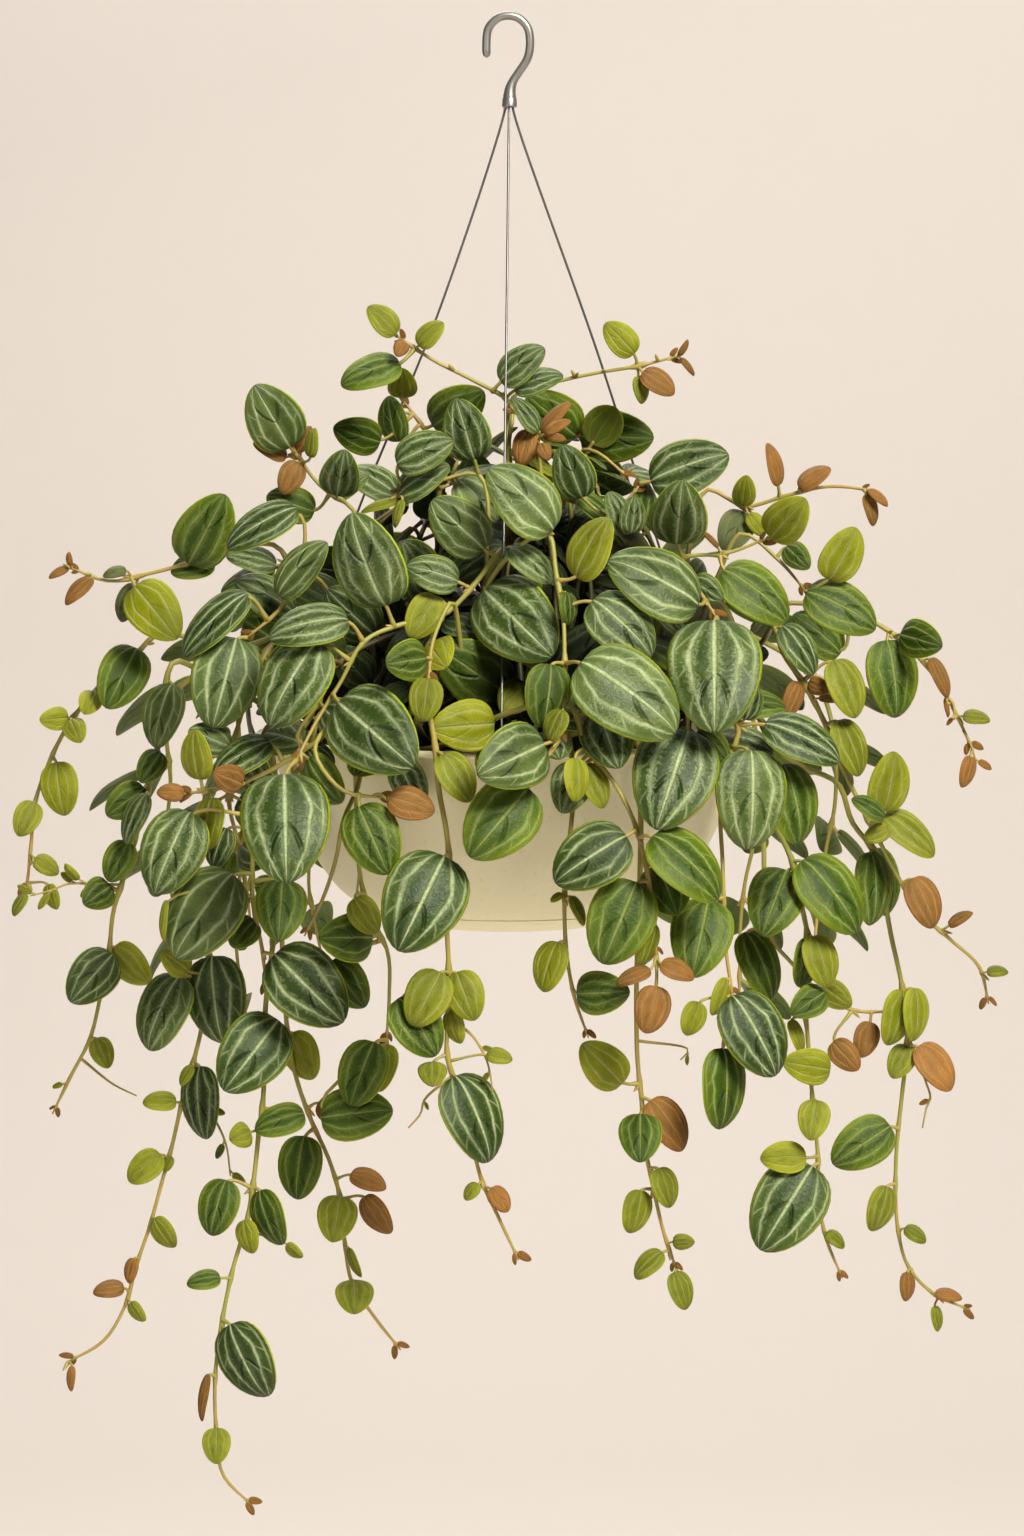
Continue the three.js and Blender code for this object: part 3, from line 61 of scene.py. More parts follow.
# The curled end under the flange: share of the curl outwards, height over the curl's start
WIRE_END = [[0, 0], [0.3, -1.6], [0.8, -1.2], [1, 0.6]]
WIRES = {
    "wire_back_left": [
        [-1.6, 0.9, -42.8], [-34.5, 12, -141.6], [-73.6, 25, -236], [-92.4, 31, -286.5], [-115, 43, -349],
    ],
    "wire_back_right": [
        [2.1, 0.9, -42.8], [45.8, 25, -166], [76.1, 43.5, -259], [91, 50, -305], [108, 59, -349],
    ],
    "wire_front": [
        [0.2, -1.4, -42.8], [-0.6, -31, -120], [-1.6, -62, -200], [-2.5, -93, -276], [-3.3, -123, -349],
    ],
}

# Pot
FLANGE = {"radius": 126, "top": -351, "thickness": 2.5}
POT_OUTER = [
    [119.5, -354.5], [115.5, -368], [103, -401], [94.6, -416], [85, -428.6], [76, -435.6], [66, -440.6],
    [52, -445],
]
POT_WALL = 3
POT_FLOOR = -441.5
DRAIN = {"count": 4, "ring": 30, "radius": 3.5}
SOIL_TOP = -368
SOIL_GAP = 0.4
ROOT_SPACING = 9
# Height of a stem's root, and of a point just above the soil
ROOT_LEVELS = [SOIL_TOP - 8.4, SOIL_TOP + 6]

# Viewpoint from which the plant was measured
EYE = np.array([1.72, -2000, -185.35])
VIEW_SLOPE = 0.0916
VIEW_RISE = 0.9958
VIEW_DROP = 184
VIEW_CENTRE = {"across": 1.75, "down": 374.1}
VIEW_ROUNDS = 4

# Leaf form: the outline narrows by these powers towards its base and its tip
LEAF_OUTLINE = {"base": 0.38, "tip": 0.56}
LEAF_RATIO = 0.72
LEAF_BOW = 0.05
LEAF_CREST = 0.085
LEAF_CREST_LEAST = 1.5
FULLEST_TILT = 1.35
FULLEST_ROLL = 1.3
TIP_FORWARD = 0.12
LEAF_FORWARD = 4
# A rolled leaf turns outwards, the more so the further it lies from the middle, and upwards
ROLL_FULL_AT = 100
ROLL_UPWARD = 0.8

# Stems
STEM_RADIUS = 1.75
STEM_TIP_RADIUS = 0.8
STEM_STEP = 21
STEM_CHECK_STEP = 6
# Spots of each stem piece that are compared when a leaf looks for its root
STEM_PARTS = 6
# A stem whose path starts above this level rises inside the crown, and the others cross the rim
CROWN_LEVEL = -330
# Way inside the crown: share of the way outwards, share of the rise, share of the root's turn
CROWN_RISE = [[0.35, 0.45, 0.5], [0.75, 0.86, 0.2]]
# Way over the rim: radius, height, share of the root's turn
RIM_CROSSING = [[96, -336, 0.4], [124, -338, 0], [132.5, -345, 0], [131.5, -358, 0]]
RIM_CROSSING_ROOM = 8
# Where the stems that hang over the rim are checked against the pot
RIM_ZONE = {"radius": 108, "bottom": SOIL_TOP + 4, "top": -340, "room": 0.5}

# Room kept between leaves, stems, wires and pot
LEAF_ROOM = 2.7
STEM_ROOM = 1.9
POT_ROOM = 2.2
STEM_GAP = STEM_RADIUS * 2.5 + 0.6
FLANGE_ROOM = 1
TOUCH_MARGIN = 1.2
CROSSING_MARGIN = 0.8
LEAST_HALF_WIDTH = 0.2
# Leaves and stems further apart than these shares of a leaf's length aren't compared
NEAR_LEAVES = {"share": 0.62, "room": 3}
NEAR_STEM_SHARE = 0.75
DEPTH_SHIFTS = [0, -3, 3, -6, 6, -9, 9, -13, 13, -17, 17, -22, 22, -28, 28]
SEEDS = {"leaves": 20731, "surface": 20732, "soil": 20736, "fillers": 20740}
RANDOM_TURN = 6.28

# Vines seen from the front. path: [across, down]; depth: y at the start and end of the path;
# leaves: base across, base down, tip across, tip down, seen width, tone, and some a depth shift.
# Tones: D dark, M mid green, L lime, C copper, G grey
VINES = {
    "crown_left": {
        "depth": [-28, -30],
        "path": [[0, 190], [-13, 183], [-25, 176], [-40, 169], [-47, 165], [-52, 161], [-56, 158]],
        "leaves": [
            [-56, 157, -70, 143, 13, "L"], [-45, 163, -33, 151, 11, "L"], [-52, 161, -56, 168, 8, "C"],
            [-54, 172, -84, 182, 17, "M"], [-4, 181, 17.5, 163.5, 17, "D"], [3, 185, 27, 177, 13, "D"],
        ],
    },
    "crown_lime": {
        "depth": [20, 18],
        "path": [[-30, 228], [-40, 215], [-43, 207], [-41, 200], [-48, 197], [-53, 190]],
        "leaves": [
            [-53, 189, -53, 175, 15, "L"], [-55, 211, -60, 188, 15, "M"], [-64, 211, -87, 204, 19, "M"],
            [-38, 203, -13, 186, 25, "M"],
        ],
    },
    "crown_mid": {
        "depth": [-62, -66],
        "path": [[-10, 227], [-18, 228], [-30, 229], [-36, 231], [-47, 235], [-55, 238]],
        "leaves": [
            [-17, 220, -26, 190, 23, "D"], [-56, 222, -28, 210, 20, "D"], [-55, 238, -30, 222, 16, "D"],
            [-53, 240, -74, 246, 5, "L"], [-53, 240, -57, 254, 5, "L"],
        ],
    },
    "left_copper": {
        "depth": [-50, -52],
        "path": [[-70, 262], [-76, 247], [-84, 240], [-95, 232], [-102, 222], [-107, 216]],
        "leaves": [
            [-109, 214, -127, 183, 28, "D"], [-111, 219, -127.5, 211, 9, "C"], [-106, 216, -99, 203, 8, "C"],
            [-105, 221, -113, 237, 13, "C"], [-99, 219, -97, 204, 7, "L"], [-97, 246, -121, 238, 18, "M", 10],
            [-86, 238, -82, 216, 20, "D"], [-86, 239, -70, 227, 9, "D"],
        ],
    },
    "crown_copper": {
        "depth": [-46, -40],
        "path": [[18, 240], [16, 227], [14, 213], [11, 205], [5, 200], [1, 193]],
        "leaves": [
            [15, 206, 2, 189, 10, "D"], [16, 206, 31, 191, 7, "C"], [18, 207, 31, 200, 6, "C"],
            [17, 208, 29, 210, 5, "C"], [11, 205, 6, 223, 13, "C"], [16, 212, 20, 220, 8, "C"],
        ],
    },
    "crown_right": {
        "depth": [-12, -14],
        "path": [
            [0, 190], [15, 184], [27, 180], [38, 177.5], [48, 176], [57, 175], [65, 173], [75, 169],
            [85, 168],
        ],
        "leaves": [
            [63, 167, 48.5, 151.5, 15, "L"], [67, 176, 83, 187, 12, "C"], [65, 178, 67, 192, 8, "L"],
            [85, 168, 90, 160, 3.5, "C"], [86, 169, 93, 178, 3.5, "C"],
        ],
    },
    "back_right": {
        "depth": [20, 20],
        "path": [[14, 222], [20, 212], [30, 210], [36, 208]],
        "leaves": [[34, 208, 10, 188, 26, "M"], [36, 208, 72, 209, 27, "M"], [38, 214, 61, 236, 12, "M"]],
    },
    "right_hero": {
        "depth": [-60, -62],
        "path": [[40, 262], [50, 250], [60, 243], [66, 232]],
        "leaves": [
            [71, 231, 110, 217, 27, "D"], [59, 257, 50, 236, 13, "D"], [61, 257, 63, 238, 13, "D"],
            [37, 239, 27, 213, 21, "D"],
        ],
    },
    "right_sprig": {
        "depth": [10, -5],
        "path": [
            [97, 235], [105, 238], [117, 243], [123, 242], [131, 240], [142, 237], [154, 234], [165, 233],
            [175, 233], [181, 235],
        ],
        "leaves": [
            [117, 243, 119, 228, 12, "L"], [135, 233, 130, 211.5, 8, "C"], [145, 234, 161, 224, 10, "C"],
            [179, 237, 183, 253, 7, "C"], [180, 235, 190, 243, 5, "C"], [118, 246, 108, 265, 18, "G", 6],
            [120, 247, 128, 258, 9, "L"],
        ],
    },
    "right_ochre": {
        "depth": [-70, -72],
        "path": [[78, 270], [90, 269], [100, 268], [112, 266], [123, 262], [130, 259]],
        "leaves": [
            [84, 262, 87, 231, 28, "D"], [107, 275, 140, 300, 25, "M"], [131, 259, 148, 240, 21, "L"],
            [105, 264, 96, 255, 3, "C"],
        ],
    },
    "right_front": {
        "depth": [-96, -112],
        "path": [[86, 268], [92, 280], [97, 290], [104, 299]],
        "leaves": [
            [95, 293, 50, 270, 31, "D", -6], [103, 300, 103, 356, 45, "D", -6],
            [92, 280, 107, 290, 14, "D", 6], [76, 297, 88, 308, 9, "D"],
        ],
    },
    "right_pink": {
        "depth": [-40, -42],
        "path": [[118, 256], [126, 262], [134, 269], [142, 280], [149, 286]],
        "leaves": [
            [149, 286, 184, 304, 25, "M"], [160, 280, 174, 254, 20, "L"], [139, 263, 150, 274, 13, "M", 4],
        ],
    },
    "right_upper_trail": {
        "depth": [0, -4],
        "path": [
            [142, 290], [165, 296], [184, 301], [195, 309], [205, 319], [212, 327], [218, 338], [224, 347],
            [229, 357], [232, 365],
        ],
        "leaves": [
            [189, 310, 194, 349, 26, "M"], [196, 307, 216, 313, 20, "M"], [166, 317, 143, 297, 20, "M", 10],
            [211, 319, 220, 339, 8, "C"], [218, 340, 220, 349, 2.5, "C"], [227, 348, 241, 350, 7.5, "L"],
            [231, 368, 227, 384, 8, "C"],
        ],
    },
    "right_trail": {
        "depth": [-62, -20],
        "path": [
            [135, 303], [136, 313], [143, 327], [153, 339], [161, 359], [171, 383], [184, 407], [190, 422],
            [197, 432], [205, 445], [213, 454], [221, 460], [229, 465], [235, 473], [240, 482], [240, 492],
        ],
        "leaves": [
            [137, 303, 153, 327, 16, "D"], [163, 320, 174, 349, 18, "L"], [145, 331, 138, 349, 10, "C"],
            [150, 331, 160, 336, 9, "C"], [155, 339, 168, 340, 5, "C"], [165, 350, 176, 378, 16, "L"],
            [187, 396, 193, 366, 20, "L"], [188, 397, 213, 418, 16, "L"], [188, 399, 172, 389, 10, "M"],
            [190, 404, 178, 410, 10, "L"], [202, 429, 213, 454, 17, "C"], [220, 453, 232, 446, 6, "C"],
            [239, 476, 250, 476, 6, "L"],
        ],
    },
    "right_long": {
        "depth": [-32, -4],
        "path": [
            [163, 380], [168, 390], [175, 408], [182, 414], [186, 425], [189, 447], [196, 479], [199, 497],
            [199, 509], [198, 528], [196, 544], [194, 566], [194, 599], [198, 618], [202, 628], [211, 636],
            [231, 645],
        ],
        "leaves": [
            [181, 416, 182, 453, 19, "M"], [184, 414, 190, 448, 16, "M", 6], [203, 484, 203, 511, 13, "L"],
            [197, 485, 190, 513, 16, "L"], [205, 513, 222, 535, 17, "C"], [200, 513, 192, 529, 14, "L"],
            [191, 553, 162, 572, 25, "M"], [189, 583, 182, 606, 14, "L"], [198, 604, 209, 611, 8, "L"],
            [199, 626, 199, 641, 8, "C"], [213, 637, 227, 639, 7, "C"], [213, 643, 215, 656, 6, "L"],
        ],
    },
    "right_mid_trail": {
        "depth": [-70, -66],
        "path": [
            [133, 402], [141, 418], [146, 440], [150, 462], [147, 482], [149, 502], [152, 540], [155, 572],
            [156, 603], [160, 612], [167, 629],
        ],
        "leaves": [
            [147, 420, 175, 456, 28, "M"], [139, 425, 127, 457, 28, "M"], [151, 459, 146, 484, 14, "M"],
            [152, 458, 160, 484, 17, "L"], [158, 486, 142, 497, 16, "M"], [141, 500, 147, 517, 7, "L"],
            [161, 525, 138, 521, 18, "L"], [154, 540, 151, 560, 16, "L"], [149, 569, 126, 569, 16, "L"],
            [152, 573, 126, 615, 36, "D"], [159, 606, 168, 614, 7, "L"],
        ],
    },
    "right_diagonal": {
        "depth": [-40, -18],
        "path": [[131, 459], [137, 466], [149, 480], [162, 491], [176, 496], [191, 496]],
        "leaves": [
            [118, 456, 132, 490, 20, "M"], [128, 459, 132, 488, 9, "L", 6], [157, 483, 171, 493, 14, "L"],
            [162, 511, 175, 525, 14, "C"], [181, 501, 176, 519, 13, "C"],
        ],
    },
    "right_front_trail": {
        "depth": [-112, -126],
        "path": [
            [112, 340], [115, 350], [112, 364], [107, 382], [106, 400], [107, 420], [107, 435], [109, 455],
            [109, 480], [112, 488],
        ],
        "leaves": [
            [121, 365, 120, 415, 34, "D", -6], [128, 352, 166, 370, 21, "D"],
            [137, 372, 146, 412, 24, "M", 6], [90, 355, 74, 404, 40, "D", -12], [95, 355, 110, 371, 13, "M"],
            [118, 350, 124, 333, 12, "D"], [100, 440, 92, 478, 30, "M"], [109, 479, 102, 498, 9, "L"],
            [112, 488, 134, 528, 30, "D"], [107, 514, 106, 555, 21, "M"], [95, 491, 89, 508, 12, "L"],
        ],
    },
    "front_right": {
        "depth": [-142, -150],
        "path": [
            [30, 342], [36, 358], [45, 373], [54, 383], [61, 397], [65, 407], [70, 430], [72, 443], [74, 468],
        ],
        "leaves": [
            [59, 408, 23, 431, 30, "D", -6], [72, 408, 106, 439, 26, "M", -6], [64, 431, 47, 472, 32, "M"],
            [33, 369, 34, 391, 12, "L"], [38, 372, 48, 394, 13, "L"], [35, 372, 27, 396, 20, "D", 6],
            [45, 345, 55, 374, 26, "D", 12], [75, 422, 84, 447, 25, "M", 10], [73, 452, 66, 474, 8, "L"],
            [71, 475, 54, 482, 8, "C"], [76, 472, 93, 479, 10, "C"], [74, 483, 69, 507, 17, "C"],
        ],
    },
    "front_long": {
        "depth": [-118, -100],
        "path": [
            [66, 380], [66, 420], [65, 450], [64, 482], [64, 502], [65, 528], [67, 544], [68, 561], [72, 582],
            [77, 604], [81, 619], [84, 625],
        ],
        "leaves": [
            [57, 532, 37, 512, 21, "L"], [71, 540, 88, 565, 18, "C"], [66, 547, 66, 571, 21, "M"],
            [75, 574, 81, 594, 13, "L"], [66, 585, 61, 607, 14, "L"], [82, 611, 93, 611, 8, "L"],
            [77, 616, 63, 629, 11, "L"], [83, 626, 89, 645, 12, "L"],
        ],
    },
    "front_thin": {
        "depth": [-137, -134],
        "path": [[33, 388], [29, 420], [28, 450], [29, 466], [32, 485], [36, 498], [40, 509]],
        "leaves": [
            [31, 438, 38, 453, 6, "L"], [27, 437, 21, 441, 4, "L"], [25, 461, 17, 486, 16, "L"],
            [34, 487, 60, 486, 21, "M"],
        ],
    },
    "front_centre": {
        "depth": [-112, -156],
        "path": [[19, 256], [24, 278], [27, 295], [28, 311], [28, 328], [28, 345], [25, 360]],
        "leaves": [
            [22.5, 255, -9, 224, 29, "D"], [34, 279, 50, 249, 20, "L"], [42, 290, 72, 318, 27, "D"],
            [36, 321, 84, 356, 39, "D", -6], [21, 322, 17, 354, 22, "M"], [27, 345, 20, 361, 11, "L"],
            [18, 362, -14, 377, 31, "D"], [10, 384, -19, 418, 33, "M"], [29, 286, 30, 303, 9, "M"],
            [1, 264, 22, 281, 14, "D"],
        ],
    },
    "front_left": {
        "depth": [-96, -140],
        "path": [
            [-4, 265], [-16, 281], [-30, 296], [-46, 301], [-62, 304], [-70, 308], [-82, 328], [-94, 347],
            [-100, 359], [-106, 370],
        ],
        "leaves": [
            [-12, 265, -38, 240, 26, "D"], [-25, 281, -51, 273, 18, "D"], [-12, 285, 22, 318, 38, "D", -6],
            [-61, 293, -79, 247, 33, "D"], [-36, 288, -49, 309, 18, "L"], [-80, 300, -120, 308, 20, "D"],
            [-95, 311, -120, 353, 32, "D"], [-85, 341, -48, 373, 39, "D", -8], [-100, 369, -84, 392, 18, "M"],
            [-112, 377, -111, 431, 42, "D", -8],
        ],
    },
    "left_copper_branch": {
        "depth": [-116, -100],
        "path": [[-110, 370], [-118, 375], [-130, 380], [-143, 384], [-152, 386], [-162, 387]],
        "leaves": [
            [-154, 380, -157, 355, 15, "L"], [-148, 389, -151, 415, 15, "L"], [-133, 382, -147, 376, 14, "C"],
            [-162, 387, -176, 386, 9, "C"], [-119, 361, -148, 378, 17, "D", 6],
            [-139, 364, -160, 355, 16, "D", 8],
        ],
    },
    "front_copper_branch": {
        "depth": [-150, -152],
        "path": [[-101, 362], [-96, 368], [-88, 380], [-80, 387], [-70, 389], [-60, 389]],
        "leaves": [[-75, 393, -60, 427, 27, "M"], [-60, 389, -37, 396, 16, "C"]],
    },
    "centre_small": {
        "depth": [-122, -144],
        "path": [[-27, 290], [-35, 302], [-38, 312], [-39, 320], [-40, 329]],
        "leaves": [
            [-41, 319, -61, 322, 20, "M"], [-40, 329, -43, 351, 16, "L"], [0, 338, -34, 314, 32, "M", 4],
            [-7, 352, -38, 354, 25, "L"],
        ],
    },
    "front_trail": {
        "depth": [-150, -138],
        "path": [
            [-39, 346], [-37, 360], [-36, 377], [-33, 395], [-30, 412], [-29, 420], [-31, 458], [-30, 472],
            [-30, 496], [-31, 515], [-28, 526], [-20, 555], [-16, 571], [-12, 584], [-6, 596], [-2, 606],
            [5, 620],
        ],
        "leaves": [
            [-32, 418, -55, 465, 39, "D", -6], [-33, 367, -19, 391, 17, "L"], [-34, 476, -48, 503, 22, "L"],
            [-26, 476, -17, 500, 19, "L"], [-55, 489, -36, 518, 24, "M"], [-29, 495, -24, 512, 10, "L"],
            [-38, 521, -38, 533, 14, "L"], [-11, 517, 2, 520, 8, "L"], [-27, 528, -9, 571, 28, "D"],
            [-9, 584, 0, 596, 10, "C"], [-15, 582, -22, 590, 7, "L"],
        ],
    },
    "left_sprig": {
        "depth": [-30, -24],
        "path": [
            [-118, 262], [-142, 266], [-150, 269], [-161, 272], [-177, 276], [-188, 280], [-206, 280],
            [-214, 277], [-219, 274],
        ],
        "leaves": [
            [-160, 272, -142, 238, 29, "M"], [-147, 271, -169, 276, 14, "M"], [-187, 283, -166, 309, 26, "L"],
            [-186, 282, -194, 301, 12, "G"], [-191, 275, -203, 278, 6, "G"], [-208, 279, -222, 292, 8, "C"],
            [-220, 274, -230, 279, 4.5, "C"], [-219, 273, -220, 266, 3.5, "C"],
            [-116, 273, -141, 267, 13, "D"], [-117, 274, -144, 286, 10, "M"],
        ],
    },
    "left_upper": {
        "depth": [-82, -88],
        "path": [[-98, 274], [-105, 282], [-112, 290], [-116, 297], [-121, 304], [-131, 309]],
        "leaves": [
            [-115, 288, -91, 261, 18, "D"], [-106, 244, -141, 264, 18, "D"], [-131, 287, -163, 318, 18, "D"],
            [-136, 309, -148, 354, 34, "D"],
        ],
    },
    "left_outer": {
        "depth": [-12, -8],
        "path": [
            [-170, 306], [-186, 314], [-190, 322], [-200, 330], [-208, 337], [-219, 351], [-226, 363],
            [-230, 372], [-236, 388], [-238, 402], [-239, 416], [-241, 435],
        ],
        "leaves": [
            [-186, 314, -201, 344, 25, "M"], [-207, 336, -212, 347, 12, "L"], [-220, 349, -234, 350, 12, "L"],
            [-219, 350, -214, 361, 12, "L"], [-226, 371, -222, 398, 19, "L"], [-237, 391, -245, 408, 14, "L"],
            [-237, 419, -225, 427, 10, "L"], [-241, 437, -248, 448, 6, "L"], [-230, 432, -226, 445, 8, "L"],
        ],
    },
    "left_long": {
        "depth": [-44, -36],
        "path": [
            [-170, 322], [-172, 335], [-173, 350], [-178, 375], [-184, 400], [-192, 428], [-198, 448],
            [-199, 462], [-204, 488], [-207, 502], [-211, 514], [-217, 526], [-225, 535], [-228, 547],
        ],
        "leaves": [
            [-168, 332, -177, 364, 20, "D"], [-174, 366, -184, 381, 14, "M"], [-182, 384, -201, 398, 17, "M"],
            [-181, 387, -192, 412, 12, "D"], [-190, 411, -200, 431, 16, "M"], [-199, 433, -212, 442, 17, "M"],
            [-215, 430, -222, 422, 5, "L"], [-198, 467, -219, 491, 24, "D"], [-197, 463, -180, 482, 17, "L"],
            [-206, 509, -200, 524, 12, "L"], [-223, 532, -228, 534, 3, "L"],
        ],
    },
    "left_front_trail": {
        "depth": [-112, -106],
        "path": [[-128, 400], [-128, 418], [-128, 435], [-127, 450], [-124, 460], [-121, 485]],
        "leaves": [
            [-138, 427, -167, 469, 35, "D"], [-159, 396, -177, 437, 31, "D"], [-113, 430, -115, 460, 25, "M"],
            [-117, 467, -83, 501, 35, "D"], [-127, 450, -138, 463, 15, "M"], [-171, 440, -173, 461, 4, "L"],
            [-141, 404, -148, 424, 14, "D", 10],
        ],
    },
    "lower_left": {
        "depth": [-72, -68],
        "path": [
            [-148, 450], [-150, 470], [-152, 495], [-156, 516], [-161, 532], [-168, 562], [-173, 580],
            [-179, 602], [-185, 619], [-189, 634], [-193, 646], [-201, 659], [-213, 668], [-220, 671],
        ],
        "leaves": [
            [-148, 468, -143, 512, 30, "D"], [-164, 478, -181, 515, 25, "D"], [-160, 476, -173, 466, 13, "L"],
            [-154, 523, -152, 560, 19, "D"], [-158, 523, -164, 533, 6, "L"], [-166, 541, -183, 541, 10, "L"],
            [-174, 567, -190, 581, 15, "L"], [-169, 568, -172, 576, 6, "L"], [-177, 599, -167, 614, 11, "L"],
            [-187, 619, -190, 632, 7, "C"], [-192, 634, -208, 636, 9, "C"], [-189, 641, -182, 651, 7, "L"],
            [-218, 673, -219, 686, 4.5, "C"],
        ],
    },
    "lowest_left": {
        "depth": [-96, -92],
        "path": [
            [-122, 500], [-122, 530], [-125, 558], [-130, 597], [-139, 629], [-145, 662], [-147, 675],
            [-146, 701], [-145, 722], [-139, 733], [-128, 743],
        ],
        "leaves": [
            [-115, 500, -142, 535, 33, "D"], [-102, 547, -127, 555, 16, "M"], [-129, 556, -139, 560, 13, "L"],
            [-141, 580, -149, 608, 20, "M"], [-124, 585, -114, 613, 16, "M"], [-132, 600, -128, 617, 11, "L"],
            [-144, 629, -161, 632, 10, "M"], [-139, 652, -121, 689, 26, "D"], [-150, 677, -154, 701, 5, "C"],
            [-146, 704, -146, 722, 14, "L"], [-111, 612, -103, 619, 6, "L"],
        ],
    },
    "lower_pink": {
        "depth": [-60, -54],
        "path": [
            [-109, 518], [-103, 538], [-96, 557], [-91, 568], [-86, 576], [-84, 590], [-82, 610], [-78, 632],
            [-66, 650], [-54, 665],
        ],
        "leaves": [
            [-95, 541, -76, 553, 15, "C"], [-102, 558, -106, 590, 22, "M"], [-79, 577, -61, 584, 11, "C"],
            [-72, 588, -59, 607, 13, "C"], [-84, 588, -88, 611, 20, "L"], [-80, 614, -74, 629, 5, "L"],
            [-77, 630, -77, 647, 19, "L"], [-108, 506, -98, 530, 18, "L", 8],
        ],
    },
    "lower_centre_left": {
        "depth": [-104, -94],
        "path": [[-72, 442], [-66, 452], [-62, 459], [-60, 470], [-60, 500], [-61, 510]],
        "leaves": [
            [-77, 439, -66, 457, 15, "L"], [-68, 459, -94, 459, 24, "M"], [-88, 470, -72, 494, 20, "M"],
            [-67, 511, -79, 543, 24, "M"], [-94, 549, -58, 545, 26, "M"], [-60, 512, -66, 536, 15, "L"],
        ],
    },
    "left_stub": {
        "depth": [-124, -112],
        "path": [[-82, 398], [-84, 412], [-88, 425], [-92, 437], [-97, 450], [-102, 458]],
        "leaves": [],
    },
}

# Stems at the back: turn around the pot, lowest height, reach from the axis, height of the arch
REAR_VINES = {
    "rear_right": {"angle": 22, "end": -478, "reach": 178, "arch": -300},
    "rear_right_inner": {"angle": 40, "end": -505, "reach": 168, "arch": -272},
    "rear_right_back": {"angle": 59, "end": -470, "reach": 158, "arch": -292},
    "rear_middle_right": {"angle": 77, "end": -440, "reach": 152, "arch": -268},
    "rear_middle": {"angle": 94, "end": -432, "reach": 160, "arch": -290},
    "rear_middle_left": {"angle": 111, "end": -446, "reach": 152, "arch": -264},
    "rear_left_back": {"angle": 128, "end": -486, "reach": 162, "arch": -292},
    "rear_left_inner": {"angle": 145, "end": -530, "reach": 168, "arch": -274},
    "rear_left": {"angle": 163, "end": -462, "reach": 180, "arch": -304},
    "rear_crown": {"angle": 84, "end": -330, "reach": 104, "arch": -232},
}

# Thin bare ends and side shoots, which the solids leave out: [across, down] in the front view,
# from the stem outwards. leaves: share along the shoot, side, length, tone.
SHOOTS = [
    {"path": [[201, 508], [206, 523], [209, 532], [211, 539], [209, 544], [207, 554]],
     "leaves": [[0.45, 1, 6, "C"], [0.7, -1, 5, "C"]]},
    {"path": [[91, 509], [90, 515], [86, 520]], "leaves": [[0.9, 1, 5, "L"]]},
    {"path": [[-41, 532], [-42, 540], [-44, 547], [-50, 554]], "leaves": [[0.6, 1, 4, "L"]]},
    {"path": [[-24, 498], [-18, 508], [-14, 514], [-11, 520], [-9, 528], [-8, 536]],
     "leaves": [[0.5, 1, 6, "L"], [0.8, -1, 5, "L"]]},
    {"path": [[-203, 523], [-198, 532], [-186, 538]], "leaves": []},
    {"path": [[-200, 432], [-209, 432], [-220, 432], [-228, 435], [-239, 438]],
     "leaves": [[0.3, 1, 8, "L"], [0.55, -1, 7, "L"], [0.8, 1, 9, "L"], [1.0, -1, 8, "L"]]},
    {"path": [[-143, 535], [-142, 560], [-139, 578]],
     "leaves": [[0.35, 1, 7, "L"], [0.7, -1, 8, "M"], [1.0, 1, 8, "L"]]},
    {"path": [[-78, 425], [-76, 437]], "leaves": [[0.9, 1, 5, "L"]]},
    {"path": [[-65, 380], [-64, 387], [-60, 391]], "leaves": [[1.0, 1, 5, "L"]]},
    {"path": [[222, 336], [222, 341], [223, 350]], "leaves": [[0.9, -1, 5, "C"]]},
    {"path": [[228, 356], [231, 362], [234, 372]], "leaves": [[1.0, 1, 8, "C"]]},
]
# Small buds on the stems, at the places where the front view shows them
BUDS = [
    [-28, 175], [31, 175], [33, 181], [47, 175], [75, 167], [82, 168], [181, 231], [191, 303],
    [222, 341], [223, 350], [-180, 312],
]

# Names of finish slots for the vines that aren't mid green, which no piece is given
SLOTS = {
    **dict.fromkeys([
        "crown_mid", "left_copper", "right_hero", "right_ochre", "right_front", "front_right",
        "front_centre", "front_left", "left_front_trail", "lower_left", "left_upper",
        "right_front_trail", "left_long", "front_trail", "left_copper_branch",
    ], "leaf_dark"),
    **dict.fromkeys([
        "left_outer", "left_stub", "front_long", "lower_pink", "crown_left", "left_sprig", "centre_small",
    ], "leaf_lime"),
    **dict.fromkeys(["crown_copper", "crown_right", "right_sprig", "front_copper_branch"], "leaf_copper"),
}

# Way of a rear stem: up to its arch, and down again outside the pot
REAR_RISE = {"middle": 0.4, "below_arch": 24, "middle_turn": 0.6, "arch": 0.62, "arch_turn": 0.3,
             "shoulder": 0.84, "below_shoulder": 14}
REAR_HANGING_LEVEL = -345
REAR_OVER_RIM = {"z": -338, "turn": 0.03}
# Reach past the stem's own, share of the drop, turn
REAR_HANG = [[3, 0.3, -0.02], [1, 0.66, 0.05]]
REAR_END = {"reach": -6, "turn": 0.02}

# Leaf pairs at the back. Two numbers in round brackets are a random value's start and its range.
REAR_FIRST_PAIR = 70
REAR_PAIR_STEP = 43
REAR_LEAF_LENGTH = [44, 24]
REAR_PETIOLE = 5.5
REAR_SIZE = (0.85, 0.35)
REAR_TWIST = {"step": 0.9, "own": 0.5, "around": 0.6}
REAR_OUTWARD = {"least": 0.35, "twisted": 0.5, "second": 0.4}
REAR_ALONG = (0.35, 0.4)
REAR_SAG = 0.25
REAR_UPWARD = (0.45, 0.3)
REAR_RATIO = (0.66, 0.1)
REAR_LEAF_AREA = 0.8
SHIFT_OUTWARD = {"base": 0.5, "tilt": 0.04}

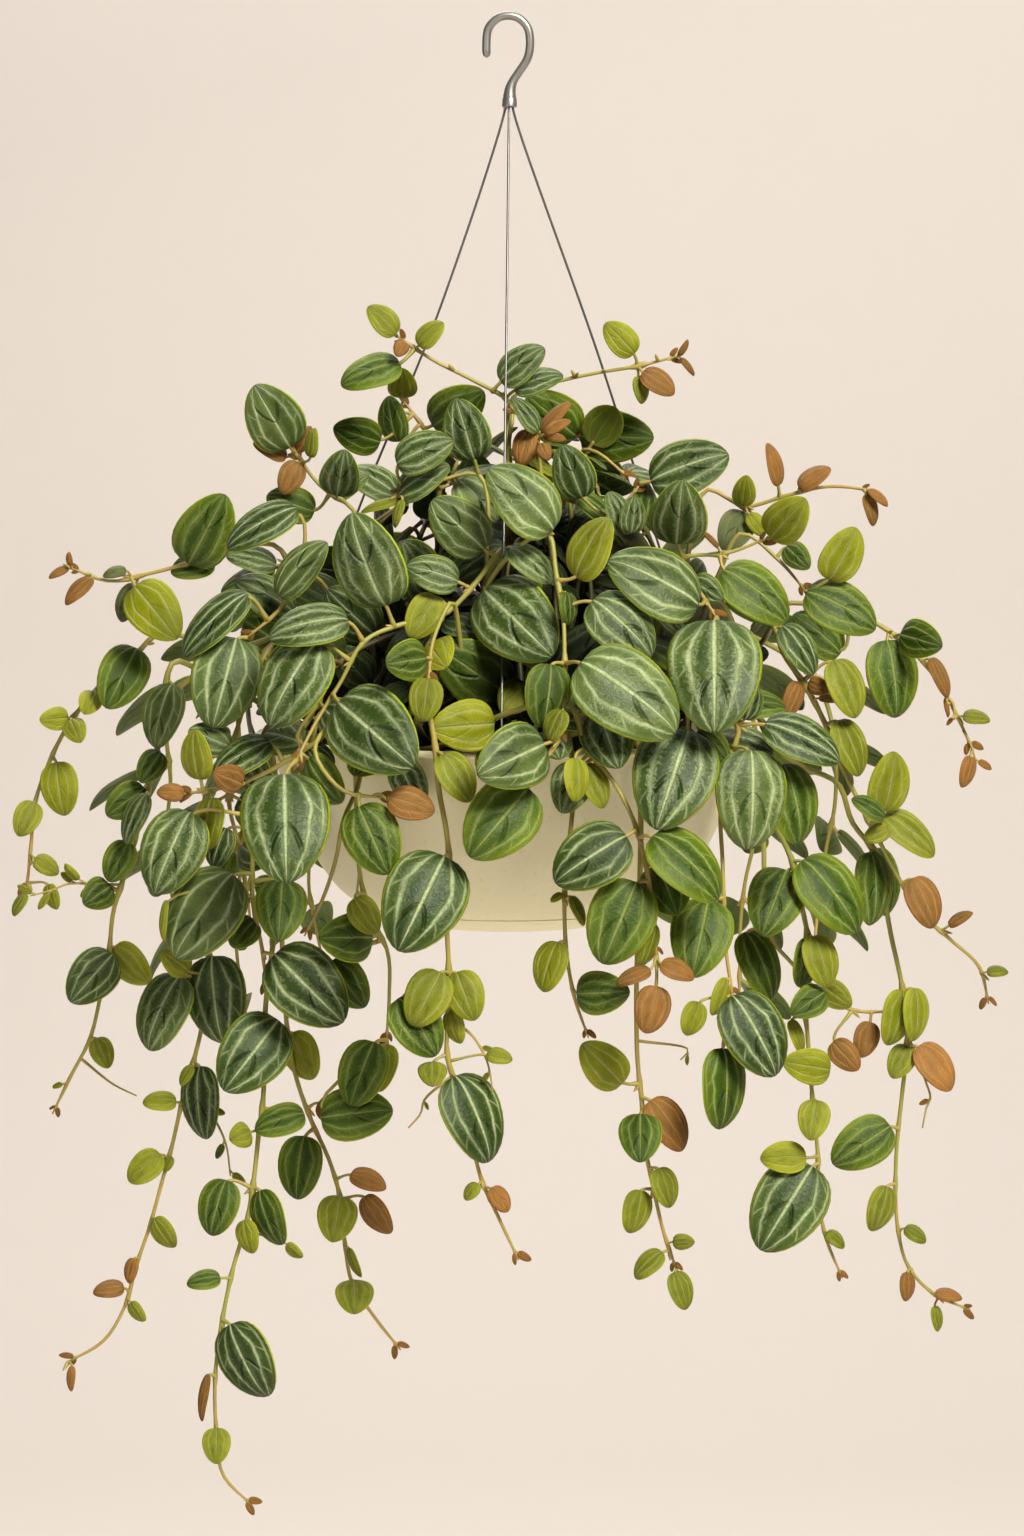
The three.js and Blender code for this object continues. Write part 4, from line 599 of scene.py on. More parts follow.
# Tone of a leaf, as the leaf material reads it
TONES = {"D": 0.0, "M": 0.3, "L": 0.6, "G": 0.8, "C": 1.0}


# Seeded random numbers, the same as the solids are placed with

def random_numbers(seed):
    """A function that gives the next value from none to one at each call."""
    state = seed & 0xFFFFFFFF

    def draw():
        nonlocal state
        state = (state + 0x6D2B79F5) & 0xFFFFFFFF
        mixed = ((state ^ (state >> 15)) * (1 | state)) & 0xFFFFFFFF
        mixed = ((mixed + (((mixed ^ (mixed >> 7)) * (61 | mixed)) & 0xFFFFFFFF)) & 0xFFFFFFFF) ^ mixed
        return ((mixed ^ (mixed >> 14)) & 0xFFFFFFFF) / 4294967296
    return draw


def drawn(draw, limits):
    """A random value between the first number and the sum of both."""
    return limits[0] + limits[1] * draw()


def swing(draw, width):
    """A random value about zero."""
    return (draw() - 0.5) * width


def unit(v):
    return v / max(float(np.linalg.norm(v)), TINY)


def place(across, down, depth):
    """A point read in the front view, carried to its depth in the room."""
    side = across - VIEW_CENTRE["across"]
    rise = VIEW_CENTRE["down"] - down
    scale = (depth - EYE[1]) / (-EYE[1] + VIEW_SLOPE * rise)
    return np.array([EYE[0] + scale * side, depth, EYE[2] + scale * (VIEW_RISE * rise - VIEW_DROP)])


def seen(point):
    """The same point as the front view shows it."""
    def scale_of(rise):
        return (point[1] - EYE[1]) / (-EYE[1] + VIEW_SLOPE * rise)
    rise = 0
    for _ in range(VIEW_ROUNDS):
        rise = ((point[2] - EYE[2]) / scale_of(rise) + VIEW_DROP) / VIEW_RISE
    return VIEW_CENTRE["across"] + (point[0] - EYE[0]) / scale_of(rise), VIEW_CENTRE["down"] - rise


# Smooth curve through points, evenly sampled

def row_dot(a, b):
    return (a * b).sum(axis=1)


def curve_points(points, shares):
    """Points of a smooth curve through the given ones, at the given shares of its spans."""
    extended = np.vstack([2 * points[0] - points[1], points, 2 * points[-1] - points[-2]])
    spot = (len(points) - 1) * np.asarray(shares, float)
    i = np.clip(np.floor(spot).astype(int), 0, len(points) - 2)
    weight = (spot - i)[:, None]
    p0, p1, p2, p3 = (extended[i + k] for k in range(4))
    d0 = row_dot(p1 - p0, p1 - p0)[:, None] ** 0.25
    d1 = row_dot(p2 - p1, p2 - p1)[:, None] ** 0.25
    d2 = row_dot(p3 - p2, p3 - p2)[:, None] ** 0.25
    start = ((p1 - p0) / d0 - (p2 - p0) / (d0 + d1) + (p2 - p1) / d1) * d1
    end = ((p2 - p1) / d1 - (p3 - p1) / (d1 + d2) + (p3 - p2) / d2) * d1
    return (p1 + start * weight + (-3 * p1 + 3 * p2 - 2 * start - end) * weight ** 2
            + (2 * p1 - 2 * p2 + start + end) * weight ** 3)


CURVE_DIVISIONS = 200


def sampled(points, step, least=4):
    """Evenly spaced points along the smooth curve, about a step apart."""
    points = np.asarray(points, float)
    shares = np.arange(CURVE_DIVISIONS + 1) / CURVE_DIVISIONS
    fine = curve_points(points, shares)
    lengths = np.concatenate([[0], np.cumsum(np.linalg.norm(np.diff(fine, axis=0), axis=1))])
    count = max(least, int(math.floor(lengths[-1] / step + 0.5)))
    return curve_points(points, np.interp(np.linspace(0, lengths[-1], count + 1), lengths, shares))


# Pot outline, for clearance

def near_pot(points, room):
    """True where a point lies within the given room of the pot's outline."""
    outline = sorted((z, radius) for radius, z in POT_OUTER)
    heights = [z for z, _ in outline]
    radius = np.interp(points[:, 2], heights, [radius for _, radius in outline])
    radius = np.where(points[:, 2] > heights[-1], POT_OUTER[0][0], radius)
    radius = np.where(points[:, 2] < heights[0], POT_OUTER[0][0], radius)
    flange = points[:, 2] > FLANGE["top"] - FLANGE["thickness"] - FLANGE_ROOM
    radius = np.where(flange, FLANGE["radius"], radius)
    beside = (points[:, 2] <= FLANGE["top"] + room) & (points[:, 2] >= POT_OUTER[-1][1] - room)
    return beside & (np.hypot(points[:, 0], points[:, 1]) < radius + room)


# Leaves in the room

def leaf_outline(u):
    return u ** LEAF_OUTLINE["base"] * (1 - u) ** LEAF_OUTLINE["tip"]


LEAF_WIDEST = LEAF_OUTLINE["base"] / (LEAF_OUTLINE["base"] + LEAF_OUTLINE["tip"])


def half_width(u):
    """Half width of a blade at a share of its length, as a share of the greatest."""
    return leaf_outline(np.clip(u, 0, 1)) / leaf_outline(LEAF_WIDEST)


class Leaf:
    """A blade's own axes: base, axis, side and normal, with its length, width and crest."""

    def __init__(self, base, tip, facing, width):
        self.base = base
        self.length = float(np.linalg.norm(tip - base))
        self.axis = unit(tip - base)
        self.normal = unit(facing - self.axis * float(np.dot(facing, self.axis)))
        self.side = np.cross(self.axis, self.normal)
        self.width = width
        self.crest = max(LEAF_CREST_LEAST, LEAF_CREST * width)

    def points(self, u, across, lift):
        u, across, lift = np.broadcast_arrays(u, across, lift)
        bow = LEAF_BOW * self.length * 4 * u * (1 - u)
        return (self.base + self.axis * (u * self.length)[..., None]
                + self.side * (across * self.width / 2)[..., None]
                + self.normal * (bow + lift)[..., None])


def seen_leaf(entry, root_depth, own_shift, shift):
    """The leaf that the front view shows, tilted towards the eye and rolled to its seen width."""
    x0, d0, x1, d1, seen_width = entry[:5]
    seen_length = math.hypot(x1 - x0, d1 - d0)
    length = min(max(seen_length, seen_width / LEAF_RATIO), seen_length * FULLEST_TILT)
    if seen_width >= LEAF_RATIO * seen_length:
        width = seen_width
    else:
        width = min(LEAF_RATIO * length, seen_width * FULLEST_ROLL)
    tilt = math.sqrt(max(length ** 2 - seen_length ** 2, 0))
    depth = root_depth - LEAF_FORWARD + (own_shift + shift)
    base = place(x0, d0, depth)
    tip = place(x1, d1, depth - tilt - TIP_FORWARD * seen_length)
    towards = unit(EYE - base)
    axis = unit(tip - base)
    flat = unit(towards - axis * float(np.dot(towards, axis)))
    side = np.cross(axis, flat)
    roll = math.acos(min(seen_width / width, 1))
    outward = side[0] * np.sign(base[0]) * min(abs(base[0]) / ROLL_FULL_AT, 1) + side[2] * ROLL_UPWARD
    facing = flat * math.cos(roll) + side * math.sin(roll) * (1 if outward >= 0 else -1)
    return Leaf(base, tip, facing, width)


# Clearance between leaves, judged on a net of points over each blade

NET_U = [0.02, 0.2, 0.4, 0.6, 0.8, 0.98]
NET_V = [-0.97, -0.5, 0, 0.5, 0.97]
NET_CREST = 0.5


def net_edges():
    edges = []
    for i in range(len(NET_U)):
        for j in range(len(NET_V)):
            if j + 1 < len(NET_V):
                edges.append((i * len(NET_V) + j, i * len(NET_V) + j + 1))
            if i + 1 < len(NET_U):
                edges.append((i * len(NET_V) + j, (i + 1) * len(NET_V) + j))
    return np.array(edges)


NET_EDGES = net_edges()


def leaf_net(leaf):
    u, v = np.meshgrid(NET_U, NET_V, indexing="ij")
    lift = NET_CREST * leaf.crest * (1 - np.abs(v))
    return leaf.points(u, v * half_width(u), lift).reshape(-1, 3)


def over(leaf, points):
    """Share along the leaf, share across it and height over its surface of each point."""
    offset = points - leaf.base
    u = offset @ leaf.axis / leaf.length
    v = offset @ leaf.side / (leaf.width / 2)
    half = np.maximum(half_width(u), LEAST_HALF_WIDTH)
    surface = (LEAF_BOW * leaf.length * 4 * u * (1 - u)
               + NET_CREST * leaf.crest * np.maximum(1 - np.abs(v) / half, 0))
    return u, v, offset @ leaf.normal - surface


def on_blade(leaf, u, v, margin):
    along = margin / leaf.length
    half = half_width(np.clip(u, NET_U[0], NET_U[-1]))
    return (u >= -along) & (u <= 1 + along) & (np.abs(v) < half + margin / (leaf.width / 2))


def meets(leaf, points, edges, room):
    """True where a point lies within the room of the blade, or an edge goes through it."""
    u, v, n = over(leaf, points)
    if np.any((np.abs(n) < room) & on_blade(leaf, u, v, TOUCH_MARGIN)):
        return True
    a, b = edges[:, 0], edges[:, 1]
    crossing = n[a] * n[b] < 0
    if not crossing.any():
        return False
    a, b = a[crossing], b[crossing]
    s = n[a] / (n[a] - n[b])
    through_u = u[a] + s * (u[b] - u[a])
    through_v = v[a] + s * (v[b] - v[a])
    return bool(on_blade(leaf, through_u, through_v, CROSSING_MARGIN).any())


class Settled:
    """The leaves that already have their place, with their middles and lengths at hand."""

    def __init__(self):
        self.items = []
        self.middles = np.zeros((0, 3))
        self.lengths = np.zeros(0)

    def add(self, vine, root, tone, leaf):
        middle = leaf.points(0.5, 0, 0)
        self.items.append({"vine": vine, "root": root, "tone": tone, "leaf": leaf, "net": leaf_net(leaf)})
        self.middles = np.vstack([self.middles, middle])
        self.lengths = np.append(self.lengths, leaf.length)

    def near(self, leaf):
        """The settled leaves close enough to a new one to touch it."""
        gaps = np.linalg.norm(self.middles - leaf.points(0.5, 0, 0), axis=1)
        close = gaps <= (self.lengths + leaf.length) * NEAR_LEAVES["share"] + NEAR_LEAVES["room"]
        return [self.items[i] for i in np.flatnonzero(close)]


def leaf_is_clear(leaf, vine, settled, stems):
    """True where the leaf keeps clear of the pot, the settled leaves, the wires and the other stems."""
    net = leaf_net(leaf)
    if near_pot(net, POT_ROOM).any():
        return False
    for other in settled.near(leaf):
        if meets(other["leaf"], net, NET_EDGES, LEAF_ROOM):
            return False
        if meets(leaf, other["net"], NET_EDGES, LEAF_ROOM):
            return False
    middle = leaf.points(0.5, 0, 0)
    for stem in stems:
        if stem["name"] == vine:
            continue
        gap = np.linalg.norm(stem["points"] - middle, axis=1).min()
        if gap < leaf.length * NEAR_STEM_SHARE + STEM_STEP:
            if meets(leaf, stem["points"], stem["edges"], stem["radius"] + STEM_ROOM):
                return False
    return True


# Stems

def turned(radius, z, direction):
    """A point at a distance from the pot's axis, in a direction around it."""
    return np.array([radius * math.cos(direction), radius * math.sin(direction), z])


def root_points(root_radius, direction):
    """The points in the soil and just above it that every stem starts with."""
    return [turned(root_radius, level, direction) for level in ROOT_LEVELS]


def stem_route(vine, root_turn, root_radius, shift):
    """Out of the soil, through the crown or over the rim, and along the path of the front view."""
    count = len(vine["path"])
    spots = []
    for i, (across, down) in enumerate(vine["path"]):
        share = i / (count - 1)
        depth = vine["depth"][0] + shift + share * (vine["depth"][1] - vine["depth"][0])
        spots.append(place(across, down, depth))
    first = spots[0]
    angle = math.atan2(first[1], first[0])
    reach = math.hypot(first[0], first[1])
    start = root_points(root_radius, angle + root_turn)
    if first[2] > CROWN_LEVEL:
        for outwards, upwards, turn in CROWN_RISE:
            start.append(turned(root_radius + (reach - root_radius) * outwards,
                                SOIL_TOP + upwards * (first[2] - SOIL_TOP), angle + root_turn * turn))
    else:
        for radius, z, turn in RIM_CROSSING:
            if z > first[2] + RIM_CROSSING_ROOM:
                start.append(turned(radius, z, angle + root_turn * turn))
    return np.array(start + spots)


def stem_record(name, route, radius=STEM_RADIUS, step=STEM_STEP):
    points = sampled(route, step)
    edges = np.array([(i, i + 1) for i in range(len(points) - 1)])
    return {"name": name, "points": points, "radius": radius, "edges": edges}


def least_gap(points, line):
    """The least distance from the points to the line."""
    a, b = line[:-1], line[1:]
    along = b - a
    square = np.maximum((along * along).sum(1), TINY)
    offset = points[:, None, :] - a[None, :, :]
    t = np.clip((offset * along).sum(2) / square, 0, 1)
    nearest = a + t[..., None] * along
    return float(np.min(np.linalg.norm(points[:, None, :] - nearest, axis=2)))


def stem_is_clear(stem, stems):
    """True where the stem keeps clear of the pot's rim, of the other roots, and of wires and stems."""
    dense = sampled(stem["points"], STEM_CHECK_STEP)
    level = (dense[:, 2] > RIM_ZONE["bottom"]) & (dense[:, 2] < RIM_ZONE["top"])
    outside = np.hypot(dense[:, 0], dense[:, 1]) > RIM_ZONE["radius"]
    if (level & outside & near_pot(dense, STEM_RADIUS + RIM_ZONE["room"])).any():
        return False
    roots = [other["points"][0] for other in stems if other["radius"] != WIRE_RADIUS]
    if any(np.linalg.norm(root - stem["points"][0]) <= ROOT_SPACING for root in roots):
        return False
    return all(min(least_gap(dense, other["points"]), least_gap(other["points"], dense)) > STEM_GAP
               for other in stems)


# Turns and radii of the root and depth shifts that are tried in turn for each stem
ROOT_TURNS = [0, 0.12, -0.12, 0.26, -0.26, 0.42, -0.42, 0.6, -0.6, 0.8, -0.8, 1, -1, 1.3, -1.3]
ROOT_RADII = [78, 62, 92, 46, 32, 101, 70, 54, 85, 38]
STEM_SHIFTS = [0, -4, 4, -8, 8]


def settle_stem(name, route_for, stems):
    """The first route that is clear of the rest."""
    for shift in STEM_SHIFTS:
        for root_radius in ROOT_RADII:
            for root_turn in ROOT_TURNS:
                stem = stem_record(name, route_for(root_turn, root_radius, shift))
                if stem_is_clear(stem, stems):
                    return stem
    raise RuntimeError("no clear route for " + name)


def rear_route(vine, root_turn, root_radius, shift):
    """Out of the soil, over an arch and, where the vine is long enough, down outside the pot."""
    angle = math.radians(vine["angle"])
    reach, arch, end = vine["reach"], vine["arch"], vine["end"]
    rise = REAR_RISE

    def at(radius, z, turn=0.0):
        return turned(radius, z, angle + turn)
    middle = (root_radius + reach) * rise["middle"]
    start = root_points(root_radius, angle + root_turn) + [
        at(middle, arch - rise["below_arch"], root_turn * rise["middle_turn"]),
        at(reach * rise["arch"], arch, root_turn * rise["arch_turn"]),
        at(reach * rise["shoulder"] + shift, arch - rise["below_shoulder"]),
    ]
    if end > REAR_HANGING_LEVEL:
        return np.array(start + [at(reach + shift, end)])
    drop = end - REAR_HANGING_LEVEL
    hanging = [
        at(reach + past + shift, REAR_HANGING_LEVEL + drop * share, turn) for past, share, turn in REAR_HANG
    ]
    return np.array(start + [at(reach + shift, REAR_OVER_RIM["z"], REAR_OVER_RIM["turn"]), *hanging,
                             at(reach + REAR_END["reach"] + shift, end, REAR_END["turn"])])


def rear_leaves(stem, draw):
    """What rear_leaf needs for each leaf of a rear stem, but for the shift."""
    leaves = []
    points = stem["points"]
    total = float(np.linalg.norm(np.diff(points, axis=0), axis=1).sum())
    for k in range(int(math.floor((total - REAR_FIRST_PAIR) / REAR_PAIR_STEP)) + 1):
        share = (REAR_FIRST_PAIR + k * REAR_PAIR_STEP) / total
        spot = share * (len(points) - 1)
        i = min(int(math.floor(spot)), len(points) - 2)
        root = points[i] + (points[i + 1] - points[i]) * (spot - i)
        along = unit(points[i + 1] - points[i])
        out = unit(np.array([root[0], root[1], 0]))
        sideways = unit(np.cross(along, out))
        length = REAR_LEAF_LENGTH[0] + (REAR_LEAF_LENGTH[1] - REAR_LEAF_LENGTH[0]) * share
        length *= drawn(draw, REAR_SIZE)
        twist = (k % 2) * REAR_TWIST["step"] + REAR_TWIST["own"] * draw()
        for hand in (1, -1):
            spread = sideways * hand * math.cos(twist * REAR_TWIST["around"])
            outward = REAR_OUTWARD["twisted"] * abs(math.sin(twist))
            outward *= 1 if hand > 0 else REAR_OUTWARD["second"]
            spread = spread + out * (REAR_OUTWARD["least"] + outward)
            spread = spread + along * drawn(draw, REAR_ALONG)
            spread[2] -= REAR_SAG
            facing = out + np.array([0, 0, drawn(draw, REAR_UPWARD)])
            leaves.append((root, unit(spread), facing, out, length, length * drawn(draw, REAR_RATIO)))
    return leaves


def wire_points(route):
    """The wire from its socket down through the flange, and its curled end."""
    x, y = route[0][:2]
    end_x, end_y, end_z = route[-1]
    reach = math.hypot(end_x, end_y)

    def out(amount, z):
        return [end_x * (1 + amount / reach), end_y * (1 + amount / reach), z]
    low = end_z - WIRE_END_DROP
    end = [out(WIRE_CURL * share, low + rise) for share, rise in WIRE_END]
    return np.array([[x, y, WIRE_SOCKET_TOP], *route, *end], float)


def view_gap(point, across, down):
    """How far a point lies from a spot in the front view."""
    x, d = seen(point)
    return math.hypot(x - across, d - down)


def nearest_on_stem(points, across, down):
    """The point of a stem that lies closest to a spot in the front view."""
    spots = [points[i] + (points[i + 1] - points[i]) * (step / STEM_PARTS)
             for i in range(2, len(points) - 1) for step in range(STEM_PARTS + 1)]
    return min(spots, key=lambda spot: view_gap(spot, across, down))


def rear_leaf(root, spread, facing, out, length, width, shift):
    base = root + spread * REAR_PETIOLE + out * abs(shift) * SHIFT_OUTWARD["base"]
    tilted = unit(spread + out * shift * SHIFT_OUTWARD["tilt"])
    return Leaf(base, base + tilted * length, facing, width)


def settle_leaves(vines, stems):
    """Places the largest leaves first, each at the first depth shift where it is clear of the rest."""
    draw = random_numbers(SEEDS["leaves"])
    wanted = []
    for stem in vines:
        name = stem["name"]
        if name in VINES:
            for entry in VINES[name]["leaves"]:
                root = nearest_on_stem(stem["points"], entry[0], entry[1])
                own_shift = entry[6] if len(entry) > 6 else 0
                size = math.hypot(entry[2] - entry[0], entry[3] - entry[1]) * entry[4]
                wanted.append((name, root, size, entry[5], partial(seen_leaf, entry, root[1], own_shift)))
        else:
            for parts in rear_leaves(stem, draw):
                size = parts[4] * parts[5] * REAR_LEAF_AREA
                wanted.append((name, parts[0], size, "M", partial(rear_leaf, *parts)))
    wanted.sort(key=lambda item: -item[2])
    settled = Settled()
    for name, root, _, tone, leaf_at in wanted:
        for shift in DEPTH_SHIFTS:
            leaf = leaf_at(shift)
            if leaf_is_clear(leaf, name, settled, stems):
                settled.add(name, root, tone, leaf)
                break
    return settled


def settle_plant():
    """Routes of the wires and stems, the vines among them, and every leaf in its place."""
    stems = [stem_record(name, wire_points(route), WIRE_RADIUS, WIRE_STEP) for name, route in WIRES.items()]
    vines = []
    for route_of, plans in ((stem_route, VINES), (rear_route, REAR_VINES)):
        for name, vine in plans.items():
            stem = settle_stem(name, partial(route_of, vine), stems)
            stems.append(stem)
            vines.append(stem)
    return stems, vines, settle_leaves(vines, stems)


# Leafy stems that fill the mound behind the measured ones, seeded

# Wanted stems: turn around the pot, reach from its axis, heights of the arch and of the end
CROWN_FILLERS = {"count": 14, "arch": (-204, -34), "reach": (8, 62), "drop": 20}
MOUND_FILLERS = {"count": 34, "turn": 60, "reach": (58, 70), "top": -218, "fall": 92, "radius": 140,
                 "drop": 24, "uneven": 24}
RIM_FILLERS = {"count": 16, "from": 192, "span": 156,
               "reach": (131, 5), "arch": (-292, -30), "end": (-352, -20)}
HANGING_FILLERS = {"count": 12, "turn": 20, "reach": (137, 14), "arch": (-285, -25), "end": (-385, -60)}
GOLDEN_TURN = 137.508
FILLER_TRIES = {"count": 24, "turn": 2.4, "root": (22, 82), "shift": 16}
FILLER_CHECK_STEP = 7
FILLER_PAIRS = {"start": 34, "end_room": 3, "step": 23, "uneven": (0.85, 0.3), "turn": 0.5}
FILLER_LENGTH = [42, 27]
FILLER_LEAF = {"out_rise": 55.0, "around": 0.7, "ahead": (0.3, 0.4), "sag": 0.15, "loose": 0.5,
               "upward": 0.4, "size": (0.85, 0.3), "ratio": (0.66, 0.12)}
FILLER_PETIOLE = 5.0
FILLER_TILT = 0.05
# Sizes and shifts that are tried in turn for each leaf, and the tone up to each random share
FILLER_SIZES = [1.0, 0.8, 0.62]
FILLER_SHIFTS = [0, -4, 4, -9, 9, -15, 15]
FILLER_TONES = [(0.5, "D"), (0.92, "M"), (1.01, "L")]


def crosses_a_leaf(stem, settled):
    """True where the stem comes too near to a settled leaf."""
    dense = sampled(stem["points"], FILLER_CHECK_STEP)
    edges = np.array([(i, i + 1) for i in range(len(dense) - 1)])
    return any(meets(item["leaf"], dense, edges, stem["radius"] + STEM_ROOM) for item in settled.items)


def filler_stem(name, vine, draw, stems, settled):
    """A clear route for a filler stem near its wanted one, or none."""
    for _ in range(FILLER_TRIES["count"]):
        turn = swing(draw, FILLER_TRIES["turn"])
        root = drawn(draw, FILLER_TRIES["root"])
        shift = swing(draw, FILLER_TRIES["shift"])
        stem = stem_record(name, rear_route(vine, turn, root, shift))
        if stem_is_clear(stem, stems) and not crosses_a_leaf(stem, settled):
            return stem
    return None


def filler_leaf_parts(stem, draw):
    """Root, direction, facing, outward direction, length, ratio and tone's share of each wanted leaf."""
    points = stem["points"]
    pieces = np.linalg.norm(np.diff(points, axis=0), axis=1)
    reached = np.concatenate([[0], np.cumsum(pieces)])
    parts = []
    spot = FILLER_PAIRS["start"]
    turn = RANDOM_TURN / 2 * draw()
    while spot < reached[-1] - FILLER_PAIRS["end_room"]:
        i = min(int(np.searchsorted(reached, spot, side="right")) - 1, len(points) - 2)
        root = points[i] + (points[i + 1] - points[i]) * ((spot - reached[i]) / pieces[i])
        along = unit(points[i + 1] - points[i])
        out = unit(np.array([root[0], root[1], FILLER_LEAF["out_rise"]]))
        first = unit(np.cross(along, out))
        second = np.cross(along, first)
        share = spot / reached[-1]
        for hand in (0, math.pi):
            around = turn + hand + swing(draw, FILLER_LEAF["around"])
            beside = first * math.cos(around) + second * math.sin(around)
            ahead = along * drawn(draw, FILLER_LEAF["ahead"])
            spread = unit(beside + ahead + np.array([0, 0, -FILLER_LEAF["sag"]]))
            loose = np.array([draw() - 0.5, draw() - 0.5, FILLER_LEAF["upward"]])
            facing = unit(out + FILLER_LEAF["loose"] * loose)
            length = FILLER_LENGTH[0] + (FILLER_LENGTH[1] - FILLER_LENGTH[0]) * share
            length *= drawn(draw, FILLER_LEAF["size"])
            parts.append((root, spread, facing, out, length, drawn(draw, FILLER_LEAF["ratio"]), draw()))
        turn += math.pi / 2 + swing(draw, FILLER_PAIRS["turn"])
        spot += FILLER_PAIRS["step"] * drawn(draw, FILLER_PAIRS["uneven"])
    return parts


def filler_leaf(parts, size, shift):
    root, spread, facing, out, length, ratio, _ = parts
    length = length * size
    base = root + spread * FILLER_PETIOLE
    tilted = unit(spread + out * shift * FILLER_TILT)
    return Leaf(base, base + tilted * length, facing, length * ratio)


def settle_filler_leaf(stem, parts, settled, stems):
    """Keeps the leaf at the first size and shift where it is clear, or leaves it out."""
    for size in FILLER_SIZES:
        for shift in FILLER_SHIFTS:
            leaf = filler_leaf(parts, size, shift)
            if leaf_is_clear(leaf, stem["name"], settled, stems):
                tone = next(tone for share, tone in FILLER_TONES if parts[6] < share)
                settled.add(stem["name"], parts[0], tone, leaf)
                return


def filler_plans(draw):
    """Angle, reach, arch height and end height of each wanted filler stem."""
    plans = []

    def plan(angle, reach, arch, end):
        plans.append({"angle": angle, "reach": reach, "arch": arch, "end": end})

    def plan_drawn(angle, limits):
        plan(angle, *[drawn(draw, limits[part]) for part in ("reach", "arch", "end")])
    for k in range(CROWN_FILLERS["count"]):
        arch = drawn(draw, CROWN_FILLERS["arch"])
        plan(k * GOLDEN_TURN, drawn(draw, CROWN_FILLERS["reach"]), arch, arch - CROWN_FILLERS["drop"])
    for k in range(MOUND_FILLERS["count"]):
        reach = drawn(draw, MOUND_FILLERS["reach"])
        fall = MOUND_FILLERS["fall"] * (reach / MOUND_FILLERS["radius"]) ** 2
        arch = MOUND_FILLERS["top"] - fall - MOUND_FILLERS["uneven"] * draw()
        end = arch - MOUND_FILLERS["drop"] - MOUND_FILLERS["uneven"] * draw()
        plan(k * GOLDEN_TURN + MOUND_FILLERS["turn"], reach, arch, end)
    for k in range(RIM_FILLERS["count"]):
        plan_drawn(RIM_FILLERS["from"] + RIM_FILLERS["span"] * (k + 0.5) / RIM_FILLERS["count"], RIM_FILLERS)
    for k in range(HANGING_FILLERS["count"]):
        plan_drawn(k * GOLDEN_TURN + HANGING_FILLERS["turn"], HANGING_FILLERS)
    return plans


def settle_fillers(stems, settled):
    """Places the filler stems, then their leaves."""
    draw = random_numbers(SEEDS["fillers"])
    fillers = []
    for plan in filler_plans(draw):
        name = "filler_%02d" % (len(fillers) + 1)
        stem = filler_stem(name, plan, draw, stems, settled)
        if stem is not None:
            stems.append(stem)
            fillers.append(stem)
    for stem in fillers:
        for parts in filler_leaf_parts(stem, draw):
            settle_filler_leaf(stem, parts, settled, stems)
    return fillers


# Fine surface, gathered piece by piece

def new_object(name, data):
    made = bpy.data.objects.new(name, data)
    bpy.context.scene.collection.objects.link(made)
    return made


class Shape:
    """Points and faces of one piece, with the values that its materials read."""

    def __init__(self):
        self.points = []
        self.blade = []
        self.under = []
        self.faces = []
        self.finish = []
        self.count = 0

    def add(self, points, faces, finish=0, blade=None, under=None):
        points = np.asarray(points, float)
        amount = len(points)
        self.points.append(points)
        self.blade.append(np.zeros((amount, 4)) if blade is None else np.asarray(blade, float))
        self.under.append(np.zeros(amount) if under is None else np.asarray(under, float))
        self.faces.extend([tuple(int(i) + self.count for i in face) for face in faces])
        self.finish.extend([finish] * len(faces))
        self.count += amount

    def build(self, name, materials):
        mesh = bpy.data.meshes.new(name)
        points = np.concatenate(self.points) * MM
        mesh.from_pydata(points.tolist(), [], self.faces)
        blade = mesh.attributes.new("blade", "FLOAT_COLOR", "POINT")
        blade.data.foreach_set("color", np.concatenate(self.blade).astype(np.float32).ravel())
        under = mesh.attributes.new("under", "FLOAT", "POINT")
        under.data.foreach_set("value", np.concatenate(self.under).astype(np.float32))
        for material in materials:
            mesh.materials.append(material)
        mesh.polygons.foreach_set("material_index", np.array(self.finish, dtype=np.int32))
        mesh.polygons.foreach_set("use_smooth", np.ones(len(self.faces), dtype=bool))
        mesh.validate()
        mesh.update()
        piece = new_object(name, mesh)
        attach(piece, "root")
        return piece


def ring_turns(sides):
    return np.arange(sides) / sides * 2 * math.pi


def ring(radius, z, sides):
    """Points of a level circle about the axis."""
    return [[radius * math.cos(turn), radius * math.sin(turn), z] for turn in ring_turns(sides)]


def ring_faces(rings, sides):
    """Faces of a closed form of equal rings, followed by the middle points of its first and last end."""
    first_end, last_end = rings * sides, rings * sides + 1
    faces = []
    for j in range(sides):
        k = (j + 1) % sides
        faces.append((first_end, k, j))
        faces.append((last_end, (rings - 1) * sides + j, (rings - 1) * sides + k))
        for i in range(rings - 1):
            faces.append((i * sides + j, i * sides + k, (i + 1) * sides + k, (i + 1) * sides + j))
    return faces


def lathe(profile, sides):
    """Points and faces of a closed turned form, from a profile that starts and ends on the axis."""
    rings = np.array([ring(radius, z, sides) for radius, z in profile[1:-1]])
    ends = [[0, 0, profile[0][1]], [0, 0, profile[-1][1]]]
    return np.vstack([rings.reshape(-1, 3), ends]), ring_faces(len(rings), sides)


UPWARDS = np.array([0.0, 0.0, 1.0])
DEPTHWISE = np.array([0.0, 1.0, 0.0])
# A line that starts steeper than this has its rings set out from the second direction
STEEP = 0.8
# Height of a tube's pointed ends over its radius
TUBE_END = 0.6


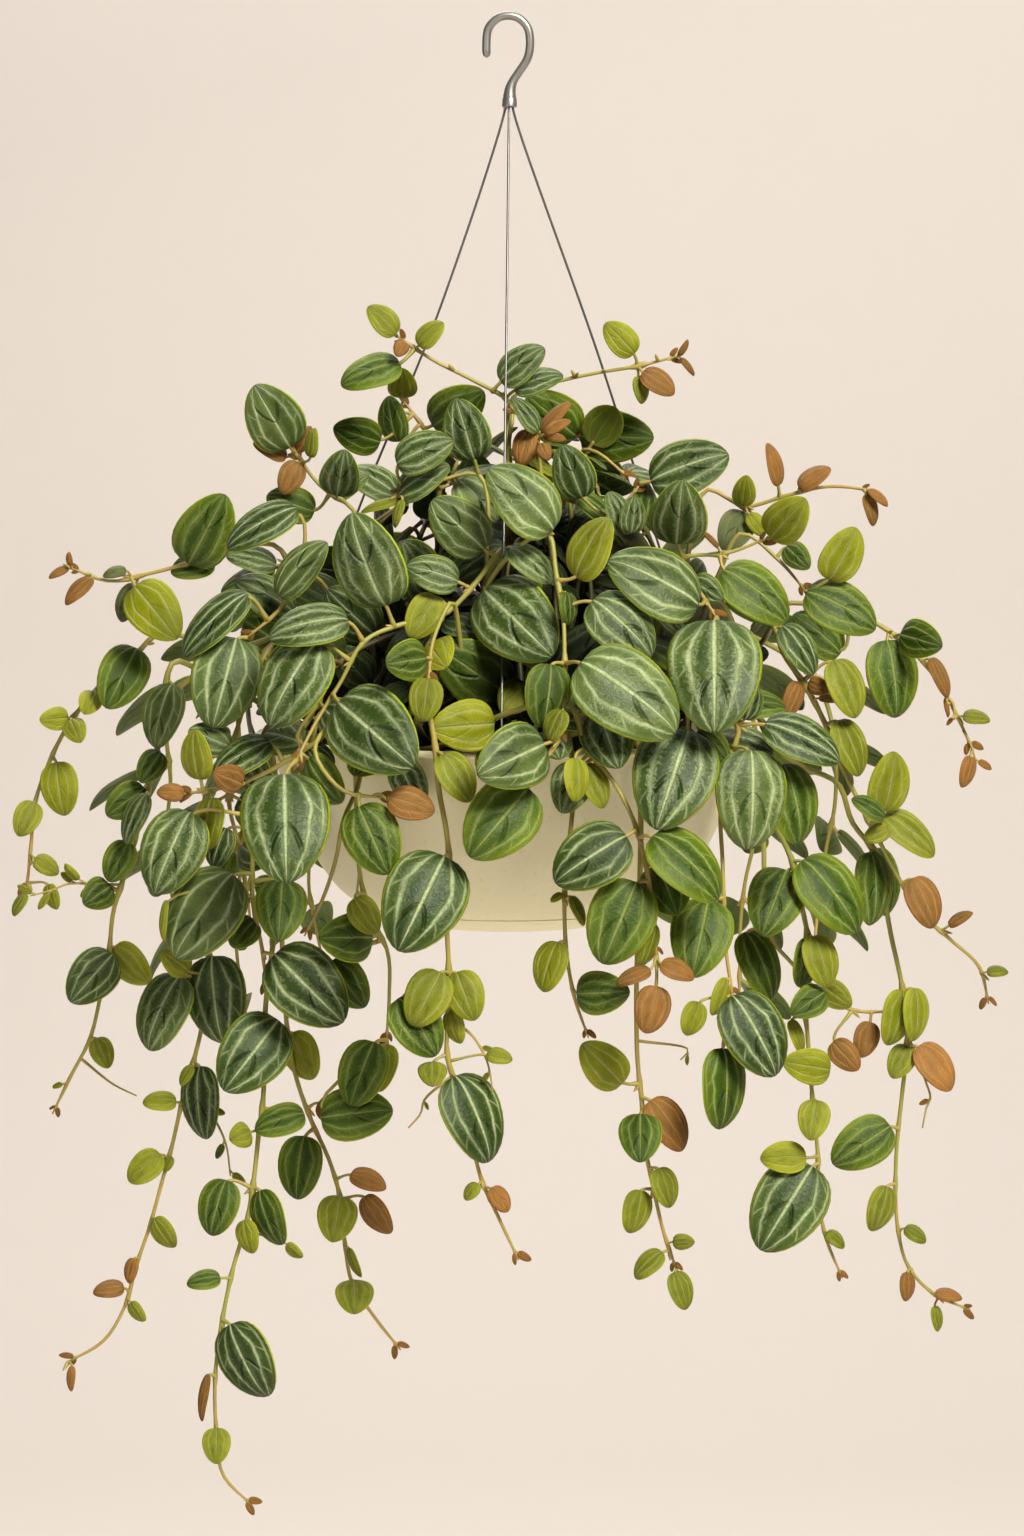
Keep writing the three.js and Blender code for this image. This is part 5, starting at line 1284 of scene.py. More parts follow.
def ring_frames(centres):
    """Two directions square to a line at each of its points, turned as little as possible."""
    along = np.gradient(centres, axis=0)
    along /= np.maximum(np.linalg.norm(along, axis=1), TINY)[:, None]
    across = unit(np.cross(along[0], UPWARDS if abs(along[0][2]) < STEEP else DEPTHWISE))
    firsts, seconds = [], []
    for direction in along:
        across = unit(across - direction * float(np.dot(across, direction)))
        firsts.append(across)
        seconds.append(np.cross(direction, across))
    return np.array(firsts), np.array(seconds)


def add_tube(shape, centres, radii, sides, finish=0, age=0.0, seed=0.0):
    """A closed round tube along a line, its ends drawn to a point."""
    firsts, seconds = ring_frames(centres)
    turns = ring_turns(sides)
    radii = np.asarray(radii, float)
    rings = (centres[:, None, :]
             + radii[:, None, None] * (firsts[:, None, :] * np.cos(turns)[None, :, None]
                                       + seconds[:, None, :] * np.sin(turns)[None, :, None]))
    count = len(centres)
    first_end = centres[0] - unit(centres[1] - centres[0]) * radii[0] * TUBE_END
    last_end = centres[-1] + unit(centres[-1] - centres[-2]) * radii[-1] * TUBE_END
    points = np.vstack([rings.reshape(-1, 3), first_end, last_end])
    share = np.concatenate([np.repeat(np.linspace(0, 1, count), sides), [0, 1]])
    around = np.concatenate([np.tile(turns / (2 * math.pi), count), [0, 0]])
    blade = np.column_stack([share, around, np.full(len(points), age), np.full(len(points), seed)])
    shape.add(points, ring_faces(count, sides), finish, blade)


def bezier(start, first, second, end, count):
    t = np.linspace(0, 1, count)[:, None]
    return ((1 - t) ** 3 * start + 3 * t * (1 - t) ** 2 * first
            + 3 * t ** 2 * (1 - t) * second + t ** 3 * end)


# Leaves

LEAF_FINISH = 0
STEM_FINISH = 1

# Columns are shares of the half width
BLADE = {"columns": np.array([0, 0.07, 0.3, 0.55, 0.78, 0.92, 1.0]), "rows": 13, "thickness": 1.25}
SMALL_BLADE = {"columns": np.array([0, 0.1, 0.45, 0.8, 1.0]), "rows": 8, "thickness": 0.9}
SMALL_BLADE_UNDER = 16

# Relief of a blade: heights are shares of its length or crest, but for the groove's and the rib's
DOME = {"rise": 1.5, "power": 1.7}
WAVE = {"height": 0.010, "turns": 9}
TIP_CURL = {"height": (0.02, 0.05), "power": 5}
GROOVE = {"depth": 0.4, "crest": 0.3, "width": 0.06}
RIB = {"depth": 0.55, "width": 0.09}
EDGE_POWER = 5
END_UNDER = 0.3

PETIOLE = {"radius": 0.95, "least": 0.45, "full_at": 55, "bend": 0.45, "lean": 0.3}
PETIOLE_FORM = [1.5, 1.35, 1.05, 0.95, 0.95, 1.05, 0.7]
PETIOLE_END = (0.07, 0.0, -0.45)
THIN_SIDES = 6


def add_blade(shape, leaf, tone, draw):
    """A fleshy blade: puffed halves beside a grooved midrib, with a thin rounded edge."""
    form = SMALL_BLADE if leaf.length < SMALL_BLADE_UNDER else BLADE
    rows = form["rows"]
    v = np.concatenate([-form["columns"][:0:-1], form["columns"]])
    columns = len(v)
    inner = (0.5 - 0.5 * np.cos(np.linspace(0, math.pi, rows + 1)))[1:-1]
    up = inner[:, None]
    wave_height, wave_start = WAVE["height"] * leaf.length * draw(), RANDOM_TURN * draw()
    tip_curl = drawn(draw, TIP_CURL["height"]) * leaf.length
    seed = draw()
    rise = np.minimum(1, DOME["rise"] * np.sin(math.pi * inner) ** 0.5)[:, None]
    size = np.abs(v)[None, :]
    dome = leaf.crest * rise * (1 - size ** DOME["power"])
    groove_depth = min(GROOVE["depth"], leaf.crest * GROOVE["crest"])
    groove = groove_depth * rise * np.exp(-(size / GROOVE["width"]) ** 2)
    wave = wave_height * np.sin(WAVE["turns"] * inner + wave_start)[:, None] * size ** 2 * np.sign(v)[None, :]
    lift = dome - groove + wave - tip_curl * up ** TIP_CURL["power"]
    depth = form["thickness"] * rise * (1 - size ** EDGE_POWER)
    rib = RIB["depth"] * (1 - up) * np.exp(-(size / RIB["width"]) ** 2)
    across = v[None, :] * half_width(inner)[:, None]
    top = leaf.points(up, across, lift)
    below = leaf.points(up, across, lift - depth - rib)[:, 1:-1]
    base = leaf.points(0.0, 0.0, 0.0)
    tip = leaf.points(1.0, 0.0, -tip_curl)
    points = np.vstack([top.reshape(-1, 3), below.reshape(-1, 3), base, tip])
    top_count = (rows - 1) * columns
    base_index, tip_index = len(points) - 2, len(points) - 1

    def over_side(i, j):
        return i * columns + j

    def under_side(i, j):
        if j in (0, columns - 1):
            return over_side(i, j)
        return top_count + i * (columns - 2) + j - 1
    last = rows - 2
    faces = []
    for j in range(columns - 1):
        faces.append((base_index, over_side(0, j + 1), over_side(0, j)))
        faces.append((base_index, under_side(0, j), under_side(0, j + 1)))
        faces.append((tip_index, over_side(last, j), over_side(last, j + 1)))
        faces.append((tip_index, under_side(last, j + 1), under_side(last, j)))
        for i in range(last):
            faces.append((over_side(i, j), over_side(i, j + 1), over_side(i + 1, j + 1), over_side(i + 1, j)))
            faces.append((under_side(i, j), under_side(i + 1, j),
                          under_side(i + 1, j + 1), under_side(i, j + 1)))
    along = np.concatenate([np.repeat(inner, columns), np.repeat(inner, columns - 2), [0, 1]])
    beside = np.concatenate([np.tile(v, rows - 1), np.tile(v[1:-1], rows - 1), [0, 0]])
    blade = np.column_stack([along, beside * 0.5 + 0.5, np.full(len(along), tone), np.full(len(along), seed)])
    under = np.concatenate([np.zeros(top_count), np.ones((rows - 1) * (columns - 2)), [END_UNDER] * 2])
    shape.add(points, faces, LEAF_FINISH, blade, under)


def add_petiole(shape, leaf, root, age, seed):
    """The stalk from the stem to the blade, thickest at the stem."""
    reach = float(np.linalg.norm(leaf.base - root))
    stalk = unit(leaf.base - root)
    path = bezier(root, root + stalk * reach * PETIOLE["bend"],
                  leaf.base - unit(leaf.axis + stalk) * reach * PETIOLE["lean"],
                  leaf.points(*PETIOLE_END), len(PETIOLE_FORM))
    thin = PETIOLE["radius"] * min(1, PETIOLE["least"] + leaf.length / PETIOLE["full_at"])
    add_tube(shape, path, thin * np.array(PETIOLE_FORM), THIN_SIDES, STEM_FINISH, age, seed)


# Stems with their buds, tips and shoots. An age of none is green, and of one ochre.

STEM_SIDES = 8
STEM_PIECE = 5
STEM_END_FORM = np.array([0.9, 0.75, 0.5])
STEM_AGE = (0.35, 0.3)
PETIOLE_AGE = (0.4, 0.5)
JOINT = {"swell": 0.4, "length": 2.4}
SMALL_LEAF = {"loose": 0.8, "upward": 0.2, "start": 0.25, "ratio": (0.42, 0.16), "crest": 0.12, "age": 0.7}
BUD = {"length": 5, "size": (0.7, 0.5), "form": [0.9, 1.1, 0.95, 0.6, 0.15], "age": 0.9}
TIP_LEAF = {"length": 7, "size": (0.5, 0.6), "spread": (0.35, 0.4), "square_to": np.array([0, 1, 0.15])}
# Share of the forks without a bud, and which way the other buds lean
BARE_FORKS = 0.55
FORK_BUD = {"ahead": 0.9, "aside": (0.4, 0.5)}
LONE_BUD = {"forward": 0.5, "upward": 0.6}
SHOOT = {"radius": [0.85, 0.4], "step": 2.5, "least": 6, "forward": 2, "age": 0.75}
SHOOT_LEAF = {"ahead": 0.8, "aside": 0.7}


def add_stem(shape, line, roots, draw):
    """The stem's tube, thinner towards its end and swollen where a leaf starts."""
    radii = STEM_RADIUS + (STEM_TIP_RADIUS - STEM_RADIUS) * (np.arange(len(line)) / (len(line) - 1))
    for root in roots:
        gap = np.linalg.norm(line - root, axis=1)
        radii = radii * (1 + JOINT["swell"] * np.exp(-(gap / JOINT["length"]) ** 2))
    radii[-len(STEM_END_FORM):] *= STEM_END_FORM
    add_tube(shape, line, radii, STEM_SIDES, STEM_FINISH, drawn(draw, STEM_AGE), draw())


def add_small_leaf(shape, root, direction, length, tone, draw):
    """A tiny young leaf that starts on its stem."""
    direction = unit(direction)
    loose = np.array([draw() - 0.5, draw() - 0.5, draw() - SMALL_LEAF["upward"]])
    facing = unit(EYE - root) + SMALL_LEAF["loose"] * loose
    base = root + direction * length * SMALL_LEAF["start"]
    leaf = Leaf(base, base + direction * length, facing, length * drawn(draw, SMALL_LEAF["ratio"]))
    leaf.crest = SMALL_LEAF["crest"] * leaf.width
    add_petiole(shape, leaf, root, SMALL_LEAF["age"], draw())
    add_blade(shape, leaf, TONES[tone], draw)


def add_bud(shape, root, direction, draw):
    """A small pointed bud."""
    tip = root + unit(direction) * BUD["length"] * drawn(draw, BUD["size"])
    path = bezier(root, root + unit(direction), tip - unit(direction), tip, len(BUD["form"]))
    add_tube(shape, path, BUD["form"], THIN_SIDES, STEM_FINISH, BUD["age"], draw())


def add_tip(shape, line, draw):
    """The growing end of a stem: a pair of tiny young leaves."""
    along = unit(line[-1] - line[-3])
    side = unit(np.cross(along, TIP_LEAF["square_to"]))
    for hand in (1, -1):
        length = TIP_LEAF["length"] * drawn(draw, TIP_LEAF["size"])
        direction = along + side * hand * drawn(draw, TIP_LEAF["spread"])
        add_small_leaf(shape, line[-2], direction, length, "C", draw)


def add_node_buds(shape, items, line, draw):
    """A small bud in the fork of many leaves, leaning towards the stem's end."""
    for item in items:
        if draw() < BARE_FORKS:
            continue
        i = int(np.argmin(np.linalg.norm(line - item["root"], axis=1)))
        ahead = unit(line[min(i + 1, len(line) - 1)] - line[max(i - 1, 0)])
        stalk = unit(item["leaf"].base - item["root"])
        direction = ahead * FORK_BUD["ahead"] + stalk * drawn(draw, FORK_BUD["aside"])
        add_bud(shape, item["root"], direction, draw)


def nearest_vine(vines, across, down):
    """The vine whose stem passes closest to a spot in the front view, and the point on it."""
    found = [(stem["name"], nearest_on_stem(stem["points"], across, down))
             for stem in vines if stem["name"] in VINES]
    return min(found, key=lambda each: view_gap(each[1], across, down))


def add_shoot(shape, plan, root, draw):
    """A thin side shoot with its small leaves."""
    spots = [root] + [place(across, down, root[1] - SHOOT["forward"]) for across, down in plan["path"][1:]]
    line = sampled(np.array(spots), SHOOT["step"], SHOOT["least"])
    radii = np.linspace(*SHOOT["radius"], len(line))
    add_tube(shape, line, radii, THIN_SIDES, STEM_FINISH, SHOOT["age"], draw())
    for share, hand, length, tone in plan["leaves"]:
        i = min(int(share * (len(line) - 1)), len(line) - 2)
        along = unit(line[i + 1] - line[i])
        side = np.cross(along, DEPTHWISE)
        direction = along * SHOOT_LEAF["ahead"] + side * hand * SHOOT_LEAF["aside"]
        add_small_leaf(shape, line[i], direction, length, tone, draw)


def details_by_vine(vines):
    """Each shoot and lone bud with the point that it grows from, gathered by the vine that holds it."""
    found = {}
    spots = [(plan, plan["path"][0]) for plan in SHOOTS] + [(None, spot) for spot in BUDS]
    for plan, spot in spots:
        owner, root = nearest_vine(vines, *spot)
        found.setdefault(owner, []).append((plan, root))
    return found


def add_details(shape, details, draw):
    for plan, root in details:
        if plan:
            add_shoot(shape, plan, root, draw)
        else:
            direction = np.array([draw() - 0.5, -LONE_BUD["forward"], LONE_BUD["upward"] - draw()])
            add_bud(shape, root, direction, draw)


def plant_piece(name, stem, details, settled, materials, draw):
    """One stem with all that grows on it."""
    own = [item for item in settled.items if item["vine"] == stem["name"]]
    shape = Shape()
    line = sampled(stem["points"], STEM_PIECE)
    add_stem(shape, line, [item["root"] for item in own], draw)
    add_node_buds(shape, own, line, draw)
    add_tip(shape, line, draw)
    for item in own:
        add_petiole(shape, item["leaf"], item["root"], drawn(draw, PETIOLE_AGE), draw())
        add_blade(shape, item["leaf"], TONES[item["tone"]], draw)
    add_details(shape, details, draw)
    return shape.build(name, materials)


def plant_pieces(vines, fillers, settled, materials):
    draw = random_numbers(SEEDS["surface"])
    details = details_by_vine(vines)
    for stem in vines:
        name = stem["name"]
        piece = plant_piece("fine_" + name, stem, details.get(name, []), settled, materials, draw)
        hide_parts("vine_" + name)
        SLOTS.get(name, "leaf_mid")
    for stem in fillers:
        piece = plant_piece(stem["name"], stem, [], settled, materials, draw)


# Hanger and pot

def cutter(points, faces):
    """A form that is taken out of a piece."""
    mesh = bpy.data.meshes.new("cutter")
    mesh.from_pydata((points * MM).tolist(), [], faces)
    return new_object("cutter", mesh)


def round_cutter(x, y, bottom, top, radius, sides=20):
    points, faces = lathe([(0, bottom), (radius, bottom), (radius, top), (0, top)], sides)
    return cutter(points + np.array([x, y, 0]), faces)


def wire_cutters(end, bottom, top, room):
    """One round cutter at the given end of each wire's route."""
    return [round_cutter(*route[end][:2], bottom, top, WIRE_RADIUS + room) for route in WIRES.values()]


def box_cutter(size):
    corners = np.array([(x, y, z) for x in (-1, 1) for y in (-1, 1) for z in (-1, 1)])
    faces = [(0, 1, 3, 2), (4, 6, 7, 5), (0, 4, 5, 1), (2, 3, 7, 6), (0, 2, 6, 4), (1, 5, 7, 3)]
    return cutter(corners * np.array(size) / 2, faces)


def cut(piece, tools):
    """Takes the tools' forms out of a piece, and removes the tools."""
    for tool in tools:
        step = piece.modifiers.new("cut", "BOOLEAN")
        step.operation = "DIFFERENCE"
        step.solver = "EXACT"
        step.object = tool
    view = bpy.context.evaluated_depsgraph_get()
    mesh = bpy.data.meshes.new_from_object(piece.evaluated_get(view))
    piece.modifiers.clear()
    piece.data = mesh
    for tool in tools:
        bpy.data.objects.remove(tool)


def sharpen(piece, degrees):
    piece.data.set_sharp_from_angle(angle=math.radians(degrees))


HOOK_SIDES = 24
HOOK_STEP = 1.2
HOOK_END_ROUNDING = [0.72, 0.95]
HOOK_SHARP_FROM = 35
# The rod's radius where it widens into the ferrule, by height
HOOK_FLARE = [[-40, 3.35], [-38, 3.35], [-35.5, 2.95], [-33.5, 2.7], [-30, 2.25], [-27.5, ROD_RADIUS]]
SLOT = {"x": 0.1, "z": -36.4, "width": 0.9, "height": 2.2, "depth": 0.7, "front": -3.0, "lean": 0.25}
SOCKET = {"gap": 0.3, "past": 1}


def hook_piece(material):
    """Satin hook whose rod widens into a ferrule with a small recess, drilled for the wires."""
    shape = Shape()
    line = sampled([[x, 0, z] for x, z in HOOK_PATH], HOOK_STEP)
    radii = np.interp(line[:, 2], *zip(*HOOK_FLARE))
    radii[:2] = ROD_RADIUS * np.array(HOOK_END_ROUNDING)
    add_tube(shape, line, radii, HOOK_SIDES)
    wide, edge, top, bottom = (FERRULE[part] for part in ("radius", "edge", "top", "bottom"))
    points, faces = lathe([
        (0, bottom), (wide - edge, bottom), (wide, bottom + edge),
        (wide - edge / 3, top - edge), (wide - edge, top), (0, top),
    ], HOOK_SIDES * 2)
    shape.add(points + np.array([FERRULE["x"], 0, 0]), faces)
    piece = shape.build("hanger_hook", [material])
    slot = box_cutter((SLOT["width"], SLOT["depth"] * 2, SLOT["height"]))
    slot.rotation_euler = (0, SLOT["lean"], 0)
    slot.location = (SLOT["x"] * MM, SLOT["front"] * MM, SLOT["z"] * MM)
    sockets = wire_cutters(0, bottom - SOCKET["past"], WIRE_SOCKET_TOP + SOCKET["gap"], SOCKET["gap"])
    cut(piece, [*sockets, slot])
    sharpen(piece, HOOK_SHARP_FROM)
    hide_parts("hook")


WIRE_SIDES = 10
FINE_WIRE_STEP = 3


def wire_pieces(material):
    for name, route in WIRES.items():
        shape = Shape()
        line = sampled(wire_points(route), FINE_WIRE_STEP)
        add_tube(shape, line, np.full(len(line), WIRE_RADIUS), WIRE_SIDES)
        piece = shape.build("fine_" + name, [material])
        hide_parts(name)


POT_SIDES = 160
POT_STEP = {"outside": 3, "inside": 4}
POT_SHARP_FROM = 40
POT_SEAM = {"z": -437.2, "depth": 0.65, "height": 0.5, "lip": 0.5}
FLOOR_RADIUS = 50
FOOT_ROUNDING = 1.5
UNDER_FLANGE_ROUNDING = 0.8
RIM = {"rounding": 0.55, "points": 7}
MOUTH = {"from": 0.9, "to": 0.2, "depth": 0.5}
WIRE_HOLE = {"below": 12, "above": 3, "room": 0.5}
DRAIN_CUT = {"past": 2, "sides": 32}


def smooth_profile(pairs, step):
    return [(x, z) for x, _, z in sampled([[r, 0, z] for r, z in pairs], step)]


def pot_piece(material):
    """Turned bowl with a rounded flange, a seam near its foot, wire holes and drain holes."""
    half, top, under = FLANGE["thickness"] / 2, FLANGE["top"], FLANGE["top"] - FLANGE["thickness"]
    flat = FLANGE["radius"] - half * RIM["rounding"]
    rim = [
        (flat + half * RIM["rounding"] * math.cos(t), top - half + half * math.sin(t))
        for t in np.linspace(-math.pi / 2, math.pi / 2, RIM["points"])
    ]
    outside = smooth_profile(reversed(POT_OUTER), POT_STEP["outside"])
    seam_at = min(range(len(outside)), key=lambda i: abs(outside[i][1] - POT_SEAM["z"]))
    seam_r, seam_z = outside[seam_at]
    outside[seam_at:seam_at + 1] = [
        (seam_r - POT_SEAM["lip"], seam_z - POT_SEAM["height"]), (seam_r - POT_SEAM["depth"], seam_z),
        (seam_r + POT_SEAM["lip"], seam_z + POT_SEAM["height"]),
    ]
    inside = smooth_profile([[r - POT_WALL, max(z, POT_FLOOR)] for r, z in POT_OUTER[:5]], POT_STEP["inside"])
    foot_r, foot_z = POT_OUTER[-1]
    neck, mouth = POT_OUTER[0][0], inside[0][0]
    points, faces = lathe([
        (0, foot_z), (foot_r - FOOT_ROUNDING, foot_z), *outside,
        (neck, under - UNDER_FLANGE_ROUNDING), (neck + UNDER_FLANGE_ROUNDING, under),
        *rim, (mouth + MOUTH["from"], top), (mouth + MOUTH["to"], top - MOUTH["depth"]),
        *inside, (FLOOR_RADIUS, POT_FLOOR), (0, POT_FLOOR),
    ], POT_SIDES)
    shape = Shape()
    shape.add(points, faces)
    piece = shape.build("pot_shell", [material])
    tools = wire_cutters(-1, top - WIRE_HOLE["below"], top + WIRE_HOLE["above"], WIRE_HOLE["room"])
    for i in range(DRAIN["count"]):
        turn = (i + 0.5) / DRAIN["count"] * 2 * math.pi
        tools.append(round_cutter(
            DRAIN["ring"] * math.cos(turn), DRAIN["ring"] * math.sin(turn), foot_z - DRAIN_CUT["past"],
            POT_FLOOR + DRAIN_CUT["past"], DRAIN["radius"], DRAIN_CUT["sides"]))
    cut(piece, tools)
    sharpen(piece, POT_SHARP_FROM)
    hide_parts("pot")


SOIL = {"sides": 96, "rings": 22, "bump": 1.6, "mound": 3, "mound_radius": 112}
SOIL_WAVES = {"count": 9, "turn": 0.5, "share": 0.22}
CRUMBS = {"count": 260, "reach": 108, "least": 0.9, "more": 2.4, "uneven": (0.6, 0.8), "raised": 0.3}
CRUMB_CORNERS = [[1, 0, 0], [0, 1, 0], [-1, 0, 0], [0, -1, 0], [0, 0, 0.8], [0, 0, -0.8]]
CRUMB_FACES = [(0, 1, 4), (1, 2, 4), (2, 3, 4), (3, 0, 4), (1, 0, 5), (2, 1, 5), (3, 2, 5), (0, 3, 5)]


def soil_height(x, y, radius, waves):
    height = SOIL_TOP + SOIL["mound"] * (1 - min(radius / SOIL["mound_radius"], 1))
    for turn_x, turn_y, start, size in waves:
        height += size * math.sin(turn_x * x + turn_y * y + start)
    return height


def soil_piece(material):
    """Lumpy potting soil filling the bowl, with loose crumbs on top."""
    draw = random_numbers(SEEDS["soil"])
    waves = [
        (swing(draw, SOIL_WAVES["turn"]), swing(draw, SOIL_WAVES["turn"]), RANDOM_TURN * draw(),
         SOIL["bump"] * SOIL_WAVES["share"])
        for _ in range(SOIL_WAVES["count"])
    ]
    bottom = POT_FLOOR + SOIL_GAP
    wall = [(r - POT_WALL - SOIL_GAP, z) for r, z in POT_OUTER[1:5]]
    points = []
    for r, z in [(FLOOR_RADIUS - SOIL_GAP, bottom), *wall[:0:-1]]:
        points.extend(ring(r, z, SOIL["sides"]))
    for i in range(SOIL["rings"]):
        r = wall[0][0] * (1 - i / SOIL["rings"])
        for x, y, _ in ring(r, 0, SOIL["sides"]):
            rough = swing(draw, SOIL["bump"]) if i else 0
            points.append([x, y, soil_height(x, y, r, waves) + rough])
    faces = ring_faces(len(points) // SOIL["sides"], SOIL["sides"])
    shape = Shape()
    shape.add([*points, [0, 0, bottom], [0, 0, soil_height(0, 0, 0, waves)]], faces)
    for _ in range(CRUMBS["count"]):
        r, t = CRUMBS["reach"] * math.sqrt(draw()), RANDOM_TURN * draw()
        x, y = r * math.cos(t), r * math.sin(t)
        size = CRUMBS["least"] + CRUMBS["more"] * draw() ** 2
        crumb = [[c * size * drawn(draw, CRUMBS["uneven"]) for c in corner] for corner in CRUMB_CORNERS]
        centre = np.array([x, y, soil_height(x, y, r, waves) + size * CRUMBS["raised"]])
        shape.add(np.array(crumb) + centre, CRUMB_FACES)
    piece = shape.build("potting_soil", [material])
    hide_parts("soil")


# Materials

class Paint:
    """Shorthand for building one material's nodes."""

    def __init__(self, name):
        self.material = bpy.data.materials.new(name)
        self.material.use_nodes = True
        self.tree = self.material.node_tree
        self.tree.nodes.clear()

    def node(self, kind, settings=None, inputs=None):
        made = self.tree.nodes.new("ShaderNode" + kind)
        for key, value in (settings or {}).items():
            setattr(made, key, value)
        for key, value in (inputs or {}).items():
            self.fill(made.inputs[key], value)
        return made

    def fill(self, socket, value):
        if isinstance(value, bpy.types.NodeSocket):
            self.tree.links.new(value, socket)
        else:
            socket.default_value = value

    def math(self, operation, first, second=None, third=None):
        values = {i: value for i, value in enumerate((first, second, third)) if value is not None}
        return self.node("Math", {"operation": operation}, values).outputs[0]

    def chain(self, operation, values):
        total = values[0]
        for value in values[1:]:
            total = self.math(operation, total, value)
        return total

    def add(self, *values):
        return self.chain("ADD", values)

    def times(self, *values):
        return self.chain("MULTIPLY", values)

    def most(self, *values):
        return self.chain("MAXIMUM", values)

    def line(self, value, slope, start):
        """The start plus the value times the slope."""
        return self.math("MULTIPLY_ADD", value, slope, start)

    def gap(self, first, second):
        return self.math("ABSOLUTE", self.math("SUBTRACT", first, second))

    def mix(self, factor, first, second, blend="MIX"):
        """Mixes two colours, which are inputs 6 and 7 of the node."""
        made = self.node("Mix", {"data_type": "RGBA", "blend_type": blend}, {"Factor": factor})
        for socket, value in ((made.inputs[6], first), (made.inputs[7], second)):
            self.fill(socket, (*value, 1) if isinstance(value, tuple) else value)
        return made.outputs[2]

    def ramp(self, factor, *stops):
        """Runs through numbers or colours, each given with its position."""
        made = self.node("ValToRGB", inputs={"Fac": factor})
        points = made.color_ramp.elements
        while len(points) < len(stops):
            points.new(0.5)
        for point, (position, colour) in zip(points, stops):
            point.position = position
            point.color = (*colour, 1) if isinstance(colour, tuple) else (colour, colour, colour, 1)
        return made.outputs[0]

    def by_tone(self, tone, dark, mid, lime, grey, copper):
        """A number or colour for each of the five leaf tones."""
        values = zip(("D", "M", "L", "G", "C"), (dark, mid, lime, grey, copper))
        return self.ramp(tone, *[(TONES[letter], value) for letter, value in values])

    def fade(self, value, start, end, first=0.0, last=1.0):
        """Goes smoothly from the first value at the start to the last one at the end."""
        return self.node("MapRange", {"interpolation_type": "SMOOTHSTEP"}, {
            "Value": value, "From Min": start, "From Max": end, "To Min": first, "To Max": last}).outputs[0]

    def peak(self, value, centre, width):
        """One at the centre, falling smoothly to none at the width."""
        return self.fade(self.gap(value, centre), 0.0, width, 1.0, 0.0)

    def where(self):
        """The place on the object, in metres."""
        return self.node("TexCoord").outputs["Object"]

    def vector(self, x, y, z):
        return self.node("CombineXYZ", inputs={"X": x, "Y": y, "Z": z}).outputs[0]

    def attribute(self, name):
        return self.node("Attribute", {"attribute_name": name}).outputs

    def noise(self, vector, scale, detail=3.0, roughness=0.55):
        return self.node("TexNoise", inputs={
            "Vector": vector, "Scale": scale, "Detail": detail, "Roughness": roughness}).outputs[0]

    def bump(self, height, strength, distance):
        return self.node("Bump", inputs={
            "Height": height, "Strength": strength, "Distance": distance}).outputs[0]

    def coat(self, colour, roughness, **others):
        """The main shader; an underscore stands for a blank in the names of its other inputs."""
        inputs = {"Base Color": colour, "Roughness": roughness}
        inputs.update({name.replace("_", " "): value for name, value in others.items()})
        return self.node("BsdfPrincipled", inputs=inputs).outputs[0]

    def blend(self, factor, first, second):
        return self.node("MixShader", inputs={0: factor, 1: first, 2: second}).outputs[0]

    def finish(self, shader):
        self.fill(self.node("OutputMaterial").inputs[0], shader)
        return self.material


# Spaces in which a leaf's noise is read, and the factors that turn its seed into separate values
LEAF_NOISE = {"apart": 40.0, "narrow": 0.42, "long": 3.4, "streak": 9.0, "mottle": 70.0, "cloud": 2.6}
OWN_FACTORS = (7.13, 13.7, 29.3, 53.9, 254.1)


class BladePlace:
    """Where a point lies on its leaf, the leaf's tone, and random values of the leaf's own."""

    def __init__(self, paint):
        blade = paint.attribute("blade")
        parts = paint.node("SeparateColor", inputs={"Color": blade["Color"]})
        self.u, side, self.tone = parts.outputs
        self.seed = blade["Alpha"]
        self.under = paint.attribute("under")["Fac"]
        self.v = paint.line(side, 2.0, -1.0)
        self.spread = paint.math("ABSOLUTE", self.v)
        depth = paint.times(self.seed, LEAF_NOISE["apart"])
        self.spot = paint.vector(self.u, paint.times(self.v, LEAF_NOISE["narrow"]), depth)
        stretched = paint.vector(paint.times(self.u, LEAF_NOISE["long"]), self.v, depth)
        self.own = [paint.math("FRACT", paint.times(self.seed, factor)) for factor in OWN_FACTORS]
        self.streak = paint.noise(stretched, LEAF_NOISE["streak"], 4.0, 0.65)
        self.mottle = paint.noise(self.spot, LEAF_NOISE["mottle"], 3.0, 0.7)
        self.cloud = paint.noise(self.spot, LEAF_NOISE["cloud"], 2.0)


# Marks of a leaf: widths are shares of its half width, the crease's start a share of its length
VEIN = {"midrib": 0.100, "midrib_end": -0.045, "inner": 0.090, "outer": 0.058}
VEIN_STRENGTH = {"inner": 0.85, "outer": 0.6}
VEIN_WANDER = {"scale": 5.0, "reach": (0.16, -0.08), "outer_share": 0.6}
VEIN_PLACE = {"inner": [(0.0, 0.34), (0.36, 0.56), (1.0, 0.44)], "inner_own": (0.10, -0.05),
              "outer": (0.06, 0.82)}
FRINGE = 0.16
SILVER = {"midrib": 0.17, "inner": 0.10, "outer": 0.07}
RUNG = {"count": 3.6, "lean": -1.5, "width": 0.10, "strength": 0.40}
# The crease is a groove in the relief, and its colour is darkened with painted shade
CREASE = {"start": 0.42, "vary": 0.14, "power": 0.75, "reach": 1.25, "width": 0.10}
CREASE_BY_TONE = (1.0, 0.7, 0.2, 0.5, 0.2)


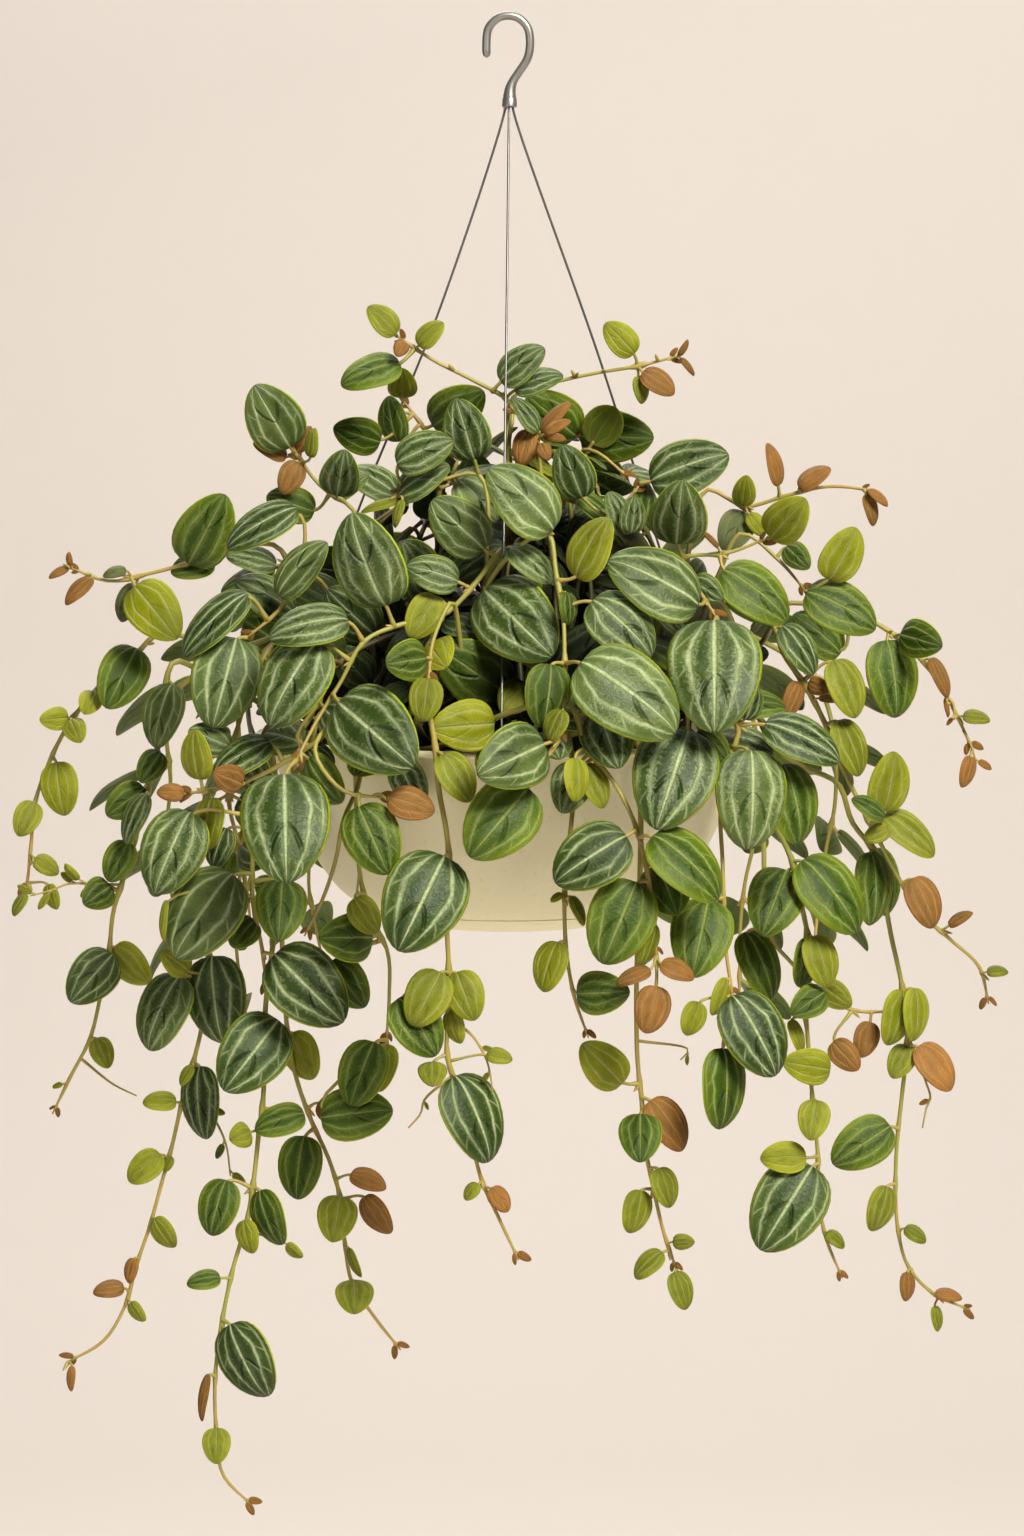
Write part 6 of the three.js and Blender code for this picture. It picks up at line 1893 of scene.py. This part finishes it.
def leaf_veins(paint, at):
    """Pale veins, the silver beside them and the creases of one leaf, each from none to one; the creases
    carry painted shade.
    """
    wander = paint.line(paint.noise(at.spot, VEIN_WANDER["scale"], 1.0), *VEIN_WANDER["reach"])
    fringe = paint.times(paint.ramp(at.streak, (0.38, 0.0), (0.70, 1.0)), FRINGE)
    fade = paint.ramp(at.cloud, (0.36, 0.45), (0.60, 1.0))
    inner_place = paint.add(paint.ramp(at.u, *VEIN_PLACE["inner"]), wander,
                            paint.line(at.own[0], *VEIN_PLACE["inner_own"]))
    outer_place = paint.add(paint.line(at.own[1], *VEIN_PLACE["outer"]),
                            paint.times(wander, VEIN_WANDER["outer_share"]))
    inner_gap = paint.gap(at.spread, inner_place)
    outer_gap = paint.gap(at.spread, outer_place)
    outer_fade = paint.ramp(at.u, (0.50, 1.0), (0.78, 0.15))
    full = paint.ramp(at.u, (0.0, 0.25), (0.16, 1.0))
    midrib = paint.peak(at.spread, 0.0, paint.line(at.u, VEIN["midrib_end"], VEIN["midrib"]))
    inner = paint.times(paint.peak(inner_gap, 0.0, VEIN["inner"]), fade, VEIN_STRENGTH["inner"])
    outer = paint.times(paint.peak(outer_gap, 0.0, VEIN["outer"]), outer_fade, fade, VEIN_STRENGTH["outer"])
    rung_phase = paint.math("FRACT", paint.add(
        paint.times(at.u, RUNG["count"]), paint.times(at.spread, RUNG["lean"]), at.own[3]))
    between = paint.times(paint.math("GREATER_THAN", at.spread, inner_place),
                          paint.math("LESS_THAN", at.spread, outer_place))
    rung = paint.times(paint.peak(rung_phase, 0.5, RUNG["width"]), between, fade, RUNG["strength"])
    frayed = paint.ramp(paint.add(at.mottle, paint.line(at.streak, 0.6, -0.3)), (0.28, 0.45), (0.58, 1.0))
    lines = paint.times(paint.most(midrib, paint.times(full, paint.most(inner, outer, rung))), frayed)
    beside_outer = paint.math("SUBTRACT", outer_gap, paint.times(fringe, 0.5))
    silver = paint.most(
        paint.peak(paint.math("SUBTRACT", at.spread, fringe), 0.0, SILVER["midrib"]),
        paint.peak(paint.math("SUBTRACT", inner_gap, fringe), 0.0, SILVER["inner"]),
        paint.times(outer_fade, paint.peak(beside_outer, 0.0, SILVER["outer"])))
    silver = paint.times(silver, paint.ramp(at.mottle, (0.34, 0.12), (0.66, 0.85)),
                         paint.line(at.own[3], 0.5, 0.24), full)
    start = paint.line(at.own[2], CREASE["vary"], CREASE["start"])
    past = paint.math("MAXIMUM", paint.math("SUBTRACT", at.u, start), 0.0)
    arch = paint.times(paint.math("POWER", past, CREASE["power"]), CREASE["reach"])
    crease = paint.times(paint.peak(at.spread, arch, CREASE["width"]),
                         paint.math("GREATER_THAN", past, 0.0),
                         paint.math("LESS_THAN", at.spread, inner_place),
                         paint.by_tone(at.tone, *CREASE_BY_TONE))
    return lines, silver, crease


# Middle and half sizes of the crown's painted shade, in metres, and how that shade fades towards its skin
CROWN_MIDDLE = {"z": -0.32, "across": 0.155, "deep": 0.115, "high": 0.095}
CROWN_SHADE = {"from": 0.78, "to": 1.08, "least": 0.12}


def crown_shade(paint):
    """Painted shade: darkens what lies deep inside the crown, where hardly any light comes in."""
    sizes = [1 / CROWN_MIDDLE[side] for side in ("across", "deep", "high")]
    scaled = paint.node("Mapping", inputs={
        "Vector": paint.where(), "Scale": sizes,
        "Location": (0, 0, -CROWN_MIDDLE["z"] / CROWN_MIDDLE["high"])}).outputs[0]
    reach = paint.node("VectorMath", {"operation": "LENGTH"}, {0: scaled}).outputs["Value"]
    return paint.fade(reach, CROWN_SHADE["from"], CROWN_SHADE["to"], CROWN_SHADE["least"])


# Leaf colours by tone: dark, mid green, lime, grey, copper
LEAF_GROUND = [
    (0.018, 0.042, 0.003), (0.034, 0.075, 0.002), (0.245, 0.275, 0.006),
    (0.110, 0.130, 0.038), (0.360, 0.165, 0.032),
]
LEAF_GROUND_RIM = [
    (0.048, 0.082, 0.006), (0.150, 0.215, 0.006), (0.385, 0.415, 0.012),
    (0.140, 0.160, 0.048), (0.340, 0.145, 0.026),
]
LEAF_PALE = [
    (0.64, 0.74, 0.38), (0.54, 0.64, 0.18), (0.80, 0.78, 0.30), (0.40, 0.44, 0.24), (0.76, 0.50, 0.21),
]
LEAF_EDGE = [
    (0.40, 0.48, 0.03), (0.44, 0.52, 0.02), (0.58, 0.58, 0.05), (0.32, 0.34, 0.10), (0.48, 0.21, 0.06),
]
LEAF_MIST = (0.95, 0.22, 0.0, 0.5, 0.0)
LEAF_MARKS = (0.92, 0.72, 0.70, 0.55, 0.78)
LEAF_THROUGH = (0.10, 0.24, 0.36, 0.25, 0.34)
MIST_COLOUR = (0.172, 0.230, 0.062)
UNDERSIDE_COLOUR = (0.20, 0.28, 0.07)
GLOW_COLOUR = (1.0, 0.95, 0.35)
# Painted shade: the near-black colour of leaves deep inside the crown
CROWN_SHADE_LEAF_COLOUR = (0.003, 0.006, 0.001)
LEAF_EDGE_BAND = (0.935, 0.970)
LEAF_SPECULAR = 0.24
LEAF_ROUGHNESS = {"marks": 0.12, "least": 0.33}
LEAF_RELIEF = {"lines": -0.4, "crease": -0.8, "streak": 0.35}
LEAF_BUMP = (0.9, 0.0014)


def leaf_material():
    """Watermelon-marked blade: pale veins and silver on green, with a lime edge, creased and puffed, and
    painted shade in the creases and deep inside the crown.
    """
    paint = Paint("leaf_blade")
    at = BladePlace(paint)
    lines, silver, crease = leaf_veins(paint, at)
    ground = paint.mix(paint.math("POWER", at.spread, 2.2), paint.by_tone(at.tone, *LEAF_GROUND),
                       paint.by_tone(at.tone, *LEAF_GROUND_RIM))
    mist = paint.times(
        paint.line(paint.math("POWER", at.own[4], 1.6), 0.75, 0.05),
        paint.ramp(paint.add(at.cloud, paint.line(at.mottle, 0.5, -0.25)), (0.30, 0.35), (0.70, 1.0)),
        paint.by_tone(at.tone, *LEAF_MIST))
    ground = paint.mix(mist, ground, MIST_COLOUR)
    # Random tone from cloud, seed and mottle, times painted shade along the creases
    shade = paint.times(paint.line(at.cloud, 1.0, 0.5), paint.line(at.seed, 0.5, 0.75),
                        paint.line(crease, -0.50, 1.0), paint.line(at.mottle, 0.8, 0.6))
    shade_colour = paint.node("CombineColor", inputs={
        "Red": shade, "Green": paint.math("POWER", shade, 0.85), "Blue": shade}).outputs[0]
    ground = paint.mix(1.0, ground, shade_colour, "MULTIPLY")
    pale = paint.by_tone(at.tone, *LEAF_PALE)
    marks = paint.times(paint.most(lines, paint.times(silver, 0.8)), paint.by_tone(at.tone, *LEAF_MARKS))
    colour = paint.mix(paint.fade(at.spread, *LEAF_EDGE_BAND), paint.mix(marks, ground, pale),
                       paint.by_tone(at.tone, *LEAF_EDGE))
    below = paint.mix(paint.times(lines, 0.3), paint.mix(0.4, ground, UNDERSIDE_COLOUR), pale)
    colour = paint.mix(at.under, colour, below)
    # Painted shade: deep inside the crown the leaf colour goes to near black
    colour = paint.mix(crown_shade(paint), CROWN_SHADE_LEAF_COLOUR, colour)
    relief = paint.add(paint.times(lines, LEAF_RELIEF["lines"]), paint.times(crease, LEAF_RELIEF["crease"]),
                       paint.times(at.streak, LEAF_RELIEF["streak"]))
    normal = paint.bump(relief, *LEAF_BUMP)
    roughness = paint.line(marks, LEAF_ROUGHNESS["marks"], LEAF_ROUGHNESS["least"])
    skin = paint.coat(colour, roughness, Normal=normal, Specular_IOR_Level=LEAF_SPECULAR)
    glow = paint.node("BsdfTranslucent", inputs={
        "Color": paint.mix(1.0, colour, GLOW_COLOUR, "MULTIPLY"), "Normal": normal}).outputs[0]
    return paint.finish(paint.blend(paint.by_tone(at.tone, *LEAF_THROUGH), skin, glow))


STEM_YOUNG = [(0.24, 0.28, 0.030), (0.40, 0.38, 0.070)]
STEM_OLD = [(0.37, 0.31, 0.060), (0.50, 0.33, 0.090)]
STEM_TIP_COLOUR = (0.46, 0.27, 0.08)
STEM_SPECK_COLOUR = (0.15, 0.13, 0.04)
# Painted shade: the near-black colour of stems deep inside the crown
CROWN_SHADE_STEM_COLOUR = (0.004, 0.004, 0.002)
STEM_NOISE = {"patch": 34.0, "fine": 900.0}
STEM_ROUGHNESS = 0.48
STEM_BUMP = (0.3, 0.0003)


def stem_material():
    """Green to ochre bark, browner at the stem's end, with painted shade that turns it near black deep inside
    the crown.
    """
    paint = Paint("stem")
    share, _, age = paint.node("SeparateColor", inputs={"Color": paint.attribute("blade")["Color"]}).outputs
    where = paint.where()
    patch = paint.noise(where, STEM_NOISE["patch"])
    fine = paint.noise(where, STEM_NOISE["fine"])
    ageing = paint.ramp(paint.add(age, paint.line(patch, 0.5, -0.25)), (0.3, 0.0), (0.75, 1.0))
    colour = paint.mix(ageing, paint.mix(patch, *STEM_YOUNG), paint.mix(patch, *STEM_OLD))
    colour = paint.mix(paint.ramp(share, (0.8, 0.0), (1.0, 0.6)), colour, STEM_TIP_COLOUR)
    colour = paint.mix(paint.times(fine, 0.3), colour, STEM_SPECK_COLOUR)
    # Painted shade: deep inside the crown the stem colour goes to near black
    colour = paint.mix(crown_shade(paint), CROWN_SHADE_STEM_COLOUR, colour)
    return paint.finish(paint.coat(colour, STEM_ROUGHNESS, Normal=paint.bump(fine, *STEM_BUMP)))


POT_COLOURS = [(0.84, 0.77, 0.50), (0.88, 0.81, 0.55)]
POT_SPECK_COLOUR = (0.55, 0.48, 0.36)
POT_NOISE = {"cloud": 9.0, "speck": 420.0, "grain": 700.0}
POT_ROUGHNESS = {"cloud": 0.12, "least": 0.46}
POT_BUMP = (0.25, 0.0004)


def pot_material():
    """Cream plastic, faintly clouded and specked."""
    paint = Paint("pot_plastic")
    where = paint.where()
    cloud = paint.noise(where, POT_NOISE["cloud"])
    speck = paint.ramp(paint.noise(where, POT_NOISE["speck"], 2.0), (0.62, 0.0), (0.72, 0.25))
    colour = paint.mix(speck, paint.mix(cloud, *POT_COLOURS), POT_SPECK_COLOUR)
    height = paint.add(paint.times(paint.noise(where, POT_NOISE["grain"], 2.0), 0.5), cloud)
    roughness = paint.line(cloud, POT_ROUGHNESS["cloud"], POT_ROUGHNESS["least"])
    return paint.finish(paint.coat(colour, roughness, Normal=paint.bump(height, *POT_BUMP)))


SOIL_COLOURS = [(0.3, (0.010, 0.007, 0.004)), (0.55, (0.038, 0.024, 0.014)), (0.8, (0.11, 0.075, 0.045))]
SOIL_NOISE = 160.0
SOIL_ROUGHNESS = 0.92
SOIL_BUMP = (0.8, 0.002)


def soil_material():
    """Dark crumbly earth."""
    paint = Paint("potting_soil")
    crumb = paint.noise(paint.where(), SOIL_NOISE, 5.0, 0.7)
    colour = paint.ramp(crumb, *SOIL_COLOURS)
    return paint.finish(paint.coat(colour, SOIL_ROUGHNESS, Normal=paint.bump(crumb, *SOIL_BUMP)))


HOOK_LOOK = {"colour": (0.36, 0.345, 0.32), "cloud_scale": 60.0}
WIRE_LOOK = {"colour": (0.20, 0.19, 0.18), "cloud_scale": 200.0}
METAL = {"shade": 0.88, "metallic": 0.8, "roughness": 0.34, "uneven": 0.12, "grain": 1400.0}
METAL_BUMP = (0.12, 0.0002)


def metal_material(name, colour, cloud_scale):
    """Satin metal with faint clouds."""
    paint = Paint(name)
    where = paint.where()
    cloud = paint.noise(where, cloud_scale)
    tint = paint.mix(cloud, tuple(part * METAL["shade"] for part in colour), colour)
    roughness = paint.line(cloud, METAL["uneven"], METAL["roughness"])
    normal = paint.bump(paint.noise(where, METAL["grain"], 2.0), *METAL_BUMP)
    return paint.finish(paint.coat(tint, roughness, Metallic=METAL["metallic"], Normal=normal))


AIR_COLOUR = (0.85, 0.76, 0.66, 1)
PAPER_COLOURS = [(0.785, 0.720, 0.676), (0.82, 0.752, 0.705)]
PAPER_NOISE = 1.3
PAPER_ROUGHNESS = 0.9
PAPER_FADE = {"beside": (1.0, 2.2), "behind": (1.2, 2.6)}


def studio_material():
    """Paper that melts into the studio's air away from the plant, and is open from its back."""
    paint = Paint("studio_paper")
    where = paint.where()
    colour = paint.mix(paint.noise(where, PAPER_NOISE, 2.0), *PAPER_COLOURS)
    paper = paint.coat(colour, PAPER_ROUGHNESS, Specular_IOR_Level=0.0)
    away = paint.node("SeparateXYZ", inputs={"Vector": where}).outputs
    beside = paint.fade(paint.math("ABSOLUTE", away[0]), *PAPER_FADE["beside"])
    behind = paint.fade(paint.times(away[1], -1.0), *PAPER_FADE["behind"])
    seen_directly = paint.node("LightPath").outputs["Is Camera Ray"]
    air = paint.node("Emission", inputs={"Color": AIR_COLOUR}).outputs[0]
    paper = paint.blend(paint.times(paint.most(beside, behind), seen_directly), paper, air)
    back = paint.node("NewGeometry").outputs["Backfacing"]
    return paint.finish(paint.blend(back, paper, paint.node("BsdfTransparent").outputs[0]))


# Studio, in metres

CAMERA = {"place": (0.00172, -2.0, -0.18535), "pitch": 5.256, "lens": 94.14, "sensor": 36}
SWEEP = {"floor": -1.35, "wall": 3.2, "radius": 0.9, "front": -4.5, "top": 3.5, "half": 5.0, "points": 17}
PLANT_MIDDLE = (0, 0, -0.35)
# Place, point that it shines at, size across, power and colour of each soft light
LIGHTS = {
    "key": ((1.3, -2.3, 1.9), PLANT_MIDDLE, 1.4, 195, (1.0, 0.97, 0.88)),
    "fill": ((-1.7, -2.3, -0.1), PLANT_MIDDLE, 1.6, 14, (1.0, 0.97, 0.90)),
    "back": ((-0.5, 1.9, 1.5), PLANT_MIDDLE, 1.6, 26, (1.0, 0.98, 0.90)),
    "wall": ((0, 1.3, 2.4), (0, 3.2, -0.2), 2.5, 40, (1.0, 0.99, 0.98)),
}
LIT_AIR = {"colour": (0.92, 0.87, 0.78, 1), "strength": 0.035}


def studio(material):
    """A floor that sweeps up into a plain wall well behind the plant."""
    floor, wall, radius = SWEEP["floor"], SWEEP["wall"], SWEEP["radius"]
    profile = [(SWEEP["front"], floor)]
    for turn in np.linspace(0, math.pi / 2, SWEEP["points"]):
        profile.append((wall - radius + radius * math.sin(turn), floor + radius * (1 - math.cos(turn))))
    profile.append((wall, SWEEP["top"]))
    points = [(x, y, z) for y, z in profile for x in (-SWEEP["half"], SWEEP["half"])]
    faces = [(2 * i, 2 * i + 1, 2 * i + 3, 2 * i + 2) for i in range(len(profile) - 1)]
    mesh = bpy.data.meshes.new("studio_sweep")
    mesh.from_pydata(points, [], faces)
    mesh.polygons.foreach_set("use_smooth", np.ones(len(faces), dtype=bool))
    mesh.materials.append(material)
    sweep = new_object("studio_sweep", mesh)


def camera():
    data = bpy.data.cameras.new("camera")
    data.lens = CAMERA["lens"]
    data.sensor_width = CAMERA["sensor"]
    made = new_object("camera", data)
    made.location = CAMERA["place"]
    made.rotation_euler = (math.radians(90 - CAMERA["pitch"]), 0, 0)
    bpy.context.scene.camera = made


def lights():
    for name, (spot, target, size, power, colour) in LIGHTS.items():
        data = bpy.data.lights.new(name, "AREA")
        data.shape = "DISK"
        data.size = size
        data.energy = power
        data.color = colour
        made = new_object(name, data)
        made.location = spot
        made.rotation_euler = (Vector(target) - Vector(spot)).to_track_quat("-Z", "Y").to_euler()


def surroundings():
    """The surroundings: plain to the camera, and a faint light for the plant."""
    world = bpy.data.worlds.new("studio_air")
    world.use_nodes = True
    tree = world.node_tree
    seen_air = tree.nodes["Background"]
    seen_air.inputs[0].default_value = AIR_COLOUR
    seen_air.inputs[1].default_value = 1.0
    lit_air = tree.nodes.new("ShaderNodeBackground")
    lit_air.inputs[0].default_value = LIT_AIR["colour"]
    lit_air.inputs[1].default_value = LIT_AIR["strength"]
    ray = tree.nodes.new("ShaderNodeLightPath")
    choice = tree.nodes.new("ShaderNodeMixShader")
    tree.links.new(ray.outputs["Is Camera Ray"], choice.inputs[0])
    tree.links.new(lit_air.outputs[0], choice.inputs[1])
    tree.links.new(seen_air.outputs[0], choice.inputs[2])
    tree.links.new(choice.outputs[0], tree.nodes["World Output"].inputs[0])
    bpy.context.scene.world = world
    bpy.context.scene.view_settings.view_transform = "Standard"


# Making the scene

camera()
studio(studio_material())
lights()
surroundings()
hook_piece(metal_material("hook_metal", **HOOK_LOOK))
wire_pieces(metal_material("wire_metal", **WIRE_LOOK))
pot_piece(pot_material())
soil_piece(soil_material())
all_stems, plant_vines, plant_leaves = settle_plant()
filler_stems = settle_fillers(all_stems, plant_leaves)
plant_pieces(plant_vines, filler_stems, plant_leaves, [leaf_material(), stem_material()])
